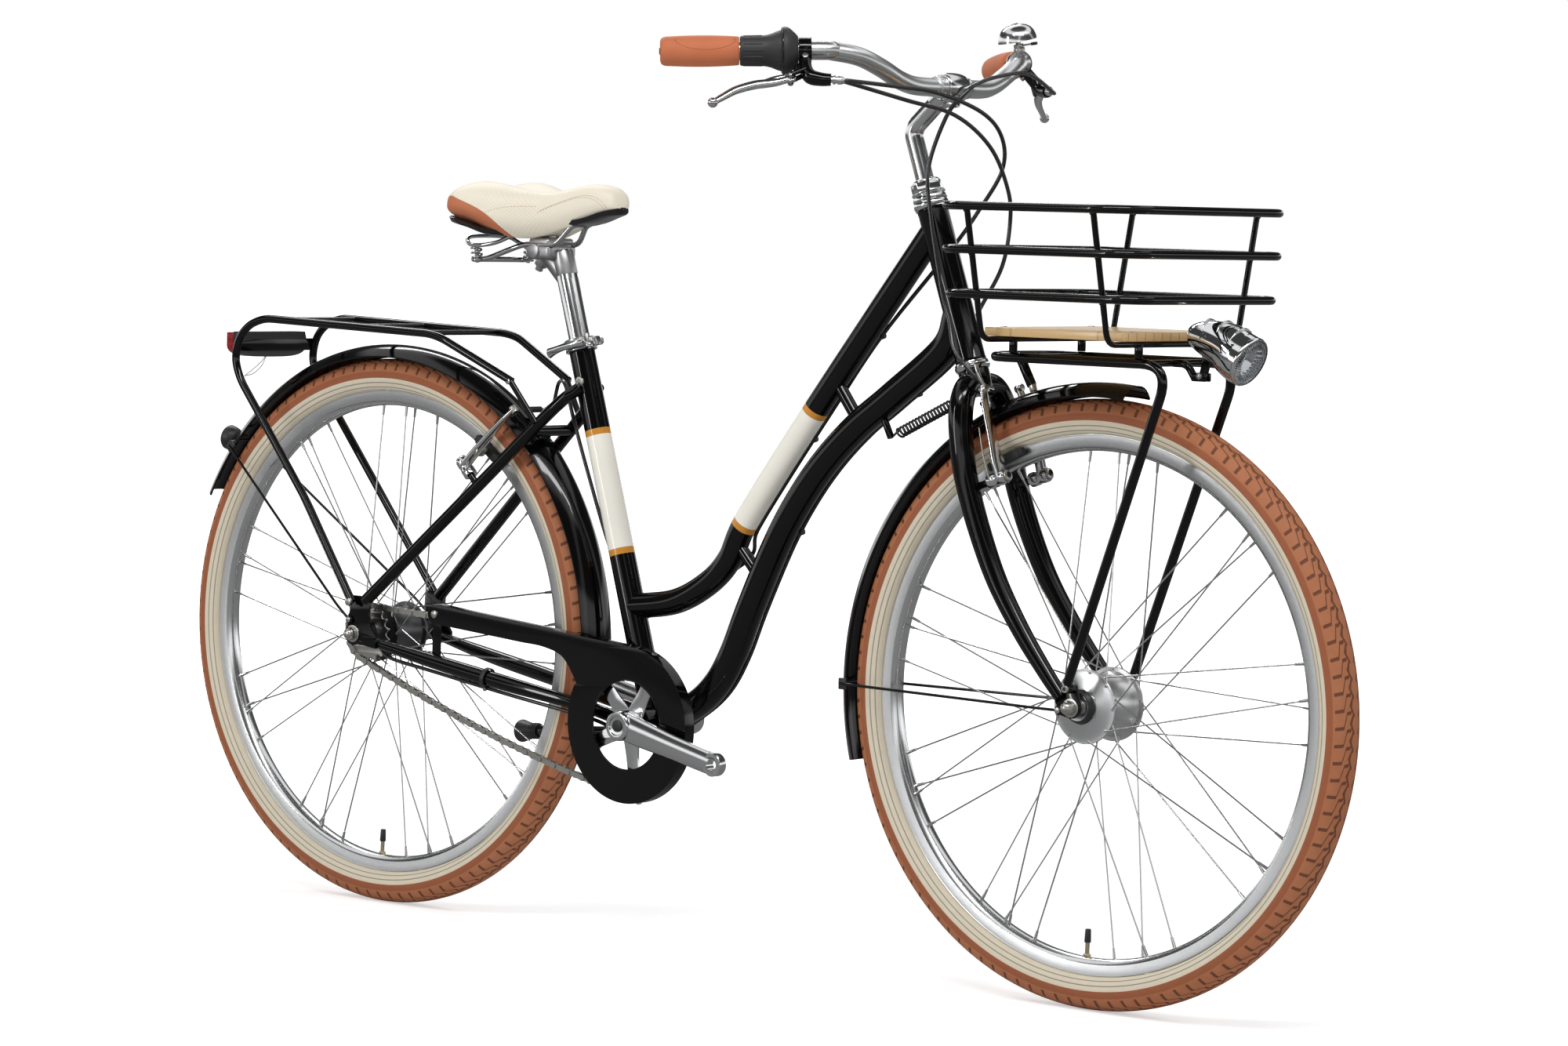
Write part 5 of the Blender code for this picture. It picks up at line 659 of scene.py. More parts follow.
# Fork: a crown on the steerer, two tapered legs that curve ahead to plate ends, a stud on
# each leg for the front brake, and a lug for the steering spring; brazed steel, painted black.
FORK_LEG_SHAPE = [(0.4095, 0, 0, 1), (0.4055, 0.004, 0.026, 1.02), (0.38, 0, 0.0425, 1.04),
                  (0.34, -0.008, 0.047, 1.02), (0.295, -0.014, 0.0475, 1), (0.235, -0.013, 0.048, 0.95),
                  (0.17, -0.005, 0.0495, 0.88), (0.105, 0.013, 0.0515, 0.78), (0.048, 0.034, 0.0528, 0.68),
                  (0.015, 0.048, 0.0535, 0.62)]
FRONT_STUD_ALONG = 0.286
FORK_DROPOUT_INNER = 0.0497 + GAP
FORK_OUTER = FORK_DROPOUT_INNER + DROPOUT_THICKNESS
FORK_SPRING_LUG = steer(0.4, -0.0285)
FORK_EYELET = (-0.0165, -0.004)
CARRIER_EYELET = (0.001, 0.023)


def fork_end_outline():
    """The fork end seen from the side: round the axle with a tongue up into the leg."""
    leg_end = steer(FORK_LEG_SHAPE[-1][0], FORK_LEG_SHAPE[-1][1])
    toward = (leg_end - FRONT_HUB).normalized()
    heading = degrees(atan2(toward.z, toward.x))
    across = Vector((-toward.z, 0, toward.x))
    ring = side_arc(FRONT_HUB, 0.0125, heading + 110, heading + 250, 24)
    tongue = [leg_end + 0.012 * toward - 0.006 * across, leg_end + 0.012 * toward + 0.006 * across]
    upper_eye = front(*CARRIER_EYELET)
    lower_eye = front(*FORK_EYELET)
    return (ring + side_arc(upper_eye, 0.0055, 0, 130, 10) + [(p.x, p.z) for p in tongue]
            + side_arc(lower_eye, 0.0052, 130, 260, 10))


fork_parts = [rod(steer(0.402, 0), steer(0.6613, 0), 0.0127, black),
              turned([(0.0127, 0.398), (0.0185, 0.398), (0.0188, 0.4262), (0.0127, 0.4265)], STEER_FOOT,
                     STEER_UP, black, 48, edge=0.0006),
              rod(steer(0.404, -0.01), FORK_SPRING_LUG, 0.004, black, 20, edge=0.0006)]
for side in (1, -1):
    knots = [(steer(a, b, side * y), 0.0142 * share) for a, b, y, share in FORK_LEG_SHAPE]
    fork_parts += [bent_tube(knots, black, steps=8, sides=32),
                   side_plate(fork_end_outline(), DROPOUT_THICKNESS,
                              side * (FORK_DROPOUT_INNER + DROPOUT_THICKNESS / 2), black,
                              [hole(FRONT_HUB, 0.0053, 24)], edge=0.0012),
                   rod(steer(FRONT_STUD_ALONG, -0.012, side * STUD_SPREAD),
                       steer(FRONT_STUD_ALONG, STUD_LENGTH, side * STUD_SPREAD), STUD_RADIUS, black, 24,
                       edge=0.0008)]
fitted("fork", "steering", *fork_parts)


# Tyres: a woven case with terracotta tread rubber, cut all round with slanting zigzag grooves,
# a plain darker shoulder, and a cream side wall with two thin grey lines down to the rim.
RIM_RADIUS = 0.3165


def tyre_rubber(name, hub):
    rubber = Finish(name, roughness=0.62, Specular_IOR_Level=0.35)
    place = rubber.place(hub)
    x, y, z = rubber.axes(place)
    radius = (x * x + z * z) ** 0.5
    turn = x.apply("ARCTAN2", z, x) / tau
    mottle = rubber.noise(rubber.place(), 90, 5, 0.6)
    soil = rubber.noise(rubber.place(), 7, 4)
    teeth = 112
    from_middle = y.apply("ABSOLUTE", y)
    swing = (turn * teeth).apply("PINGPONG", turn * teeth, 0.5)
    slant = turn * teeth + 0.8 * from_middle.past(0.0065, 0.003) + 0.8 * from_middle.past(0.014, 0.003)
    slant += from_middle * 12
    bar = slant.apply("PINGPONG", slant, 0.5)
    groove = (1 - bar.past(0.095, 0.05)) * radius.past(0.344, 0.001)
    zigzag = from_middle - 0.0045 - swing * 0.008
    ring = 1 - zigzag.apply("ABSOLUTE", zigzag).past(0.0011, 0.0008)
    groove = groove.apply("MAXIMUM", groove * from_middle.past(0.003, 0.001), ring * radius.past(0.35, 0.001))
    brown = rubber.mix(mottle, (0.36, 0.115, 0.045), (0.47, 0.165, 0.07))
    worn = rubber.mix(soil * 0.35, brown, (0.5, 0.24, 0.13))
    # The grooves are painted near black: painted shade in them, beside the bump that sinks them.
    tread = rubber.mix(groove * 0.82, worn, (0.1, 0.03, 0.014))
    shoulder = rubber.mix(mottle, (0.3, 0.09, 0.036), (0.36, 0.115, 0.048))
    outer = rubber.mix(radius.past(0.3415, 0.0012), shoulder, tread)
    wall = rubber.mix(mottle, (0.66, 0.58, 0.44), (0.74, 0.67, 0.53))
    lines = radius.within(0.3206, 0.3216, 0.0004) + radius.within(0.3262, 0.3274, 0.0004)
    wall = rubber.mix(lines * 0.8, wall, (0.2, 0.19, 0.18))
    rubber.set(Base_Color=rubber.mix(radius.past(0.333, 0.0006), wall, outer), Roughness=0.55 + 0.2 * mottle)
    ribs = (radius * 900).apply("SINE", radius * 900) * 0.06 * (1 - radius.past(0.333, 0.001))
    rubber.bump((1 - groove) + 0.1 * mottle + ribs - 0.3 * lines, 0.0012, 0.8)
    return rubber


def tyre(name, hub):
    """The tyre's section is a round casing that narrows to the bead seated in the rim."""
    middle, half = 0.3345, 0.0235
    outer = []
    for k in range(-22, 23):
        turn = radians(130 * k / 22)
        outer.append((middle + half * cos(turn), 0.0232 * sin(turn)))
    bead = [(RIM_RADIUS + GAP, 0.0112), (RIM_RADIUS + GAP, 0.0065), (0.353, 0), (RIM_RADIUS + GAP, -0.0065),
            (RIM_RADIUS + GAP, -0.0112)]
    piece = turned(outer + bead, hub, LEFT, tyre_rubber(f"{name}_rubber", hub), 180)
    return fitted(name, name.replace("tyre", "wheel"), piece, angle=60)


tyre("front_tyre", FRONT_HUB)
tyre("rear_tyre", REAR_HUB)


# Rims: a rolled aluminium channel, its two flanks turned flat for the brake pads and the rest
# polished; a valve comes up through it on the inside, brass with a black cap.
def rolled_rim(name, hub):
    metal = Finish(name, metallic=1, Anisotropic=0)
    x, y, z = metal.axes(metal.place(hub))
    radius = (x * x + z * z) ** 0.5
    flank = radius.past(0.3035, 0.0008)
    cloud = metal.noise(metal.place(), 18, 4)
    lines = (radius * 9000).apply("SINE", radius * 9000) * 0.5 + 0.5
    dust = metal.noise(metal.place(), 240, 3, 0.7).past(0.62, 0.2)
    metal.set(Base_Color=metal.mix(cloud * 0.6 + 0.3 * dust, (0.8, 0.81, 0.82), (0.62, 0.63, 0.64)),
              Roughness=0.16 + 0.16 * flank + 0.08 * cloud)
    metal.bump(lines * flank + 0.2 * cloud, 0.00004, 0.5)
    return metal


def rim(name, hub):
    half = 0.012
    outer = [(RIM_RADIUS, half), (RIM_RADIUS - 0.0008, half + 0.0002), (RIM_RADIUS - 0.0014, half - 0.0003),
             (0.3036, half - 0.0006), (0.3026, half - 0.0011), (0.3008, half - 0.0022), (0.2985, 0.0078),
             (0.2972, 0.005), (0.2967, 0.002)]
    inner = [(RIM_RADIUS, half - 0.0022), (0.308, half - 0.0024), (0.306, 0.006), (0.305, 0)]
    section = outer + [(r, -y) for r, y in outer[::-1] + inner] + inner[-2::-1]
    piece = turned(section, hub, LEFT, rolled_rim(f"{name}_metal", hub), 180)
    return fitted(name, name.replace("rim", "wheel"), piece, angle=30)


rim("front_rim", FRONT_HUB)
rim("rear_rim", REAR_HUB)


def rubbery(name, colour, roughness=0.5, grain=420, depth=0.00008, **constants):
    """Moulded rubber or plastic: even colour with a fine moulded grain and faint handling marks."""
    made = Finish(name, **constants)
    place = made.place()
    fine = made.noise(place, grain, 2)
    cloud = made.noise(place, 22, 4)
    lighter = tuple(min(1, 1.35 * c + 0.004) for c in colour)
    made.set(Base_Color=made.mix(cloud, colour, lighter), Roughness=roughness * (0.85 + 0.3 * cloud))
    made.bump(fine + 0.3 * cloud, depth, 0.6)
    return made


brass = bright_metal("valve_brass", (0.72, 0.62, 0.42), 0.25)
plastic = rubbery("black_plastic", (0.014, 0.014, 0.015), 0.42)
for name, hub, lean, body in (("front", FRONT_HUB, -91.3, "front_wheel"),
                              ("rear", REAR_HUB, -92, "rear_wheel")):
    out = pointer(radians(lean))
    stem_foot = hub + 0.298 * out
    valve = [pin(stem_foot, out, 0, -0.022, 0.0026, brass, 20),
             pin(stem_foot, out, -0.0012, -0.0045, 0.0046, brass, 6, edge=0.0004),
             pin(stem_foot, out, -0.018, -0.034, 0.004, plastic, 20, 0.0034, edge=0.0008)]
    fitted(f"{name}_valve", body, *valve, nodes=())


# Spokes: thirty-six stainless wires to a wheel, half to each flange, bent through the flange
# at the head, each crossing others on its way to a nickelled nipple in the rim.
steel_wire = bright_metal("stainless_wire", (0.7, 0.7, 0.69), 0.22)
SPOKES_PER_SIDE = 18


def spoke_set(name, hub, side, flange_radius, flange_half, turn, body):
    step = 2 * tau / SPOKES_PER_SIDE
    wires = []
    for i in range(SPOKES_PER_SIDE):
        lean_ahead = 1 if i % 2 else -1
        hub_angle = turn + (i // 2) * step + (step / 2 if lean_ahead > 0 else 0)
        rim_angle = hub_angle + lean_ahead * 1.15 * step
        head = flange_half - (0.0006 if lean_ahead > 0 else 0.0013)
        foot = flange_radius - 0.0035
        start = hub + pointer(hub_angle, foot) + side * (head + 0.0012 * lean_ahead) * LEFT
        end = hub + pointer(rim_angle, 0.2966) + side * 0.003 * LEFT
        along = (end - start).normalized()
        wires += [rod(start, end - 0.009 * along, 0.001, steel_wire, 8),
                  pin(end, along, -0.0125, 0, 0.0016, steel_wire, 8, 0.0021)]
        outward = side * lean_ahead * LEFT
        wires.append(pin(start, outward, -0.0012, 0.0012, 0.0019, steel_wire, 10, 0.0014))
    fitted(name, body, *wires)


spoke_set("front_spokes_left", FRONT_HUB, 1, 0.044, 0.029, radians(10), "front_wheel")
spoke_set("front_spokes_right", FRONT_HUB, -1, 0.044, 0.029, radians(20), "front_wheel")
spoke_set("rear_spokes_left", REAR_HUB, 1, 0.038, 0.028, radians(10), "rear_wheel")
spoke_set("rear_spokes_right", REAR_HUB, -1, 0.038, 0.028, radians(20), "rear_wheel")


# Hubs: the front one is a dynamo in a wide turned aluminium shell with large flanges; the rear
# one is a geared hub in a dark grey shell. Both turn on a threaded steel axle.
def hub_half_profile(flange, flange_half, waist, neck, half):
    return [(0.0056, half), (neck - 0.001, half), (neck, half - 0.001), (neck, flange_half + 0.0055),
            (neck + 0.004, flange_half + 0.0035), (flange - 0.01, flange_half + 0.0012),
            (flange - 0.006, flange_half), (flange - 0.0006, flange_half), (flange, flange_half - 0.0008),
            (flange, flange_half - 0.0024), (flange - 0.0006, flange_half - 0.0032),
            (flange - 0.005, flange_half - 0.0036), (waist + 0.002, flange_half - 0.006),
            (waist, flange_half - 0.009)]


def hub_shell(name, hub, finish, body, *sizes):
    half = hub_half_profile(*sizes)
    profile = half + [(sizes[2], 0)] + [(r, -y) for r, y in reversed(half)]
    piece = turned(profile, hub, LEFT, finish, 96)
    fitted(name, body, piece)


satin = bright_metal("satin_aluminium", (0.82, 0.83, 0.84), 0.28, 0.8)
polished = bright_metal("polished_aluminium", (0.78, 0.79, 0.8), 0.14, 0.6)
dark_metal = bright_metal("dark_hub_metal", (0.16, 0.16, 0.17), 0.34, 0.6)
hub_shell("front_hub", FRONT_HUB, satin, "front_wheel", 0.044, 0.029, 0.036, 0.017, 0.0437)
hub_shell("rear_hub", REAR_HUB, dark_metal, "rear_wheel", 0.038, 0.028, 0.031, 0.016, 0.0612)
zinc = bright_metal("zinc_plated_steel", (0.6, 0.59, 0.56), 0.28, 0.8)
hub_nut = pin(FRONT_HUB, LEFT, -0.0325, -0.0358, 0.0218, zinc, 6, edge=0.0007)
hub_cover = turned([(0.0165, 0.0352), (0.0205, 0.0352), (0.0202, 0.0372), (0.0192, 0.0376), (0.0192, 0.039),
                    (0.0186, 0.0394), (0.0186, 0.0408), (0.018, 0.0412), (0.0178, 0.0434), (0.0165, 0.044)],
                   FRONT_HUB, -LEFT, plastic, 64, edge=0.0002)
fitted("front_hub_end", "front_wheel", hub_nut, hub_cover, nodes=())


def axle(name, hub, hub_half, outer_face, length, body):
    """The axle with a hexagon lock nut inside each dropout and a domed nut outside it."""
    parts = []
    for side in (1, -1):
        out = side * LEFT
        parts += [pin(hub, out, hub_half - 0.0055, hub_half, 0.0108, zinc, 6, edge=0.0006),
                  turned([(0.005, 0), (0.0112, 0), (0.0112, 0.0016), (0.005, 0.0016)],
                         hub + (outer_face + GAP) * out, out, zinc, 40, edge=0.0003),
                  pin(hub, out, outer_face + 0.0019, outer_face + 0.0092, 0.0088, zinc, 6, edge=0.0006)]
        dome = [(0.0074, 0.009)] + [(0.0072 * cos(a), 0.0095 + (length - outer_face - 0.0095) * sin(a))
                                    for a in [radians(15 * k) for k in range(6)]] + [(0, length - outer_face)]
        parts.append(turned([(0, 0.0088)] + dome, hub + outer_face * out, out, zinc, 32))
    parts.append(pin(hub, LEFT, -(length - 0.012), length - 0.012, 0.005, zinc, 24))
    fitted(name, body, *parts)


axle("front_axle", FRONT_HUB, 0.0497, FORK_OUTER, 0.07, "steering")
axle("rear_axle", REAR_HUB, 0.0672, DROPOUT_OUTER, 0.087, "frame")


# Drive: a toothed steel chainring on a five-armed spider and forged arms with the pedal holes,
# a sprocket on the rear hub, and a roller chain of outer and inner links.
CHAIN_PITCH = 0.0127
CHAIN_LINE = -0.0445
CRANK_ANGLE = radians(-11)
CRANK_LENGTH = 0.17
RING_TEETH = 44
SPROCKET_TEETH = 18
RING_RADIUS = CHAIN_PITCH / 2 / sin(pi / RING_TEETH)
SPROCKET_RADIUS = CHAIN_PITCH / 2 / sin(pi / SPROCKET_TEETH)


def toothed_outline(centre, pitch_radius, teeth):
    """Rounded valleys under the rollers and a blunt tooth between each two."""
    outline = []
    for i in range(teeth):
        for share, grow in ((0, -0.0042), (0.16, -0.0036), (0.32, -0.001), (0.42, 0.0018), (0.5, 0.0026),
                            (0.58, 0.0018), (0.68, -0.001), (0.84, -0.0036)):
            angle = tau * (i + share) / teeth
            point = centre + pointer(angle, pitch_radius + grow)
            outline.append((point.x, point.z))
    return outline


def crank_arm(side, angle):
    """A forged arm: an oval blade from the square boss to the round pedal eye."""
    out = pointer(angle)
    start = BRACKET + side * 0.0575 * LEFT
    tip = BRACKET + CRANK_LENGTH * out + side * 0.0785 * LEFT
    knots = [(start - 0.004 * out, 0.0185), (start.lerp(tip, 0.14) + side * 0.0045 * LEFT, 0.0182),
             (start.lerp(tip, 0.36) + side * 0.0044 * LEFT, 0.0168),
             (start.lerp(tip, 0.6) + side * 0.0036 * LEFT, 0.0152), (start.lerp(tip, 0.9), 0.0146),
             (tip + 0.005 * out, 0.0136)]
    blade = bent_tube(knots, polished, steps=8, sides=32)
    pick(blade)
    for vertex in blade.data.vertices:
        reach = (vertex.co - BRACKET).dot(out) / CRANK_LENGTH
        centre_y = (start.lerp(tip, min(1, max(0, reach)))).y + side * 0.0042
        vertex.co.y = centre_y + (vertex.co.y - centre_y) * 0.44
    boss = turned([(0, 0.0435), (0.0192, 0.0435), (0.0194, 0.045), (0.0192, 0.069), (0.0182, 0.073),
                   (0.0165, 0.0743), (0.0122, 0.0743), (0.0116, 0.0722), (0, 0.0722)], BRACKET, side * LEFT,
                  polished, 56, edge=0.0005)
    bolt = pin(BRACKET, LEFT, side * 0.0718, side * 0.0734, 0.0075, plastic, 32, edge=0.0004)
    eye_at = BRACKET + CRANK_LENGTH * out
    eye = turned([(0.007, 0.0725), (0.014, 0.0725), (0.0145, 0.0735), (0.0145, 0.0842), (0.0138, 0.085),
                  (0.0078, 0.085), (0.007, 0.0842)], eye_at, side * LEFT, polished, 48)
    carve(blade, pin(eye_at, LEFT, side * 0.05, side * 0.1, 0.007, polished, 40))
    return [blade, boss, bolt, eye]


ring_holes = [hole(BRACKET, RING_RADIUS - 0.02, 90)]
ring = side_plate(toothed_outline(BRACKET, RING_RADIUS, RING_TEETH), 0.0028, CHAIN_LINE, satin, ring_holes,
                  edge=0.0004)
star = []
for i in range(5):
    middle = CRANK_ANGLE + tau * i / 5
    for radius, turn in ((0.0205, -pi / 5), (0.04, -0.24), (0.058, -0.15), (0.068, -0.17),
                         (RING_RADIUS - 0.0125, -0.1), (RING_RADIUS - 0.0115, 0), (RING_RADIUS - 0.0125, 0.1),
                         (0.068, 0.17), (0.058, 0.15), (0.04, 0.24)):
        point = BRACKET + pointer(middle + turn, radius)
        star.append((point.x, point.z))
spider = side_plate(star, 0.0035, CHAIN_LINE - 0.0024, polished, edge=0.001)
crank_parts = crank_arm(-1, CRANK_ANGLE) + [ring, spider]
for i in range(5):
    middle = CRANK_ANGLE + tau * i / 5
    spot = BRACKET + pointer(middle, RING_RADIUS - 0.0155) + (CHAIN_LINE - 0.004) * LEFT
    crank_parts.append(pin(spot, LEFT, 0, -0.0022, 0.0046, chrome, 24, edge=0.0005))
fitted("crank_right", "crankset", *crank_parts)
spindle = pin(BRACKET, LEFT, -0.0595, 0.055, 0.0085, zinc, 32, edge=0.0006)
fitted("crank_left", "crankset", *crank_arm(1, CRANK_ANGLE + pi), spindle)
sprocket_hole = [hole(REAR_HUB, 0.0165, 48)]
sprocket = side_plate(toothed_outline(REAR_HUB, SPROCKET_RADIUS, SPROCKET_TEETH), 0.0028, CHAIN_LINE, zinc,
                      sprocket_hole, edge=0.0004)
fitted("rear_sprocket", "sprocket", sprocket)


def chain_path():
    """The chain's closed line: round the ring, back along the slack run, round the sprocket."""
    line = BRACKET - REAR_HUB
    heading = degrees(atan2(line.z, line.x))
    splay = degrees(asin((RING_RADIUS - SPROCKET_RADIUS) / line.length))
    round_ring = side_arc(BRACKET, RING_RADIUS, heading + 90 + splay, heading - 90 - splay, 60)
    round_back = side_arc(REAR_HUB, SPROCKET_RADIUS, heading + 270 - splay, heading + 90 + splay, 40)
    lower = []
    for k in range(1, 40):
        share = k / 40
        x = round_ring[-1][0] + share * (round_back[0][0] - round_ring[-1][0])
        z = round_ring[-1][1] + share * (round_back[0][1] - round_ring[-1][1])
        lower.append((x, z - 0.011 * 4 * share * (1 - share)))
    loop = round_ring + lower + round_back
    return [Vector((x, CHAIN_LINE, z)) for x, z in loop + loop[:1]]


def even_spots(path, count):
    """Points at even steps along a path."""
    lengths = [(b - a).length for a, b in zip(path, path[1:])]
    step = sum(lengths) / count
    spots, travelled, edge = [], 0, 0
    for k in range(count):
        while travelled + lengths[edge] < k * step:
            travelled += lengths[edge]
            edge += 1
        spots.append(path[edge].lerp(path[edge + 1], (k * step - travelled) / lengths[edge]))
    return spots


path = chain_path()
length = sum((b - a).length for a, b in zip(path, path[1:]))
spots = even_spots(path, 2 * round(length / CHAIN_PITCH / 2))
chain_steel = bright_metal("chain_steel", (0.5, 0.49, 0.46), 0.3, 0.8)


def chain_link(spread, thick):
    """Two waisted side plates and their pins or rollers, made lying along X from the origin."""
    half = CHAIN_PITCH / 2
    outline = (arc((0, 0), 0.0041, 60, 300, 6) + [(half, -0.003)] + arc((CHAIN_PITCH, 0), 0.0041, 240, 480, 6)
               + [(half, 0.003)])
    parts = [side_plate(outline, thick, side * spread, chain_steel, edge=0) for side in (1, -1)]
    for x in (0, CHAIN_PITCH):
        parts.append(rod(Vector((x, -spread, 0)), Vector((x, spread, 0)), 0.0036 if spread < 0.0025
                         else 0.0016, chain_steel, 8))
    return together("chain_link", *parts)


link_kinds = [chain_link(0.0034, 0.0009), chain_link(0.0022, 0.0009)]
links = []
for k, spot in enumerate(spots):
    along = (spots[(k + 1) % len(spots)] - spot).normalized()
    mould = link_kinds[k % 2]
    link = mould.copy()
    link.data = mould.data.copy()
    bpy.context.scene.collection.objects.link(link)
    link.data.transform(Matrix.Translation(spot) @ Matrix.Rotation(-atan2(along.z, along.x), 4, "Y"))
    links.append(link)
for mould in link_kinds:
    bpy.data.objects.remove(mould)
fitted("chain", "frame", *links)


# Chain guard: a drawn steel cover painted black, with a flat face, a rounded rim and a rolled
# window round the spider; its arm runs back over the chain to a strap on the chain stay.
GUARD_FACE = -0.056
GUARD_DEPTH = 0.017
GUARD_ARM_END = rear(0.1305, 0.034)


def guard_outline(shrink):
    """Disc and arm seen from the right, drawn in by the given amount."""
    disc = side_arc(BRACKET, 0.0985 - shrink, 85, -207, 110)
    nose = side_arc(GUARD_ARM_END, 0.0125 - shrink, 262, 85, 16)
    low = rear(0.323, 0.0065 + shrink)
    along = (Vector((nose[0][0], 0, nose[0][1])) - low).normalized()
    fillet = smooth_path([Vector((disc[-1][0], 0, disc[-1][1])), rear(0.379 + shrink, -0.033),
                          rear(0.356, -0.004 + shrink), low, low + 0.04 * along], 8)
    return disc + [(p.x, p.z) for p in fillet[1:]] + nose


guard = side_plate(guard_outline(0), GUARD_DEPTH + 0.008, GUARD_FACE + (GUARD_DEPTH + 0.008) / 2, black,
                   edge=0)
softened(guard, 0.0034, 5, 50)
hollow = side_plate(guard_outline(0.0015), 0.03, GUARD_FACE + 0.0165, black, edge=0)
behind = block((BRACKET.x - 0.1, GUARD_FACE + GUARD_DEPTH + 0.03, BRACKET.z), (0.8, 0.06, 0.6), black)
window = pin(BRACKET, LEFT, -0.08, -0.03, 0.0562, black, 96)
lower_run = block(rear(0.398, -0.157, -0.0395), (0.1, 0.03, 0.024), black, (0, radians(12.5), 0))
upper_run_room = block(rear(0.1205, 0.03, -0.0395), (0.06, 0.03, 0.018), black)
stay_room = bent_tube([(rear(x, z, -y), 0.01 * share + 0.0004) for x, y, z, share in STAY_SHAPE], black)
carve(guard, hollow, behind, window, lower_run, upper_run_room, stay_room)
lip = turned([(0.0566 + 0.0013 * cos(a), GUARD_FACE + 0.0009 + 0.0013 * sin(a))
              for a in [tau * k / 10 for k in range(10)]], BRACKET, LEFT, black, 120)
strap = block(rear(0.1325, 0.004, GUARD_FACE + 0.003), (0.014, 0.003, 0.066), black, edge=0.001)
boss = GUARD_ARM_END + GUARD_FACE * LEFT
screws = [turned([(0, -0.003), (0.003, -0.0028), (0.005, -0.0018), (0.0055, 0), (0.0055, 0.003), (0, 0.003)],
                 boss, LEFT, zinc, 32)]
for angle in (-80, 68):
    out = pointer(radians(angle))
    foot = BRACKET + 0.0975 * out + (GUARD_FACE + 0.009) * LEFT
    screws.append(turned([(0, 0), (0.0038, 0), (0.0036, 0.0018), (0.002, 0.0026), (0, 0.0028)], foot, out,
                         zinc, 24))
fitted("chain_guard_shell", "frame", guard, lip, strap, nodes=["chain_guard"], angle=34)
fitted("chain_guard_screws", "frame", *screws, nodes=())


# Mudguards: rolled steel strips painted black, carried at the crown and stay bridge, each with
# one bent wire stay over it; the rear one has a round reflector on a bracket.
MUDGUARD_RADIUS = 0.3765
MUDGUARD_HALF_WIDTH = 0.0265
WIRE_RADIUS = 0.0018


def rounded_run(points, radius, steps=6, closed=False):
    """The straight run through the points with its corners rounded."""
    run = []
    for i, corner in enumerate(points):
        if not closed and i in (0, len(points) - 1):
            run.append(corner)
            continue
        before, after = points[i - 1] - corner, points[(i + 1) % len(points)] - corner
        reach = min(radius, 0.48 * before.length, 0.48 * after.length)
        first, last = corner + reach * before.normalized(), corner + reach * after.normalized()
        for k in range(steps + 1):
            share = k / steps
            run.append(first.lerp(corner, share).lerp(corner.lerp(last, share), share))
    return run


def mudguard_blade(hub, start, end):
    """The crowned section with its edges rolled in, swept round the wheel."""
    profile = [(-0.0158, -0.0248), (-0.016, -0.0257)]
    profile += [(-0.0146 * abs(k / 6 - 1) ** 2.6, 0.0262 * (k / 6 - 1)) for k in range(13)]
    profile += [(-0.016, 0.0257), (-0.0158, 0.0248)]
    out = pointer(radians(start))
    line = profile_mesh([hub + (MUDGUARD_RADIUS + depth) * out + y * LEFT for depth, y in profile])
    piece = welded(line, {"steps": 72, "angle": radians(end - start), "center": hub, "axis": LEFT})
    wall = piece.modifiers.new("wall", "SOLIDIFY")
    wall.thickness = 0.0012
    wall.offset = 0
    return fixed(piece, black)


def on_mudguard(hub, angle, inset, side=0):
    """A point near the mudguard, by its angle and its distance inside the crown."""
    return hub + pointer(radians(angle), MUDGUARD_RADIUS - inset) + side * LEFT


def wire_stay(hub, angle, foot_x, foot_z, foot_y):
    """One bent wire from an axle end over the mudguard to the other axle end, with its eyes."""
    points = []
    for side in (1, -1):
        foot = hub + Vector((foot_x, side * foot_y, foot_z))
        knee = on_mudguard(hub, angle, 0.03, side * 0.033)
        straight = foot.lerp(knee, 0.09)
        straight.y = foot.y
        run = [foot, straight, knee, on_mudguard(hub, angle, 0.006, side * (MUDGUARD_HALF_WIDTH + 0.003)),
               on_mudguard(hub, angle, 0.0016, side * 0.014)]
        points += run if side > 0 else run[::-1]
    made = [tube(rounded_run(points, 0.012), WIRE_RADIUS, black, 12)]
    for side in (1, -1):
        foot = hub + Vector((foot_x, side * (foot_y - WIRE_RADIUS), foot_z))
        made += [turned([(0.003, 0), (0.0056, 0), (0.0056, 0.0022), (0.003, 0.0022)], foot, side * LEFT,
                        black, 24), pin(foot, LEFT, 0, side * 0.005, 0.0042, zinc, 6, edge=0.0005)]
        clip = on_mudguard(hub, angle, 0.0125, side * (MUDGUARD_HALF_WIDTH + 0.0018))
        made.append(block(clip, (0.012, 0.004, 0.014), plastic, (0, -radians(angle), 0), 0.0012))
    return made


front_parts = [mudguard_blade(FRONT_HUB, 83.5, 195)]
front_parts += wire_stay(FRONT_HUB, 180.5, *FORK_EYELET, FORK_OUTER + WIRE_RADIUS + GAP)
front_parts.append(rod(on_mudguard(FRONT_HUB, 117, 0.0005), steer(0.388, 0.002), 0.005, black, edge=0.0008))
fitted("front_mudguard_and_stay", "steering", *front_parts, nodes=["front_mudguard"])
rear_parts = [mudguard_blade(REAR_HUB, 1, 153.5)]
rear_parts += wire_stay(REAR_HUB, 141, -0.006, 0.018, DROPOUT_OUTER + WIRE_RADIUS + GAP)
inward = (REAR_HUB - STAY_BRIDGE).normalized()
rear_parts.append(pin(STAY_BRIDGE, inward, 0.007 + GAP, 0.026, 0.005, black, edge=0.0008))
fitted("rear_mudguard_and_stay", "frame", *rear_parts, nodes=["rear_mudguard"])

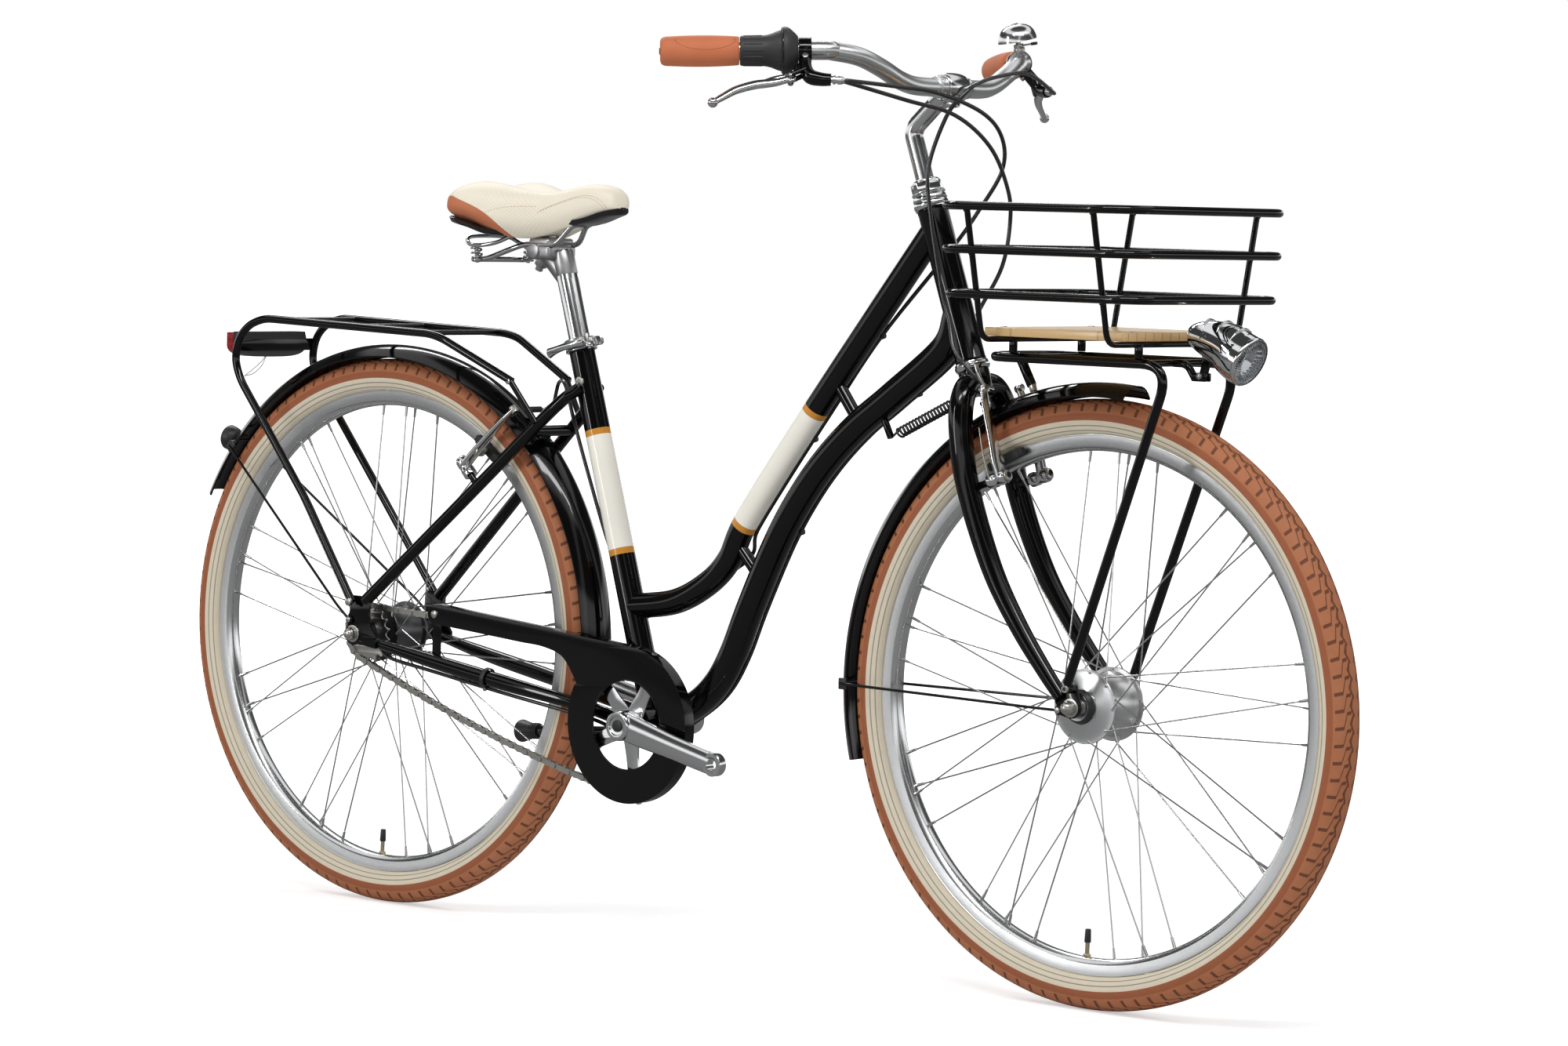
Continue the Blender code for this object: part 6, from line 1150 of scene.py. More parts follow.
red_glass = Finish("red_reflector", roughness=0.12, IOR=1.49, Coat_Weight=0.6, Coat_Roughness=0.04)
facets = red_glass.cells(red_glass.place(), 420)
red_glass.set(Base_Color=red_glass.mix(facets.past(0.35, 0.3), (0.5, 0.01, 0.012), (0.2, 0.003, 0.005)))
red_glass.bump(facets, 0.0006, 0.8)
reflector_at = rear(-0.31, 0.2385)
reflector_out = Vector((-1, 0, 0.15)).normalized()
housing = turned([(0, -0.0125), (0.006, -0.0122), (0.0115, -0.0095), (0.015, -0.0045), (0.0164, 0.001),
                  (0.0168, 0.005), (0.016, 0.0062), (0.015, 0.0058), (0, 0.0058)], reflector_at,
                 reflector_out, plastic, 48)
lens = turned([(0.0149, 0.0056), (0.014, 0.0068), (0.008, 0.0078), (0, 0.0082)], reflector_at, reflector_out,
              red_glass, 48)
arm = block(reflector_at - 0.0135 * reflector_out + Vector((0.004, 0, 0.003)), (0.016, 0.01, 0.006), plastic,
            (0, radians(-35), 0), 0.0015)
nut = rod(on_mudguard(REAR_HUB, 139, 0.0006), on_mudguard(REAR_HUB, 139, -0.004), 0.0042, zinc, 6,
          edge=0.0005)
fitted("rear_reflector", "frame", housing, lens, arm, nut, nodes=())


# Stem and handlebar: a quill stem of polished aluminium with a kink and a fluted front, a ball
# clamp with its bolt below, and a swept aluminium bar with a thicker sleeve in the clamp.
BAR_CENTRE = steer(0.7575, 0.0703)
BAR_RADIUS = 0.0111
BAR_SHAPE = [(0, 0, 0), (0.06, -0.003, 0), (0.09, -0.006, 0.006), (0.12, -0.01, 0.019), (0.15, -0.019, 0.031),
             (0.1775, -0.0355, 0.0362), (0.1975, -0.0482, 0.0366)]
BAR_END = Vector((-0.179, 0.315, 0.031))
LEVER_TILT = radians(48)


def bar_end(side):
    return BAR_CENTRE + Vector((BAR_END.x, side * BAR_END.y, BAR_END.z))


def bar_heading(side):
    """The direction of the straight grip length, from its end inward."""
    _, last_x, last_z = BAR_SHAPE[-1]
    return (BAR_CENTRE + Vector((last_x, side * BAR_SHAPE[-1][0], last_z)) - bar_end(side)).normalized()


def on_bar(side, distance, reach=0):
    """A point at a distance from the bar's end, set off ahead and down by the lever's tilt."""
    heading = bar_heading(side)
    ahead = Vector((abs(heading.y), -heading.x * heading.y / abs(heading.y), 0)).normalized()
    away = cos(LEVER_TILT) * ahead - sin(LEVER_TILT) * UP
    return bar_end(side) + distance * heading + reach * away


kink = steer(0.7294, 0)
toward_bar = (BAR_CENTRE - kink).normalized()
quill = tube(rounded_run([steer(0.6, 0), kink, BAR_CENTRE - 0.01 * toward_bar], 0.012, 5), 0.0111, polished,
             40)
flute = tube(rounded_run([steer(0.64, 0.0118), kink + 0.0118 * STEER_AHEAD - 0.006 * STEER_UP,
                          BAR_CENTRE - 0.017 * toward_bar - 0.01 * UP], 0.01, 4), 0.003, polished, 20)
carve(quill, flute)
ball_profile = [(0, -0.019), (0.0146, -0.019), (0.0152, -0.0186)]
ball_profile += [(0.0152 + 0.0026 * cos(radians(10 * k)), 0.0186 * sin(radians(10 * k)))
                 for k in range(-8, 9)]
ball_profile += [(0.0152, 0.0186), (0.0146, 0.019), (0, 0.019)]
ball = turned(ball_profile, BAR_CENTRE, LEFT, polished, 64)
neck = pin(BAR_CENTRE, toward_bar, -0.03, -0.006, 0.012, polished, 40, 0.0148, edge=0.0008)
carve(ball, neck, operation="UNION")
slit = block(BAR_CENTRE + Vector((0.002, 0, -0.018)), (0.0016, 0.05, 0.02), polished, (0, radians(-12), 0),
             0.0001)
bore = pin(BAR_CENTRE, LEFT, -0.05, 0.05, 0.0127 + GAP, polished, 48)
carve(ball, slit, bore)
bolt_at = BAR_CENTRE + Vector((0.0045, 0, -0.019))
clamp_lug = rod(bolt_at - Vector((0.016, 0, -0.0006)), bolt_at + Vector((0.0045, 0, 0.0004)), 0.0052,
                polished, 32, edge=0.001)
clamp_bolt = turned([(0.0022, 0.004), (0.0022, 0.0075), (0.004, 0.0075), (0.0042, 0.007), (0.0042, 0.0044)],
                    bolt_at, AHEAD, zinc, 32)
socket = pin(bolt_at, AHEAD, 0.0044, 0.0052, 0.0023, plastic, 6)
fitted("stem", "steering", quill, ball, clamp_lug, clamp_bolt, socket, angle=32)

bar_left = [BAR_CENTRE + Vector((x, y, z)) for y, x, z in BAR_SHAPE] + [bar_end(1)]
bar_knots = flipped(bar_left[:0:-1]) + bar_left
bar = bent_tube(bar_knots, satin, steps=6, radius=BAR_RADIUS, sides=40)
sleeve = [pin(BAR_CENTRE, LEFT, -0.03, 0.03, 0.0127, satin, 48, edge=0.0007)]
for side in (1, -1):
    for inset in (0.0225, 0.0262):
        middle = BAR_CENTRE + side * inset * LEFT
        sleeve.append(turned([(0.012, -0.0005), (0.0129, -0.0004), (0.0131, 0), (0.0129, 0.0004),
                              (0.012, 0.0005)], middle, LEFT, polished, 48))
fitted("handlebar", "steering", bar, *sleeve)


# Grips and shifter: soft brown rubber grips with an oval thumb pad outlined in them, the right
# one short, to make room for the ribbed twist sleeve of the gear shifter.
GRIP_BORE = 0.0117


def on_sleeve(side, start, profile, finish, steps=64, edge=0):
    """A turned piece round the grip length; heights run inward from start."""
    return turned(profile, on_bar(side, start), bar_heading(side), finish, steps, edge)


def grip(name, side, length):
    rubber = rubbery(f"{name}_rubber", (0.46, 0.135, 0.055), 0.62, 520, 0.00005, Specular_IOR_Level=0.35)
    middle = on_bar(side, 0.55 * length)
    heading = bar_heading(side)
    x, y, z = rubber.axes(rubber.place(middle))
    along = heading.x * x + heading.y * y + heading.z * z
    across = heading.cross(Vector((0.5, -0.6, 0.8))).normalized()
    over = across.x * x + across.y * y + across.z * z
    oval = ((along / (0.4 * length)) ** 2 + (over / 0.0125) ** 2) ** 0.5
    groove = oval.within(0.975, 1.005, 0.02)
    base = rubber.shader.inputs["Base Color"].links[0].from_socket
    # The groove round the thumb pad is painted a darker brown: painted shade in the groove, beside its bump.
    rubber.set(Base_Color=rubber.mix(groove * 0.5, base, (0.22, 0.055, 0.022)))
    grain = rubber.noise(rubber.place(), 520, 2)
    rubber.bump(0.06 * grain + 0.5 * (1 - oval.past(0.99, 0.03)) - 0.5 * groove, 0.0006, 0.7)
    profile = [(0, -0.004), (0.011, -0.004), (0.014, -0.0032), (0.016, -0.0012), (0.017, 0.002)]
    profile += [(0.017 + 0.0013 * sin(pi * k / 10), 0.002 + (length - 0.0045) * k / 10) for k in range(1, 10)]
    profile += [(0.0168, length - 0.0012), (0.0158, length), (GRIP_BORE, length), (GRIP_BORE, -GAP),
                (0, -GAP)]
    body = on_sleeve(side, 0, profile, rubber)
    plug = on_sleeve(side, 0, [(0, -0.0052), (0.0035, -0.005), (0.0046, -0.0038), (0, -0.0036)], plastic, 32)
    fitted(name, "steering", body, plug, angle=60)


grip("grip_right", -1, 0.088)
grip("grip_left", 1, 0.132)
SHIFTER_START = 0.089
soft_black = rubbery("soft_black_rubber", (0.02, 0.02, 0.021), 0.55, 600, 0.00006)
sleeve_profile = [(GRIP_BORE, 0), (0.016, 0), (0.0172, 0.001), (0.0176, 0.003), (0.0178, 0.026),
                  (0.0184, 0.031), (0.02, 0.037), (0.0225, 0.043), (0.0238, 0.047), (0.024, 0.048),
                  (GRIP_BORE, 0.048)]
twist = [on_sleeve(-1, SHIFTER_START, sleeve_profile, soft_black, 72)]
heading = bar_heading(-1)
across = heading.cross(UP).normalized()
over = heading.cross(across)
for i in range(14):
    out = cos(tau * i / 14) * across + sin(tau * i / 14) * over
    start = on_bar(-1, SHIFTER_START + 0.004) + 0.0174 * out
    twist.append(rod(start, start + 0.022 * heading + 0.0003 * out, 0.0009, soft_black, 10, edge=0.0003))
fitted("twist_shifter", "shifter", *twist)


# Brake levers: a black clamp with its angled body and silver barrel adjuster, and a polished
# blade with a forked root and a ball at its tip; the right body is built up with the shifter's.
CLAMP_START = 0.1573
CLAMP_MIDDLE = CLAMP_START + 0.0075
LEVER_PIVOT_AT = 0.148
LEVER_PIVOT_REACH = 0.044
gloss_black = gloss_paint("gloss_black_cast")


def lever_axis(side):
    away = (on_bar(side, 0, 1) - on_bar(side, 0)).normalized()
    return bar_heading(side).cross(away).normalized()


def flattened(piece, centre, normal, share):
    """The piece pressed flatter along a direction."""
    for vertex in piece.data.vertices:
        vertex.co -= (1 - share) * (vertex.co - centre).dot(normal) * normal
    return piece


def lever_body(name, side):
    axis = lever_axis(side)
    made = [on_sleeve(side, CLAMP_START, [(GRIP_BORE, 0), (0.0155, 0), (0.0155, 0.015), (GRIP_BORE, 0.015)],
                      gloss_black, 56, edge=0.0008)]
    if side < 0:
        collar = [(GRIP_BORE, 0), (0.0258, 0), (0.0274, 0.001), (0.028, 0.004), (0.0272, 0.0075),
                  (0.0255, 0.0105), (0.02, 0.0165), (0.0165, 0.0194), (GRIP_BORE, 0.0194)]
        stripe = [(0.0262, 0.0008), (0.0284, 0.0014), (0.0284, 0.002), (0.0262, 0.0026)]
        outlet = on_bar(side, CLAMP_START - 0.006) + 0.016 * Vector((0.25, 0, -0.97))
        made += [on_sleeve(side, CLAMP_START - 0.02, collar, soft_black, 72),
                 on_sleeve(side, CLAMP_START - 0.02, stripe, gloss_black, 72),
                 pin(outlet, Vector((0.25, 0, -0.97)), 0, 0.009, 0.0046, plastic, 24, 0.0036, edge=0.0006)]
    arm = [(0, 0.0125, 0.0072), (0.001, 0.029, 0.0076), (0.006, 0.0415, 0.0088), (0.018, 0.046, 0.008),
           (0.03, 0.047, 0.007)]
    knots = [(on_bar(side, CLAMP_MIDDLE + inward, reach), size) for inward, reach, size in arm]
    made.append(bent_tube(knots, gloss_black, steps=7, sides=28))
    pivot = on_bar(side, LEVER_PIVOT_AT, LEVER_PIVOT_REACH)
    root = on_bar(side, CLAMP_MIDDLE, 0.034)
    bolt = on_bar(side, CLAMP_MIDDLE, 0.0165) - 0.0105 * axis
    made += [rod(pivot + shift * axis, root + 0.85 * shift * axis, 0.003, gloss_black, 20)
             for shift in (0.0054, -0.0062)]
    made += [pin(pivot, axis, -0.0085, 0.0085, 0.0022, zinc, 20, edge=0.0004),
             pin(pivot, axis, 0.008, 0.0098, 0.0036, zinc, 24, edge=0.0005),
             pin(bolt, axis, 0, 0.004, 0.0036, zinc, 24, edge=0.0005)]
    start, end = on_bar(side, CLAMP_MIDDLE + 0.029, 0.0468), on_bar(side, CLAMP_MIDDLE + 0.046, 0.0485)
    barrel = [(0, 0), (0.0036, 0), (0.0036, 0.003), (0.0052, 0.0032), (0.0053, 0.0062), (0.004, 0.0066),
              (0.004, 0.0085), (0.005, 0.0088), (0.005, 0.0115), (0.0046, 0.014), (0.0036, 0.0158),
              (0.003, 0.0172), (0, 0.0172)]
    made.append(turned(barrel, start, end - start, satin, 12))
    fitted(name, "steering", *made)


def brake_lever(name, side, body):
    axis = lever_axis(side)
    shape = [(0.144, 0.046, 0.0046), (0.13, 0.0505, 0.0052), (0.118, 0.0525, 0.0056), (0.105, 0.0548, 0.0056),
             (0.085, 0.0622, 0.0052), (0.072, 0.0712, 0.0046), (0.063, 0.078, 0.0042),
             (0.0585, 0.0812, 0.004)]
    blade = bent_tube([(on_bar(side, at, reach), size) for at, reach, size in shape], polished, steps=7,
                      sides=28)
    flattened(blade, on_bar(side, 0.1, 0.056), axis, 0.8)
    tip = on_bar(side, 0.0578, 0.0818)
    bpy.ops.object.select_all(action="DESELECT")
    bpy.ops.mesh.primitive_uv_sphere_add(segments=28, ring_count=16, radius=0.006, location=tip)
    knob = fixed(bpy.context.object, polished)
    pivot = on_bar(side, LEVER_PIVOT_AT, LEVER_PIVOT_REACH)
    eye = pin(pivot, axis, -0.003, 0.002, 0.0062, polished, 32, edge=0.0006)
    carve(eye, pin(pivot, axis, -0.012, 0.012, 0.0026, polished, 24))
    branch = bent_tube([(on_bar(side, 0.118, 0.05), 0.0036), (on_bar(side, 0.13, 0.044), 0.0032),
                        (on_bar(side, 0.142, 0.041), 0.003)], polished, steps=6, sides=20)
    flattened(branch, on_bar(side, 0.13, 0.045), axis, 0.62)
    fitted(name, body, eye, blade, knob, branch, angle=45)


lever_body("lever_body_left", 1)
lever_body("lever_body_right", -1)
brake_lever("brake_lever_left", 1, "lever_left")
brake_lever("brake_lever_right", -1, "lever_right")


# Bell: a spun chromed dome on a post that is clamped to the bar, with a screw through its top
# and a thumb striker that swings on the post below the rim.
BELL_ROOT = BAR_CENTRE + Vector((-0.04185, 0.1875, 0.0364))
BELL_HEADING = Vector((-0.0127, 0.02, 0.0004)).normalized()
BELL_FOOT = BELL_ROOT + (BAR_RADIUS + 0.0012) * UP
BELL_AXIS = Vector((-0.1, -0.22, 1)).normalized()
STRIKER_AT = 0.0085
dome = [(0.0035, 0.035), (0.009, 0.0346), (0.014, 0.033), (0.0185, 0.0298), (0.0216, 0.0255),
        (0.0235, 0.0205), (0.0244, 0.016), (0.0245, 0.015), (0.0236, 0.015), (0.0226, 0.0205),
        (0.0205, 0.0252), (0.017, 0.0292), (0.013, 0.0318), (0.0035, 0.0336)]
bell_dome = turned(dome, BELL_FOOT, BELL_AXIS, polished, 96)
bell_post = turned([(0, 0), (0.007, 0), (0.007, 0.0058), (0.0032, 0.006), (0.0032, 0.034), (0.0042, 0.0348),
                    (0.0042, 0.0358), (0.003, 0.0368), (0, 0.037)], BELL_FOOT, BELL_AXIS, zinc, 32,
                   edge=0.0002)
bell_clamp = turned([(0.0121, -0.005), (0.0135, -0.005), (0.0137, -0.0044), (0.0137, 0.0044), (0.0135, 0.005),
                     (0.0121, 0.005)], BELL_ROOT, BELL_HEADING, zinc, 48)
fitted("bell", "steering", bell_dome, bell_post, bell_clamp)
striker_centre = BELL_FOOT + STRIKER_AT * BELL_AXIS
striker_out = BELL_AXIS.cross(Vector((0.35, -1, 0))).normalized()
striker_hub = turned([(0.0036, -0.0022), (0.0062, -0.0022), (0.0062, 0.0022), (0.0036, 0.0022)],
                     striker_centre, BELL_AXIS, zinc, 32, edge=0.0003)
striker_arm = pin(striker_centre, striker_out, 0.005, 0.018, 0.0012, zinc, 16)
roller = pin(striker_centre, striker_out, 0.016, 0.024, 0.0019, plastic, 24, edge=0.0005)
fitted("bell_striker", "striker", striker_hub, striker_arm, roller)


# Front carrier: one bent steel tube over the wheel from fork end to fork end, with two cross
# bars, a strip down to the mudguard, and a drop bracket that holds the lamp; painted black.
FRONT_RACK_HEIGHT = 0.403
FRONT_RACK_RADIUS = 0.0058
FRONT_RACK_HALF_WIDTH = 0.0675
LAMP_HINGE = front(0.134, 0.39)

rack_half = FRONT_RACK_HALF_WIDTH * LEFT
rack_top = front(0.136, FRONT_RACK_HEIGHT)
rack_foot = front(0.001, 0.0285)
rack_back = front(-0.133, FRONT_RACK_HEIGHT)
corners = [rack_foot - 0.0645 * LEFT, rack_top - rack_half, rack_back - rack_half, rack_back + rack_half,
           rack_top + rack_half, rack_foot + 0.0645 * LEFT]
parts = [tube(rounded_run(corners, 0.042, 10), FRONT_RACK_RADIUS, black, 28)]
for x in (-0.088, 0.092):
    place = front(x, FRONT_RACK_HEIGHT)
    parts.append(rod(place - rack_half, place + rack_half, 0.004, black, 24))
for side in (1, -1):
    eye = front(*CARRIER_EYELET, side * 0.067)
    inner = front(*CARRIER_EYELET, side * (FORK_OUTER + GAP))
    parts += [rod(eye, inner, 0.0058, black, 28, edge=0.0008),
              turned([(0.0022, 0.0012), (0.0026, 0.0036), (0.004, 0.0036), (0.0045, 0.0028), (0.0045, 0),
                      (0, 0)], eye, side * LEFT, zinc, 28),
              pin(eye, LEFT, 0, side * 0.003, 0.0023, plastic, 6)]
screw_top = on_mudguard(FRONT_HUB, 106.7, -0.011)
parts += [rod(on_mudguard(FRONT_HUB, 106.7, -0.0012), screw_top, 0.0052, zinc, 6, edge=0.0006),
          rod(rack_back + Vector((0.003, 0, -0.002)), screw_top - 0.003 * UP, 0.006, black, 24, edge=0.0008)]
stalk_top = front(0.105, FRONT_RACK_HEIGHT)
drop_end = LAMP_HINGE + Vector((-0.012, 0, -0.003))
parts.append(tube(rounded_run([front(0.092, FRONT_RACK_HEIGHT), stalk_top + Vector((0.006, 0, 0)), drop_end],
                              0.01), 0.0045, black, 24))
for side in (1, -1):
    parts += [block(LAMP_HINGE + Vector((-0.003, side * 0.0043, -0.0015)), (0.02, 0.004, 0.01), black,
                    edge=0.0014), pin(LAMP_HINGE, LEFT, side * 0.0062, side * 0.0095, 0.0042, zinc, 6,
                                      edge=0.0006)]
parts.append(pin(LAMP_HINGE, LEFT, -0.009, 0.009, 0.0025, zinc, 20))
fitted("front_carrier", "steering", *parts)


# Basket: three rings of steel tube welded to two bent uprights, painted black, on four feet
# clamped to the carrier; a bamboo board is screwed down on the uprights inside it.
BASKET_LENGTH = 0.281
BASKET_HEIGHT = 0.578
RING_TUBE_RADIUS = 0.005
UPRIGHT_RADIUS = 0.0036
BOARD_TOP = 0.4385
BOARD_THICKNESS = 0.01
BASKET_RINGS = ((BASKET_HEIGHT, 0.168, 0.05), (BASKET_HEIGHT - 0.05, 0.156, 0.035),
                (BASKET_HEIGHT - 0.1015, 0.145, 0.032))

parts = []
for height, half_width, corner in BASKET_RINGS:
    points = []
    for turn, (sx, sy) in enumerate(((1, 1), (-1, 1), (-1, -1), (1, -1))):
        centre = (sx * (BASKET_LENGTH / 2 - corner), sy * (half_width - corner))
        points += [front(x, height, y) for x, y in arc(centre, corner, 90 * turn, 90 * turn + 90, 12)]
    parts.append(tube(points, RING_TUBE_RADIUS, black, 24, closed=True))
inset = RING_TUBE_RADIUS + UPRIGHT_RADIUS - 0.0022
wire_height = BOARD_TOP - BOARD_THICKNESS - UPRIGHT_RADIUS - GAP
top_half, low_half = BASKET_RINGS[0][1], BASKET_RINGS[2][1]
slope = (top_half - low_half) / (BASKET_RINGS[0][0] - BASKET_RINGS[2][0])
foot_half = low_half - inset - slope * (BASKET_RINGS[2][0] - wire_height)
for x in (-0.09, 0.09):
    ends = [front(x, BASKET_HEIGHT - 0.001, -(top_half - inset)), front(x, wire_height, -foot_half),
            front(x, wire_height, foot_half), front(x, BASKET_HEIGHT - 0.001, top_half - inset)]
    parts.append(tube(rounded_run(ends, 0.015, 8), UPRIGHT_RADIUS, black, 20))
    for side in (1, -1):
        low = front(x, FRONT_RACK_HEIGHT + FRONT_RACK_RADIUS + GAP, side * (FRONT_RACK_HALF_WIDTH - 0.001))
        parts.append(rod(low, Vector((low.x, low.y, REAR_HUB.z + wire_height + 0.001)), 0.005, black, 24,
                         edge=0.0008))
        for height, half_width, _ in BASKET_RINGS:
            bead = front(x, height - RING_TUBE_RADIUS, side * (half_width - inset + 0.0012))
            parts.append(pin(bead, AHEAD, -0.003, 0.003, 0.0024, black, 12, edge=0.0012))
fitted("basket", "steering", *parts)

bamboo = Finish("bamboo_board", roughness=0.35, Coat_Weight=0.35, Coat_Roughness=0.15)
place = bamboo.place(front(0, BOARD_TOP))
x, y, z = bamboo.axes(place)
lath = (y + 0.2) / 0.0165
strip_number = lath.apply("FLOOR", lath)
shade = (strip_number * 12.9898).apply("SINE", strip_number * 12.9898) * 0.5 + 0.5
fibre = bamboo.noise(bamboo.place(stretch=(6, 160, 60)), 8, 4, 0.6)
joint = (lath - strip_number).within(0.03, 0.97, 0.03)
knuckle_row = (x * 8 + shade * 7)
knuckle = 1 - knuckle_row.apply("PINGPONG", knuckle_row, 0.5).past(0.012, 0.01)
golden = bamboo.mix(shade, (0.6, 0.36, 0.135), (0.73, 0.47, 0.2))
golden = bamboo.mix(fibre * 0.55, golden, (0.8, 0.56, 0.28))
golden = bamboo.mix(knuckle * 0.45, golden, (0.34, 0.18, 0.06))
bamboo.set(Base_Color=bamboo.mix(1 - joint, golden, (0.25, 0.12, 0.045)), Roughness=0.28 + 0.18 * fibre)
bamboo.bump(joint + 0.15 * fibre - 0.2 * knuckle, 0.0005, 0.6)
board_middle = front(0, BOARD_TOP - BOARD_THICKNESS / 2)
board = block(board_middle, (0.2, 0.22, BOARD_THICKNESS), bamboo, edge=0.0018, segments=4)
heads = []
for x in (-0.09, 0.09):
    for y in (-0.085, 0.085):
        heads.append(turned([(0, 0.0009), (0.003, 0.0008), (0.0045, 0.0003), (0.0048, -0.0006), (0, -0.0006)],
                            front(x, BOARD_TOP, y), UP, zinc, 28))
fitted("basket_floor", "steering", board, *heads)


# Headlight: a chromed steel drop with three louvre steps over its back, a clear lens set in a
# rolled ring, and behind it a bright bowl with ribs round its edge and the bulb in its middle.
LAMP_SHAPE = [(0.112, 0.436, 0.003), (0.118, 0.4365, 0.012), (0.13, 0.435, 0.018), (0.148, 0.431, 0.0235),
              (0.168, 0.424, 0.028), (0.184, 0.4142, 0.03), (0.196, 0.4088, 0.03)]
mouth = front(*LAMP_SHAPE[-1][:2])
lamp_ahead = (mouth - front(*LAMP_SHAPE[-2][:2])).normalized()
mirror = bright_metal("lamp_chrome", (0.82, 0.83, 0.84), 0.045, 0.2)
lamp_shell = bent_tube([(front(x, z), size) for x, z, size in LAMP_SHAPE], mirror, steps=8, sides=64)
bowl_room = turned([(0, 0.002), (0.0272, 0.002), (0.0268, -0.003), (0.024, -0.011), (0.018, -0.018),
                    (0.008, -0.0225), (0, -0.023)], mouth, lamp_ahead, mirror, 64)
carve(lamp_shell, bowl_room)
louvres = []
for share, size, width in ((0.44, 0.0252, 0.9), (0.6, 0.0279, 1), (0.76, 0.0297, 1.05)):
    path = smooth_path([Vector((*front(x, z), size)) for x, z, size in LAMP_SHAPE], 10)
    at = path[int(share * (len(path) - 1))]
    after = path[int(share * (len(path) - 1)) + 1]
    along = (after.xyz - at.xyz).normalized()
    upward = LEFT.cross(along)
    upward = upward if upward.z > 0 else -upward
    ridge, sizes = [], []
    for k in range(17):
        angle = radians(35 + 110 * k / 16)
        ridge.append(at.xyz + (at.w - 0.0004) * (cos(angle) * LEFT + sin(angle) * upward)
                     - 0.004 * sin(pi * k / 16) * along)
        sizes.append(0.0003 + 0.0017 * sin(pi * k / 16) ** 0.7)
    louvres.append(tube(ridge, sizes, mirror, 16))
ring = turned([(0.0274, -0.0016), (0.0298, -0.0022), (0.0303, -0.0006), (0.0302, 0.0016), (0.0292, 0.003),
               (0.028, 0.0032), (0.0276, 0.002)], mouth, lamp_ahead, mirror, 80)
tab = block((LAMP_HINGE + front(0.142, 0.418)) / 2 + Vector((0, 0, 0.002)), (0.011, 0.0038, 0.036), black,
            (0, radians(14), 0), 0.0012)
fitted("headlight", "lamp", lamp_shell, *louvres, ring, tab, angle=40)

bowl_metal = bright_metal("reflector_bowl", (0.7, 0.71, 0.73), 0.1, 0.3)
x, y, z = bowl_metal.axes(bowl_metal.place(mouth))
upward = LEFT.cross(lamp_ahead)
height = upward.x * x + upward.y * y + upward.z * z
spoke = y.apply("ARCTAN2", y, height) * 26
bowl_radius = (y * y + height * height) ** 0.5
ribs = spoke.apply("SINE", spoke) * bowl_radius.past(0.0205, 0.001)
bowl_metal.bump(ribs, 0.0012, 0.9)
bowl = turned([(0.0266, -0.0002), (0.0262, -0.0034), (0.0222, -0.0052), (0.0205, -0.0068), (0.0186, -0.013),
               (0.014, -0.0182), (0.006, -0.0212), (0, -0.0216)], mouth, lamp_ahead, bowl_metal, 96)
bulb_glass = Finish("bulb_glass", roughness=0.12, Base_Color=(0.85, 0.84, 0.8), Specular_IOR_Level=0.7)
bulb_cloud = bulb_glass.noise(bulb_glass.place(), 260)
bulb_glass.set(Base_Color=bulb_glass.mix(bulb_cloud, (0.8, 0.78, 0.7), (0.92, 0.91, 0.88)))
bulb = turned([(0, -0.0212), (0.0042, -0.021), (0.0042, -0.015), (0.0036, -0.012), (0.002, -0.01),
               (0, -0.0096)], mouth, lamp_ahead, bulb_glass, 32)
fitted("lamp_inside", "lamp", bowl, bulb, nodes=(), angle=50)
clear = Finish("clear_lens", roughness=0.02, Transmission_Weight=1, IOR=1.46, Base_Color=(0.96, 0.98, 0.99))
x, y, z = clear.axes(clear.place(mouth))
height = upward.x * x + upward.y * y + upward.z * z
lens_radius = (y * y + height * height) ** 0.5
spoke = y.apply("ARCTAN2", y, height) * 52
haze = clear.noise(clear.place(), 60, 3)
clear.set(Roughness=0.02 + 0.05 * haze)
clear.bump(spoke.apply("SINE", spoke) * lens_radius.within(0.0195, 0.0262, 0.001), 0.0005, 0.7)
glass = [(0, 0.003), (0.02, 0.0022), (0.0272, 0.0006), (0.0276, 0.0014), (0.0262, 0.0034), (0.021, 0.0052),
         (0.012, 0.0064), (0, 0.0068)]
fitted("headlight_lens", "lamp", turned(glass, mouth, lamp_ahead, clear, 96), angle=60)


# Rim brakes: on each stud a polished forged arm with its return spring, a black pad in a
# holder of the same rubber beside the rim, and the curved cable guide with its rubber boot across the top.
PAD_GAP = 0.0024
PAD_THICKNESS = 0.01
pad_rubber = rubbery("brake_pad_rubber", (0.018, 0.018, 0.019), 0.7, 300, 0.0001)


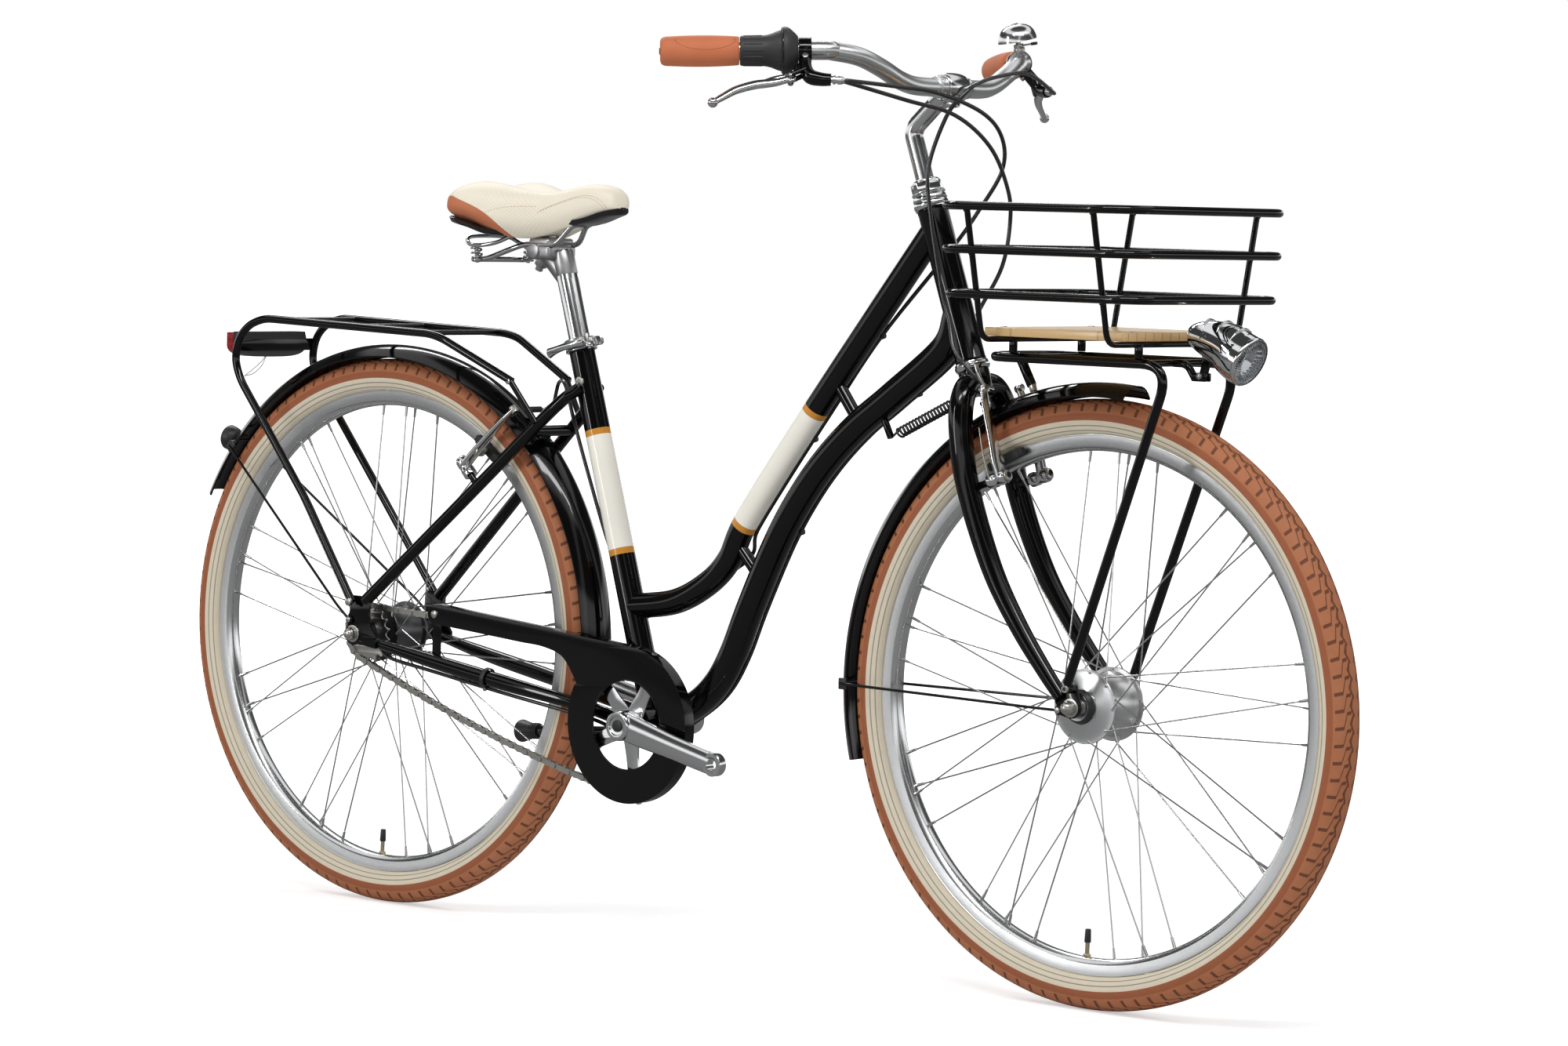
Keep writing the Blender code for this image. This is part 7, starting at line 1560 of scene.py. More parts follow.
def brake_arm(foot, up, out, side, pad_up, ahead):
    """One arm; foot is the stud's point on the middle plane, up runs along the arm."""
    centre = foot + side * STUD_SPREAD * LEFT
    sleeve = turned([(0.005, 0.0143), (0.0088, 0.0143), (0.009, 0.015), (0.009, 0.024), (0.0084, 0.025),
                     (0.0084, 0.03), (0.009, 0.031), (0.009, 0.038), (0.008, 0.04), (0.005, 0.04)], centre,
                    out, polished, 40)
    bolt = turned([(0.0046, 0.04), (0.0066, 0.0402), (0.007, 0.0412), (0.0068, 0.0425), (0.0048, 0.0436),
                   (0.0026, 0.0438), (0.0024, 0.0426), (0, 0.0426)], centre, out, zinc, 32)
    knots = [(centre + 0.03 * out, 0.0092), (centre + 0.02 * up + 0.031 * out + side * 0.001 * LEFT, 0.009),
             (centre + 0.045 * up + 0.033 * out, 0.008),
             (centre + 0.085 * up + 0.034 * out - side * 0.002 * LEFT, 0.0066),
             (centre + 0.106 * up + 0.034 * out - side * 0.0055 * LEFT, 0.006),
             (centre + 0.112 * up + 0.034 * out - side * 0.006 * LEFT, 0.0044)]
    blade = flattened(bent_tube(knots, polished, steps=7, sides=28), centre + 0.0325 * out, out, 0.58)
    spring = tube(smooth_path([centre + 0.0205 * out + side * 0.009 * LEFT, centre + 0.0205 * out + 0.03 * up
                               + side * 0.0092 * LEFT, centre + 0.023 * out + 0.064 * up
                               + side * 0.0072 * LEFT], 6), 0.001, zinc, 12)
    pad_y = side * (0.012 + PAD_GAP + PAD_THICKNESS / 2)
    pad_centre = foot + pad_up * up + 0.03 * out + pad_y * LEFT
    pitch = -atan2(ahead.z, ahead.x)
    pad = block(pad_centre, (0.055, PAD_THICKNESS, 0.01), pad_rubber, (0, pitch, 0), 0.0022, 4)
    holder = block(pad_centre + side * 0.004 * LEFT, (0.046, 0.004, 0.0106), pad_rubber, (0, pitch, 0),
                   0.0012)
    reach = (side * (STUD_SPREAD + 0.006) - pad_y) * LEFT
    post = rod(pad_centre, pad_centre + reach, 0.004, zinc, 24, edge=0.0005)
    washers = turned([(0.004, 0), (0.0068, 0), (0.0072, 0.0014), (0.0064, 0.003), (0.0072, 0.0044),
                      (0.0068, 0.006), (0.004, 0.006)], pad_centre + reach - side * 0.0135 * LEFT,
                     side * LEFT, zinc, 32)
    nut = pin(pad_centre + reach, LEFT, -side * 0.0028, side * 0.0008, 0.0058, zinc, 6, edge=0.0006)
    return [sleeve, bolt, blade, spring, pad, holder, post, washers, nut]


def brake_pair(place, stud_foot, up, out, hub, guide_side):
    """Both arms of one brake, with the pad set on the rim's braking face."""
    lift = 0.01
    while (stud_foot + lift * up + 0.03 * out - hub).length < RIM_RADIUS - 0.0065:
        lift += 0.0002
    radial = (stud_foot + lift * up + 0.03 * out - hub).normalized()
    ahead = Vector((radial.z, 0, -radial.x))
    for label, side in (("left", 1), ("right", -1)):
        name = f"{place}_brake_arm_{label}"
        arm = brake_arm(stud_foot, up, out, side, lift, ahead)
        top = stud_foot + side * (STUD_SPREAD - 0.006) * LEFT + 0.108 * up + 0.034 * out
        clip = pin(top, out, -0.0052, 0.0052, 0.0048, zinc, 28, edge=0.0008)
        arm.append(clip)
        if side == guide_side:
            guide = [top + 0.03 * up + side * 0.004 * LEFT, top + 0.018 * up + side * 0.0035 * LEFT,
                     top + 0.006 * up - side * 0.001 * LEFT, top - side * 0.012 * LEFT,
                     top - side * 0.02 * LEFT]
            arm.append(tube(smooth_path(guide, 7), 0.0024, polished, 20))
            boot_start = top - side * 0.018 * LEFT
            boot = []
            for k in range(7):
                boot += [(0.003, 0.0032 * k), (0.004, 0.0032 * k + 0.001), (0.004, 0.0032 * k + 0.0022)]
            arm.append(turned([(0, 0)] + boot + [(0.0028, 0.0224), (0, 0.0224)], boot_start, -side * LEFT,
                              pad_rubber, 28))
        fitted(name, f"{place}_arm_{label}", *arm)


brake_pair("front", steer(FRONT_STUD_ALONG, 0), STEER_UP, STEER_AHEAD, FRONT_HUB, -1)
brake_pair("rear", REAR_STUD, STAY_ALONG, STAY_OUT, REAR_HUB, 1)


# Rear carrier: two bent steel tubes from the dropouts over the wheel to the seat stays, with
# three cross bars and a flat bar for the light, all welded and painted black.
RACK_HALF_WIDTH = 0.0715
RACK_TUBE_RADIUS = 0.0053
RACK_SHAPE = [(0.003, 0.042), (-0.0917, 0.1671), (-0.1806, 0.2734), (-0.2224, 0.323), (-0.233, 0.35),
              (-0.225, 0.379), (-0.206, 0.396), (-0.178, 0.405), (0.125, 0.396), (0.148, 0.391),
              (0.255, 0.34)]
parts = []
for side in (1, -1):
    points = [rear(x, z, side * RACK_HALF_WIDTH) for x, z in RACK_SHAPE]
    points[0].y = side * (DROPOUT_OUTER + RACK_TUBE_RADIUS + 4 * GAP)
    points[-1].y = side * 0.053
    parts.append(tube(rounded_run(points, 0.02, 5), RACK_TUBE_RADIUS, black, 28))
    start = rear(0.252, 0.341, side * 0.053)
    end = SEAT_STAY_FOOT.lerp(SEAT_STAY_TOP, 0.84) + side * 0.043 * LEFT
    parts.append(rod(start, end, 0.004, black, 24))
    spot = rear(0.252, 0.34, side * 0.0585)
    parts.append(pin(spot, LEFT, -side * 0.006, 0, 0.0044, zinc, 6, edge=0.0006))
    foot = rear(0.003, 0.042, side * (DROPOUT_OUTER + RACK_TUBE_RADIUS + 4 * GAP))
    parts.append(pin(foot, LEFT, side * 0.003, side * 0.0085, 0.005, zinc, 28, edge=0.0008))
for x, z in ((-0.15, 0.404), (-0.02, 0.4), (0.11, 0.3965)):
    place = rear(x, z)
    parts.append(pin(place, LEFT, -RACK_HALF_WIDTH, RACK_HALF_WIDTH, 0.0035, black, 24))
light_bar = rear(-0.23, 0.368)
parts.append(block(light_bar, (0.003, 2 * RACK_HALF_WIDTH + 0.004, 0.016), black, edge=0.001))
fitted("rear_carrier", "frame", *parts)


# Rear light: a wide black plastic housing on the carrier's flat bar, its rear half a red lens,
# with two thin wires down to the mudguard.
light_centre = rear(-0.23 - 0.0015 - GAP - 0.016, 0.368)


def boat_plate(half_width, top, bottom, near, far, finish, edge):
    """A plate across the bike with a straight top and a curved bottom, between two x values."""
    outline = [(half_width * copysign(abs(cos(a)) ** 0.6, cos(a)),
                top if sin(a) > 0 else bottom * abs(sin(a)) ** 0.8)
               for a in [radians(180 + 180 * k / 28) for k in range(29)]]
    outline += [(half_width, top * 0.55), (half_width * 0.96, top), (-half_width * 0.96, top),
                (-half_width, top * 0.55)]
    piece = side_plate(outline, far - near, 0, finish, edge=0)
    softened(piece, edge, 4, 40)
    middle = light_centre + (near + far) / 2 * AHEAD
    piece.data.transform(Matrix.Translation(middle) @ Matrix.Rotation(pi / 2, 4, "Z"))
    return piece


housing = boat_plate(0.059, 0.017, -0.0165, -0.002, 0.016, plastic, 0.0022)
lens = boat_plate(0.0575, 0.0155, -0.017, -0.016, -0.0015, red_glass, 0.005)
white_wire = rubbery("white_wire", (0.62, 0.62, 0.6), 0.5)
wires = []
for sway in (0, 0.006):
    wire = [light_centre + Vector((0.012, -0.01, -0.013)),
            light_centre + Vector((0.019, -0.026, -0.022 - sway)),
            light_centre + Vector((0.024, -0.046, -0.032 - sway)), rear(-0.219, 0.327, -0.0665)]
    wires.append(bent_tube(wire, white_wire, steps=8, radius=0.0008, sides=12))
fitted("rear_light", "frame", housing, lens)
fitted("rear_light_wires", "frame", *wires, nodes=())


# Seat post and clamp: a fluted polished post with a forged head and its bolt, in a clamp ring
# with an ear, a pin and a quick-release lever, tightened on the top of the seat tube.
SADDLE_HEIGHT = 0.594
RAIL_HEIGHT = SADDLE_HEIGHT - 0.08
RAIL_HALF = 0.022
RAIL_RADIUS = 0.0035
POST_TOP = (RAIL_HEIGHT + 0.00025 + 0.0805) / SEAT_UP.z
CLAMP_HEIGHT = 0.014
CLAMP_PIN_ALONG = SEAT_TUBE_TOP - CLAMP_HEIGHT / 2
LEVER_HINGE = (0.0245, -0.013)

post = turned([(0, 0.33), (0.0132, 0.33), (0.0136, 0.3305), (0.0136, POST_TOP - 0.01),
               (0.0128, POST_TOP - 0.008), (0, POST_TOP - 0.008)], BRACKET, SEAT_UP, polished, 64)
for angle in (35, -35, 145, -145):
    out = cos(radians(angle)) * SEAT_AHEAD - sin(radians(angle)) * LEFT
    carve(post, rod(BRACKET + 0.32 * SEAT_UP + 0.016 * out, BRACKET + 0.575 * SEAT_UP + 0.016 * out, 0.0034,
                    polished, 20))
forged = bright_metal("forged_aluminium", (0.5, 0.5, 0.51), 0.34, 1)
head_middle = Vector((seat(POST_TOP).x - 0.017, 0, REAR_HUB.z + RAIL_HEIGHT - 0.009))
cradle = block(head_middle, (0.042, 0.052, 0.02), forged, edge=0.006, segments=5)
cap = block(head_middle + Vector((0, 0, 0.012)), (0.034, 0.05, 0.011), forged, edge=0.0038, segments=4)
web = rod(seat(POST_TOP - 0.048), head_middle - Vector((0, 0, 0.002)), 0.0118, forged, 40, 0.015, edge=0.002)
collar = rod(seat(POST_TOP - 0.04), seat(POST_TOP - 0.01), 0.0141, forged, 48, 0.0143, edge=0.0006)


def rail_rooms():
    """The space of both rails, to be cut from the head."""
    middles = [Vector((head_middle.x, side * RAIL_HALF, REAR_HUB.z + RAIL_HEIGHT)) for side in (1, -1)]
    return [pin(middle, AHEAD, -0.05, 0.05, RAIL_RADIUS + GAP, forged, 24) for middle in middles]


pieces = [collar, carve(cap, *rail_rooms()), carve(cradle, *rail_rooms()), web]
bolt_foot = head_middle + Vector((0, 0, 0.0175))
pieces.append(pin(bolt_foot, UP, 0, 0.004, 0.0062, zinc, 6, edge=0.0006))
for side in (1, -1):
    boss = head_middle + Vector((-0.006, side * 0.0255, 0.001))
    pieces.append(pin(boss, LEFT, -side * 0.004, side * 0.003, 0.0095, forged, 36, edge=0.0014))
bolt_low = head_middle + Vector((-0.015, 0, -0.012))
pieces += [rod(bolt_low + Vector((-0.003, 0, -0.006)), bolt_low + Vector((0.006, 0, 0.01)), 0.0085, forged,
               32, edge=0.0014), rod(bolt_low + Vector((-0.006, 0, -0.012)),
                                     bolt_low + Vector((0.003, 0, 0.006)), 0.005, zinc, 28, edge=0.0008)]
fitted("seat_post", "saddle", post, *pieces, angle=35)


def at_pin(ahead, side=0, up=0):
    """A point given from the middle of the seat clamp's ring."""
    return seat(CLAMP_PIN_ALONG + up, ahead, side)


ring_low = seat(SEAT_TUBE_TOP - CLAMP_HEIGHT)
clamp_ring = turned([(0.0168, 0), (0.02, 0), (0.0205, 0.0006), (0.0205, 0.003), (0.0199, 0.0036),
                     (0.0199, 0.0115), (0.0205, 0.0121), (0.0205, 0.0149), (0.02, 0.0155), (0.0142, 0.0155),
                     (0.0142, 0.0143), (0.0168, 0.0143)], ring_low, SEAT_UP, polished, 64)
tilt = (0, -(pi / 2 - SEAT_ANGLE), 0)
ear = block(at_pin(0.0235), (0.012, 0.013, 0.012), polished, tilt, 0.0016, 4)
slot = block(at_pin(0.024), (0.018, 0.0016, 0.02), polished, tilt, 0.0001)
carve(ear, slot)
link = rod(at_pin(LEVER_HINGE[0], 0.01), at_pin(*LEVER_HINGE), 0.0026, zinc, 24)
thumb = rod(at_pin(LEVER_HINGE[0], 0.0066), at_pin(LEVER_HINGE[0], 0.0125), 0.0052, zinc, 16, edge=0.001)
hinge_pin = rod(at_pin(*LEVER_HINGE, -0.01), at_pin(*LEVER_HINGE, 0.01), 0.002, zinc, 20, edge=0.0004)
fitted("seat_clamp", "frame", clamp_ring, ear, link, thumb, hinge_pin)

outer = [(0.0225, -0.02, 0.0038), (0.012, -0.024, 0.0034), (-0.006, -0.0265, 0.003),
         (-0.024, -0.0235, 0.0034), (-0.038, -0.019, 0.0044)]
lever = bent_tube([(at_pin(ahead, side), size) for ahead, side, size in outer], polished, steps=8, sides=24)
flattened(lever, at_pin(0), SEAT_UP, 1.55)
start, end = at_pin(*LEVER_HINGE, -0.0034), at_pin(*LEVER_HINGE, -0.0078)
eye = rod(start, end, 0.005, polished, 28, edge=0.0005)
arm = rod((start + end) / 2, at_pin(0.0225, -0.02, -0.001), 0.0024, polished, 20)
carve(eye, rod(at_pin(*LEVER_HINGE, -0.02), at_pin(*LEVER_HINGE, 0.02), 0.0024, polished, 20))
fitted("seat_clamp_lever", "clamp_lever", lever, eye, arm)


# Saddle frame: chromed wire rails swept out to a loop at the back, a short coil spring on each
# side of it, and a second wire loop on the springs that carries the base.
def under_saddle(x, drop, y):
    """A point given from the rear axle's middle, and down from the saddle's top."""
    return rear(x, SADDLE_HEIGHT - drop, y)


rail_chrome = bright_metal("rail_chrome", (0.62, 0.63, 0.64), 0.1, 0.5)
left_rail = [under_saddle(0.327, 0.052, 0.01), under_saddle(0.315, 0.056, 0.014),
             rear(0.296, RAIL_HEIGHT, RAIL_HALF), rear(0.242, RAIL_HEIGHT, RAIL_HALF),
             under_saddle(0.22, 0.088, 0.027), under_saddle(0.195, 0.1, 0.04),
             under_saddle(0.178, 0.101, 0.047), under_saddle(0.172, 0.101, 0.04),
             under_saddle(0.172, 0.101, 0)]
pieces = [tube(rounded_run(left_rail + flipped(left_rail[-2::-1]), 0.012, 5), RAIL_RADIUS, rail_chrome, 24)]
loop = [under_saddle(0.236, 0.07, 0.04), under_saddle(0.218, 0.079, 0.05), under_saddle(0.192, 0.083, 0.056),
        under_saddle(0.17, 0.08, 0.049), under_saddle(0.16, 0.072, 0.032)]
pieces.append(tube(smooth_path(loop + flipped(loop[::-1]), 6), 0.0026, rail_chrome, 20))
for side in (1, -1):
    foot, top = under_saddle(0.185, 0.101, side * 0.0475), under_saddle(0.185, 0.083, side * 0.0505)
    up = (top - foot).normalized()
    right = up.orthogonal().normalized()
    coil = [foot.lerp(top, k / 72)
            + 0.0064 * (cos(tau * k / 24) * right + sin(tau * k / 24) * up.cross(right)) for k in range(73)]
    pieces += [tube(coil, 0.0013, rail_chrome, 12), rod(foot - 0.004 * up, top + 0.002 * up, 0.0026, zinc, 24,
                                                        edge=0.0006)]
    for spot in (foot - 0.0015 * up, top - 0.001 * up):
        pieces.append(pin(spot, up, 0, 0.003, 0.0072, rail_chrome, 32, edge=0.0008))
fitted("saddle_rails", "saddle", *pieces)


# Saddle: foam under a cream vinyl cover with raised back lobes, a dip and a rounded nose; brown
# panels sewn in at the back corners, twin-stitched seams, and a gloss black moulded base.
SADDLE_SHAPE = [(0.391, 0.005, 0.568, 0, 0.561), (0.389, 0.012, 0.5745, 0, 0.5595),
                (0.384, 0.018, 0.5825, 0, 0.558), (0.37, 0.0235, 0.5905, 0.001, 0.5545),
                (0.345, 0.027, 0.594, 0.002, 0.5465), (0.31, 0.032, 0.588, 0.003, 0.536),
                (0.279, 0.044, 0.5845, 0.006, 0.5265), (0.25, 0.065, 0.587, 0.01, 0.5215),
                (0.222, 0.081, 0.5925, 0.014, 0.527), (0.196, 0.0885, 0.595, 0.014, 0.537),
                (0.174, 0.089, 0.5905, 0.01, 0.542), (0.16, 0.079, 0.5805, 0.007, 0.544),
                (0.1535, 0.056, 0.568, 0.003, 0.547)]


def saddle_mesh(finish, section, around):
    """A closed form through rings that the section function gives for each place along the saddle."""
    stations = smooth_path([Vector(row) for row in SADDLE_SHAPE], 6)
    form = bmesh.new()
    rings = [[form.verts.new(rear(station[0], z, y)) for y, z in section(station)] for station in stations]
    for first, second in zip(rings, rings[1:]):
        for k in range(around):
            form.faces.new((first[k], first[(k + 1) % around], second[(k + 1) % around], second[k]))
    for ring in (rings[0][::-1], rings[-1]):
        middle = form.verts.new(sum((vertex.co for vertex in ring), Vector()) / around)
        for k in range(around):
            form.faces.new((ring[k], ring[(k + 1) % around], middle))
    bmesh.ops.recalc_face_normals(form, faces=form.faces)
    data = bpy.data.meshes.new("saddle_form")
    form.to_mesh(data)
    form.free()
    return fixed(linked(data), finish)


def cushion_section(station):
    _, half, crown, channel, low = station
    middle = low + 0.42 * (crown - low)
    ring = []
    for k in range(56):
        angle = tau * k / 56
        lift = sin(angle)
        y = half * copysign(abs(cos(angle)) ** 0.72, cos(angle))
        if lift >= 0:
            z = middle + (crown - middle) * lift ** 0.62 - channel * exp(-(y / 0.026) ** 2) * lift
        else:
            z = middle + (middle - low) * max(-1, 1.35 * lift)
            y *= 1 - 0.13 * min(1, -1.35 * lift) ** 2
        ring.append((y, z))
    return ring


def base_section(station):
    x, half, _, _, low = station
    tucked = exp(-((x - 0.276) / 0.052) ** 4)
    low += 0.007 * tucked
    half *= 1.1 - 0.3 * tucked
    drop = 0.009 - 0.0045 * tucked - 0.004 * min(1, max(0, (x - 0.315) / 0.025))
    ring = []
    for k in range(32):
        ahead, lift = cos(tau * k / 32), sin(tau * k / 32)
        narrow = 1 if lift > 0 else 1 - 0.22 * abs(lift)
        ring.append((0.86 * half * copysign(abs(ahead) ** 0.6, ahead) * narrow,
                     low + (0.003 if lift > 0 else -drop * abs(lift) ** 0.7)))
    return ring


cover = Finish("saddle_cover", roughness=0.5, Specular_IOR_Level=0.4, Sheen_Weight=0.08)
x, y, z = cover.axes(cover.place(REAR_HUB))
behind_edge = (x - 0.178).apply("MAXIMUM", x - 0.178, 0)
edge_height = 0.574 - 0.35 * behind_edge - 17000 * behind_edge ** 5
panel = (edge_height - z).past(0, 0.0006) * (1 - x.past(0.254, 0.001))
welt = (edge_height - z).within(-0.0008, 0.0008, 0.0004) * (1 - x.past(0.254, 0.001))
mottle = cover.noise(cover.place(), 30, 4)
leather = cover.cells(cover.place(), 620)
cream = cover.mix(mottle, (0.84, 0.77, 0.625), (0.89, 0.825, 0.69))
tan = cover.mix(mottle, (0.49, 0.148, 0.062), (0.57, 0.185, 0.08))
flank = y.apply("ABSOLUTE", y).past(0.03, 0.01) * (1 - z.past(0.582, 0.006))
flank *= x.within(0.21, 0.3, 0.02) * (1 - panel)
dots = ((x * 1250).apply("SINE", x * 1250) * (z * 1250).apply("SINE", z * 1250)).past(0.62, 0.15) * flank
cover.set(Base_Color=cover.mix(dots * 0.16, cover.mix(welt * 0.75, cover.mix(panel, cream, tan),
                                                      (0.88, 0.83, 0.72)), (0.4, 0.33, 0.24)),
          Roughness=0.44 + 0.16 * mottle)
cover.bump(0.12 * leather - 0.35 * dots + 0.7 * welt + 0.2 * mottle, 0.0007, 0.6)
cushion = saddle_mesh(cover, cushion_section, 56)

lowest = {vertex.index: vertex.co.copy() for vertex in cushion.data.vertices}
held = cushion.vertex_groups.new(name="held_edge")
for vertex in cushion.data.vertices:
    x_rear = vertex.co.x - REAR_HUB.x
    row = min(SADDLE_SHAPE, key=lambda r: abs(r[0] - x_rear))
    held.add([vertex.index], 1 if vertex.co.z - REAR_HUB.z < row[4] + 0.01 else 0.1, "REPLACE")
pick(cushion)
swell = cushion.modifiers.new("swell", "CLOTH")
swell.settings.use_pressure = True
swell.settings.uniform_pressure_force = 4
swell.settings.vertex_group_mass = "held_edge"
swell.settings.effector_weights.gravity = 0
swell.settings.tension_stiffness = 40
swell.settings.compression_stiffness = 40
swell.point_cache.frame_start, swell.point_cache.frame_end = 1, 20
for step in range(1, 21):
    bpy.context.scene.frame_set(step)
bpy.ops.object.modifier_apply(modifier=swell.name)
bpy.context.scene.frame_set(1)
for vertex in cushion.data.vertices:
    moved = vertex.co - lowest[vertex.index]
    if moved.length > 0.0035:
        vertex.co = lowest[vertex.index] + 0.0035 * moved.normalized()
pick(cushion)
fine = cushion.modifiers.new("fine", "SUBSURF")
fine.levels = fine.render_levels = 1
bpy.ops.object.modifier_apply(modifier=fine.name)


def stitch_row(points, thread, radius=0.00045, pitch=0.0036):
    """A row of short stitches on the cover, through points (x, z) on both its sides."""
    stitches = []
    for side in (-1, 1):
        run = smooth_path([Vector((px, 0, pz)) for px, pz in points], 10)
        count = int(sum((b - a).length for a, b in zip(run, run[1:])) / pitch)
        for spot, after in zip(even_spots(run, count), even_spots(run, count)[1:]):
            ends = []
            for share in (0.15, 0.8):
                aim = spot.lerp(after, share)
                hit, place, normal, _ = cushion.ray_cast(rear(aim.x, aim.z, side * 0.2), -side * LEFT)
                if hit:
                    ends.append(place + 0.4 * radius * normal)
            if len(ends) == 2 and (ends[0] - ends[1]).length < 3 * pitch:
                stitches.append(tube([ends[0], ends[0].lerp(ends[1], 0.5), ends[1]],
                                     [0.7 * radius, radius, 0.7 * radius], thread, 8))
    return stitches


cream_thread = rubbery("cream_thread", (0.86, 0.82, 0.73), 0.7, 900, 0.0001)
tan_thread = rubbery("tan_thread", (0.5, 0.4, 0.27), 0.7, 900, 0.0001)
edge_points = [(0.178 + d, 0.574 - 0.35 * d - 17000 * max(d, 0) ** 5 + 0.0022)
               for d in (-0.01, 0, 0.012, 0.024, 0.035, 0.044, 0.051, 0.057, 0.062, 0.066, 0.069, 0.071)]
nose_points = [(0.285, 0.557), (0.2994, 0.564), (0.318, 0.571), (0.337, 0.5765), (0.354, 0.578),
               (0.368, 0.5745), (0.377, 0.568), (0.381, 0.559)]
rows = stitch_row(edge_points, cream_thread)
rows += stitch_row(nose_points, tan_thread, 0.00035)
rows += stitch_row([(px - 0.0034, pz - 0.0024) for px, pz in nose_points], tan_thread, 0.00035)
rows += stitch_row([(0.225, 0.553), (0.24, 0.559), (0.26, 0.562), (0.285, 0.5625)], tan_thread, 0.0003)
fitted("saddle_stitches", "saddle", *rows, nodes=())
fitted("saddle_cushion", "saddle", cushion, angle=60)
base_black = gloss_paint("gloss_black_base", (0.012, 0.012, 0.013))
base = saddle_mesh(base_black, base_section, 32)
fitted("saddle_shell", "saddle", base, angle=50)


# Kickstand: a black steel leg on a hinge under the chain stays, folded back beside the left
# stay, with a flared plastic foot.
KICK_FOLDED = Vector((-0.985, 0.15, -0.085)).normalized()
KICK_LENGTH = 0.262
kick_tip = KICK_PIVOT + KICK_LENGTH * KICK_FOLDED
kick_hub = pin(KICK_PIVOT, KICK_AXIS, -0.01, 0.01, 0.012, black, 48, edge=0.0012)
carve(kick_hub, pin(KICK_PIVOT, KICK_AXIS, -0.03, 0.03, 0.0055, black, 32))
leg_start = KICK_PIVOT + 0.0085 * KICK_FOLDED
kick_leg = rod(leg_start, KICK_PIVOT.lerp(kick_tip, 0.9), 0.0078, black, 36, edge=0.0008)
kick_foot = turned([(0.0079, 0), (0.0094, 0.0004), (0.0098, 0.006), (0.0105, 0.016), (0.0125, 0.026),
                    (0.0147, 0.0345), (0.015, 0.0362), (0.014, 0.0367), (0, 0.0367)],
                   KICK_PIVOT.lerp(kick_tip, 0.86), KICK_FOLDED, plastic, 40)
rings = [turned([(0.009, 0), (0.0106, 0.0006), (0.0106, 0.0014), (0.009, 0.002)],
                KICK_PIVOT.lerp(kick_tip, 0.86) + (0.003 + 0.004 * k) * KICK_FOLDED, KICK_FOLDED, plastic, 32)
         for k in range(3)]
fitted("kickstand_leg", "kickstand", kick_hub, kick_leg, kick_foot, *rings)


# Cables: black plastic housings from the levers and the shifter, arching ahead of the stem and
# clipped along the tubes; the two that go back bend between the bar and the frame.
HOUSING_RADIUS = 0.0025
BARREL_END = CLAMP_MIDDLE + 0.0465
cable_black = rubbery("cable_housing", (0.012, 0.012, 0.013), 0.22, 500, 0.00003, Coat_Weight=0.4,
                      Coat_Roughness=0.1)


def offset_along(path, below, side):
    """The path moved below the tube and to one side."""
    moved = []
    for i, point in enumerate(path):
        ahead = (path[min(i + 1, len(path) - 1)] - path[max(i - 1, 0)]).normalized()
        down = Vector((ahead.z, 0, -ahead.x))
        down = -down if down.z > 0 else down
        moved.append(point + below * down + side * LEFT)
    return moved


def cable(name, points, body=None):
    piece = together(name, tube(points, HOUSING_RADIUS, cable_black, 16))
    smoothed(piece, 50)
    if body:
        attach(piece, body)
    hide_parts(name)
    return piece


front_run = [on_bar(1, BARREL_END, 0.0486), on_bar(1, BARREL_END + 0.008, 0.0492),
             steer(0.7709, 0.0953, 0.125), steer(0.7655, 0.0945, 0.065), steer(0.753, 0.0958, 0.015),
             steer(0.7407, 0.0866, -0.005), steer(0.7224, 0.0635, -0.015), steer(0.6719, 0.0289, -0.026),
             steer(0.6189, 0.0176, -0.03), steer(0.5281, 0.0082, -0.033), steer(0.4848, 0.0104, -0.037),
             steer(0.4504, 0.0129, -0.044), steer(0.4225, 0.0241, -0.042), steer(0.4015, 0.0336, -0.0345)]
cable("front_brake_cable", smooth_path(front_run, 8), "steering")

brake_loop = [on_bar(-1, BARREL_END, 0.0486), on_bar(-1, BARREL_END + 0.008, 0.0492),
              steer(0.7494, 0.086, -0.13), steer(0.741, 0.093, -0.06), steer(0.7198, 0.091, 0.02),
              steer(0.6926, 0.0814, 0.06), steer(0.6586, 0.06, 0.073), steer(0.62, 0.02, 0.06),
              steer(0.585, -0.02, 0.042)]
upper_knots = offset_along(upper_run, 0.0108, 0.016)[2:-3]
to_brake = [rear(0.425, 0.048, 0.022), rear(0.396, 0.08, 0.018), rear(0.374, 0.14, 0.005),
            rear(0.344, 0.22, 0), rear(0.312, 0.29, 0.004), rear(0.29, 0.335, 0.01),
            rear(0.262, 0.338, 0.028), rear(0.2475, 0.3085, 0.0345)]
rear_cable = cable("rear_brake_cable", smooth_path(brake_loop + upper_knots + to_brake, 8))
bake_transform(rear_cable)

shifter_exit = Vector((0.25, 0, -0.97)).normalized()
shift_loop = [on_bar(-1, CLAMP_START - 0.006) + 0.024 * shifter_exit, on_bar(-1, 0.19) + 0.033 * shifter_exit,
              steer(0.738, 0.074, -0.1), steer(0.7159, 0.088, -0.03), steer(0.68, 0.0827, 0.03),
              steer(0.6338, 0.0709, 0.06), steer(0.5975, 0.0559, 0.07), steer(0.5465, 0.0329, 0.062),
              steer(0.5, 0, 0.038)]
down_knots = offset_along(down_run, 0.0128, 0.0172)[1:-1]
stay_line = smooth_path([rear(x, z, -y) for x, y, z, _ in STAY_SHAPE], 8)[::-1]


def under_stay(share, below, side):
    """A point under the right chain stay, by the share of the way from the shell to the dropout."""
    return stay_line[int(share * (len(stay_line) - 1))] - below * UP + side * LEFT


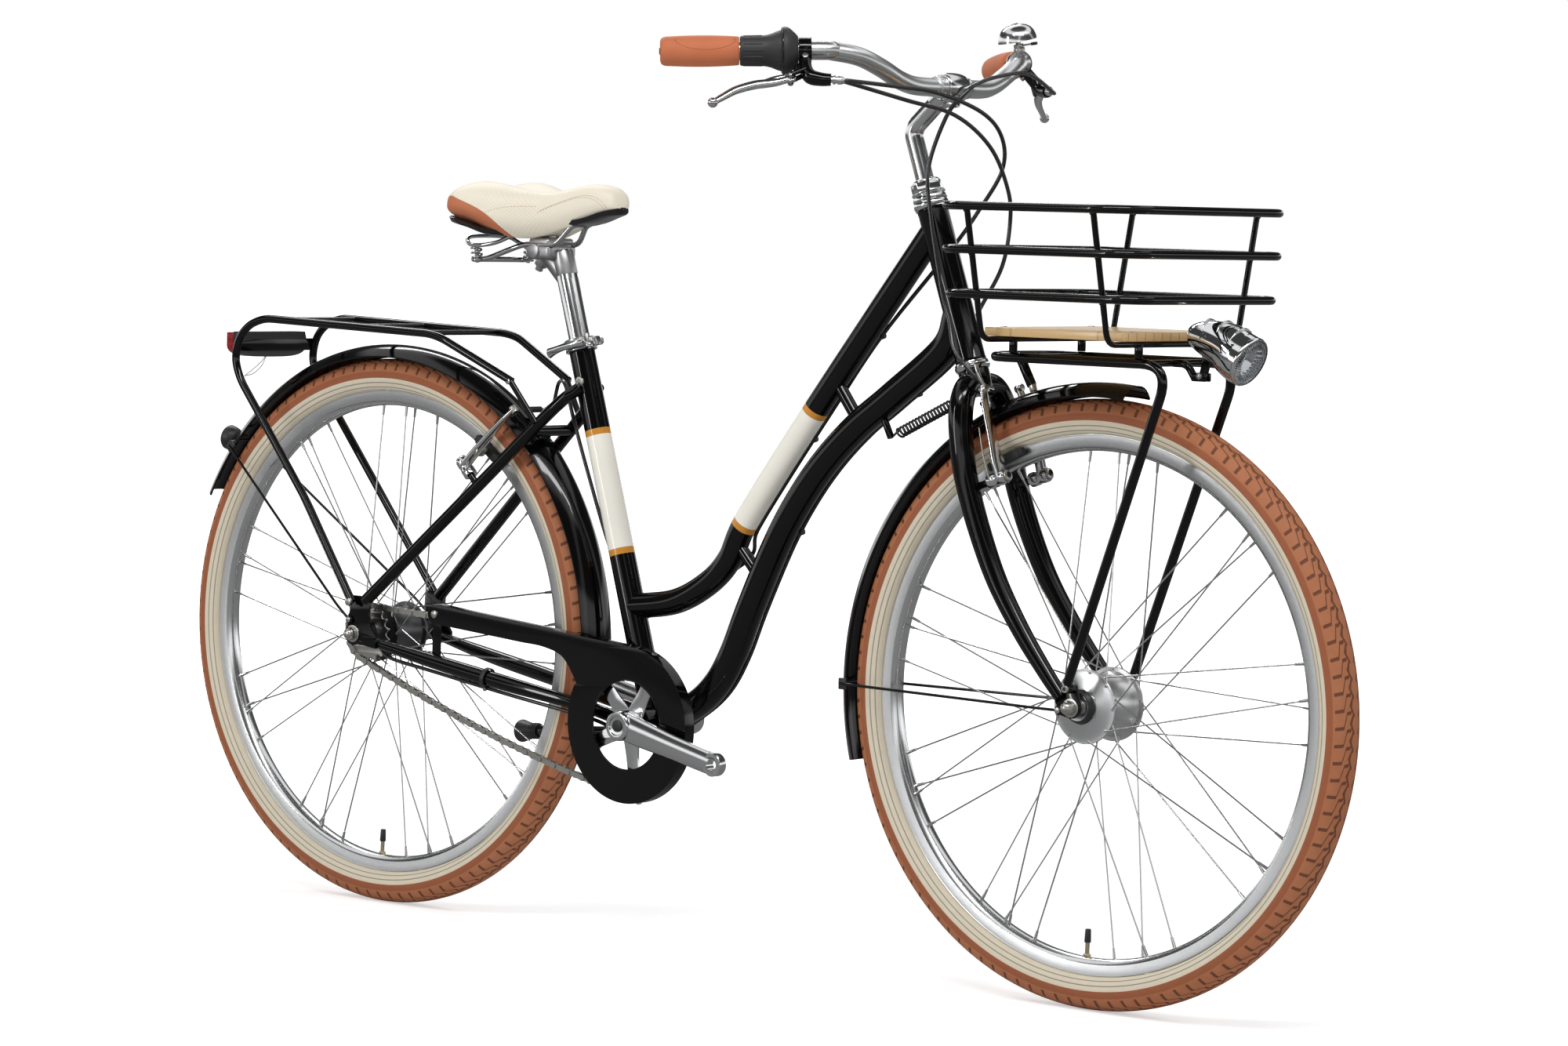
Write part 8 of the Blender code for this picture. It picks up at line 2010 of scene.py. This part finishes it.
to_hub = [rear(0.4695, -0.1045, 0.008), rear(0.4455, -0.1005, -0.024)]
to_hub += [under_stay(share, 0.0132, 0) for share in (0.2, 0.4, 0.6, 0.8)]
to_hub += [rear(0.056, -0.029, -0.058), rear(0.03, -0.018, -0.052)]
shift_cable = cable("shift_cable", smooth_path(shift_loop + down_knots + to_hub, 8))
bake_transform(shift_cable)


# Steering spring: a black coil hooked from a lug on the down tube to one on the fork, which
# brings the wheel back straight.
spring_end = FORK_SPRING_LUG - GAP * STEER_AHEAD
spring_run = spring_end - SPRING_LUG
spring_up = spring_run.normalized()
spring_right = spring_up.orthogonal().normalized()
curls, turns_in = 17, 0.12
coil = []
for k in range(curls * 20 + 1):
    share = turns_in + (1 - 2 * turns_in) * k / (curls * 20)
    angle = tau * k / 20
    coil.append(SPRING_LUG + share * spring_run
                + 0.0058 * (cos(angle) * spring_right + sin(angle) * spring_up.cross(spring_right)))
spring_parts = [tube(coil, 0.0015, plastic, 10)]
for near, far in ((SPRING_LUG, coil[0]), (spring_end, coil[-1])):
    middle = near.lerp(far, 0.55) + 0.001 * spring_right
    spring_parts.append(tube(smooth_path([near, near.lerp(middle, 0.5), middle, far], 5), 0.0015, plastic,
                             10))
spring = together("steering_spring", *spring_parts)
smoothed(spring, 50)
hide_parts("steering_spring")
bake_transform(spring)


# Small trims: black clips that hold the cables to the tubes and the right chain stay, those on
# the stay each with a screw, and the round bolt in the seat tube's side.
for name, path, x, z in (("cable_clip", upper_knots, 0.857, 0.451), ("cable_clip", upper_knots, 0.725, 0.273),
                         ("cable_clip_low", down_knots, 0.879, 0.335),
                         ("cable_clip_low", down_knots, 0.704, 0.157)):
    spot = min(smooth_path(path, 8), key=lambda p: (p - rear(x, z)).length)
    clip = pin(spot, SEAT_AHEAD, -0.0045, 0.0045, 0.0042, plastic, 20, edge=0.0008)
    fitted(name, "frame", clip, nodes=())
for share in (0.34, 0.66):
    spot = under_stay(share, 0.0125, 0)
    ahead = (under_stay(share + 0.03, 0.0125, 0) - under_stay(share - 0.03, 0.0125, 0)).normalized()
    band = turned([(0.0118, -0.003), (0.013, -0.003), (0.0132, -0.0026), (0.0132, 0.0026), (0.013, 0.003),
                   (0.0118, 0.003)], spot + 0.0125 * UP, ahead, plastic, 40)
    screw = rod(spot + Vector((0, -0.002, -0.001)), spot + Vector((0, -0.006, -0.0022)), 0.0026, zinc, 16,
                edge=0.0005)
    fitted("stay_cable_clip", "frame", band, screw, nodes=())
lock_spot = seat(0.442, 0, -0.0158)
lock_bolt = turned([(0, -0.001), (0.0066, -0.001), (0.0068, 0.0006), (0.0062, 0.0016), (0.0034, 0.0018),
                    (0.003, 0.0008), (0, 0.0008)], lock_spot, -LEFT, zinc, 36)
fitted("seat_tube_bolt", "frame", lock_bolt, nodes=())
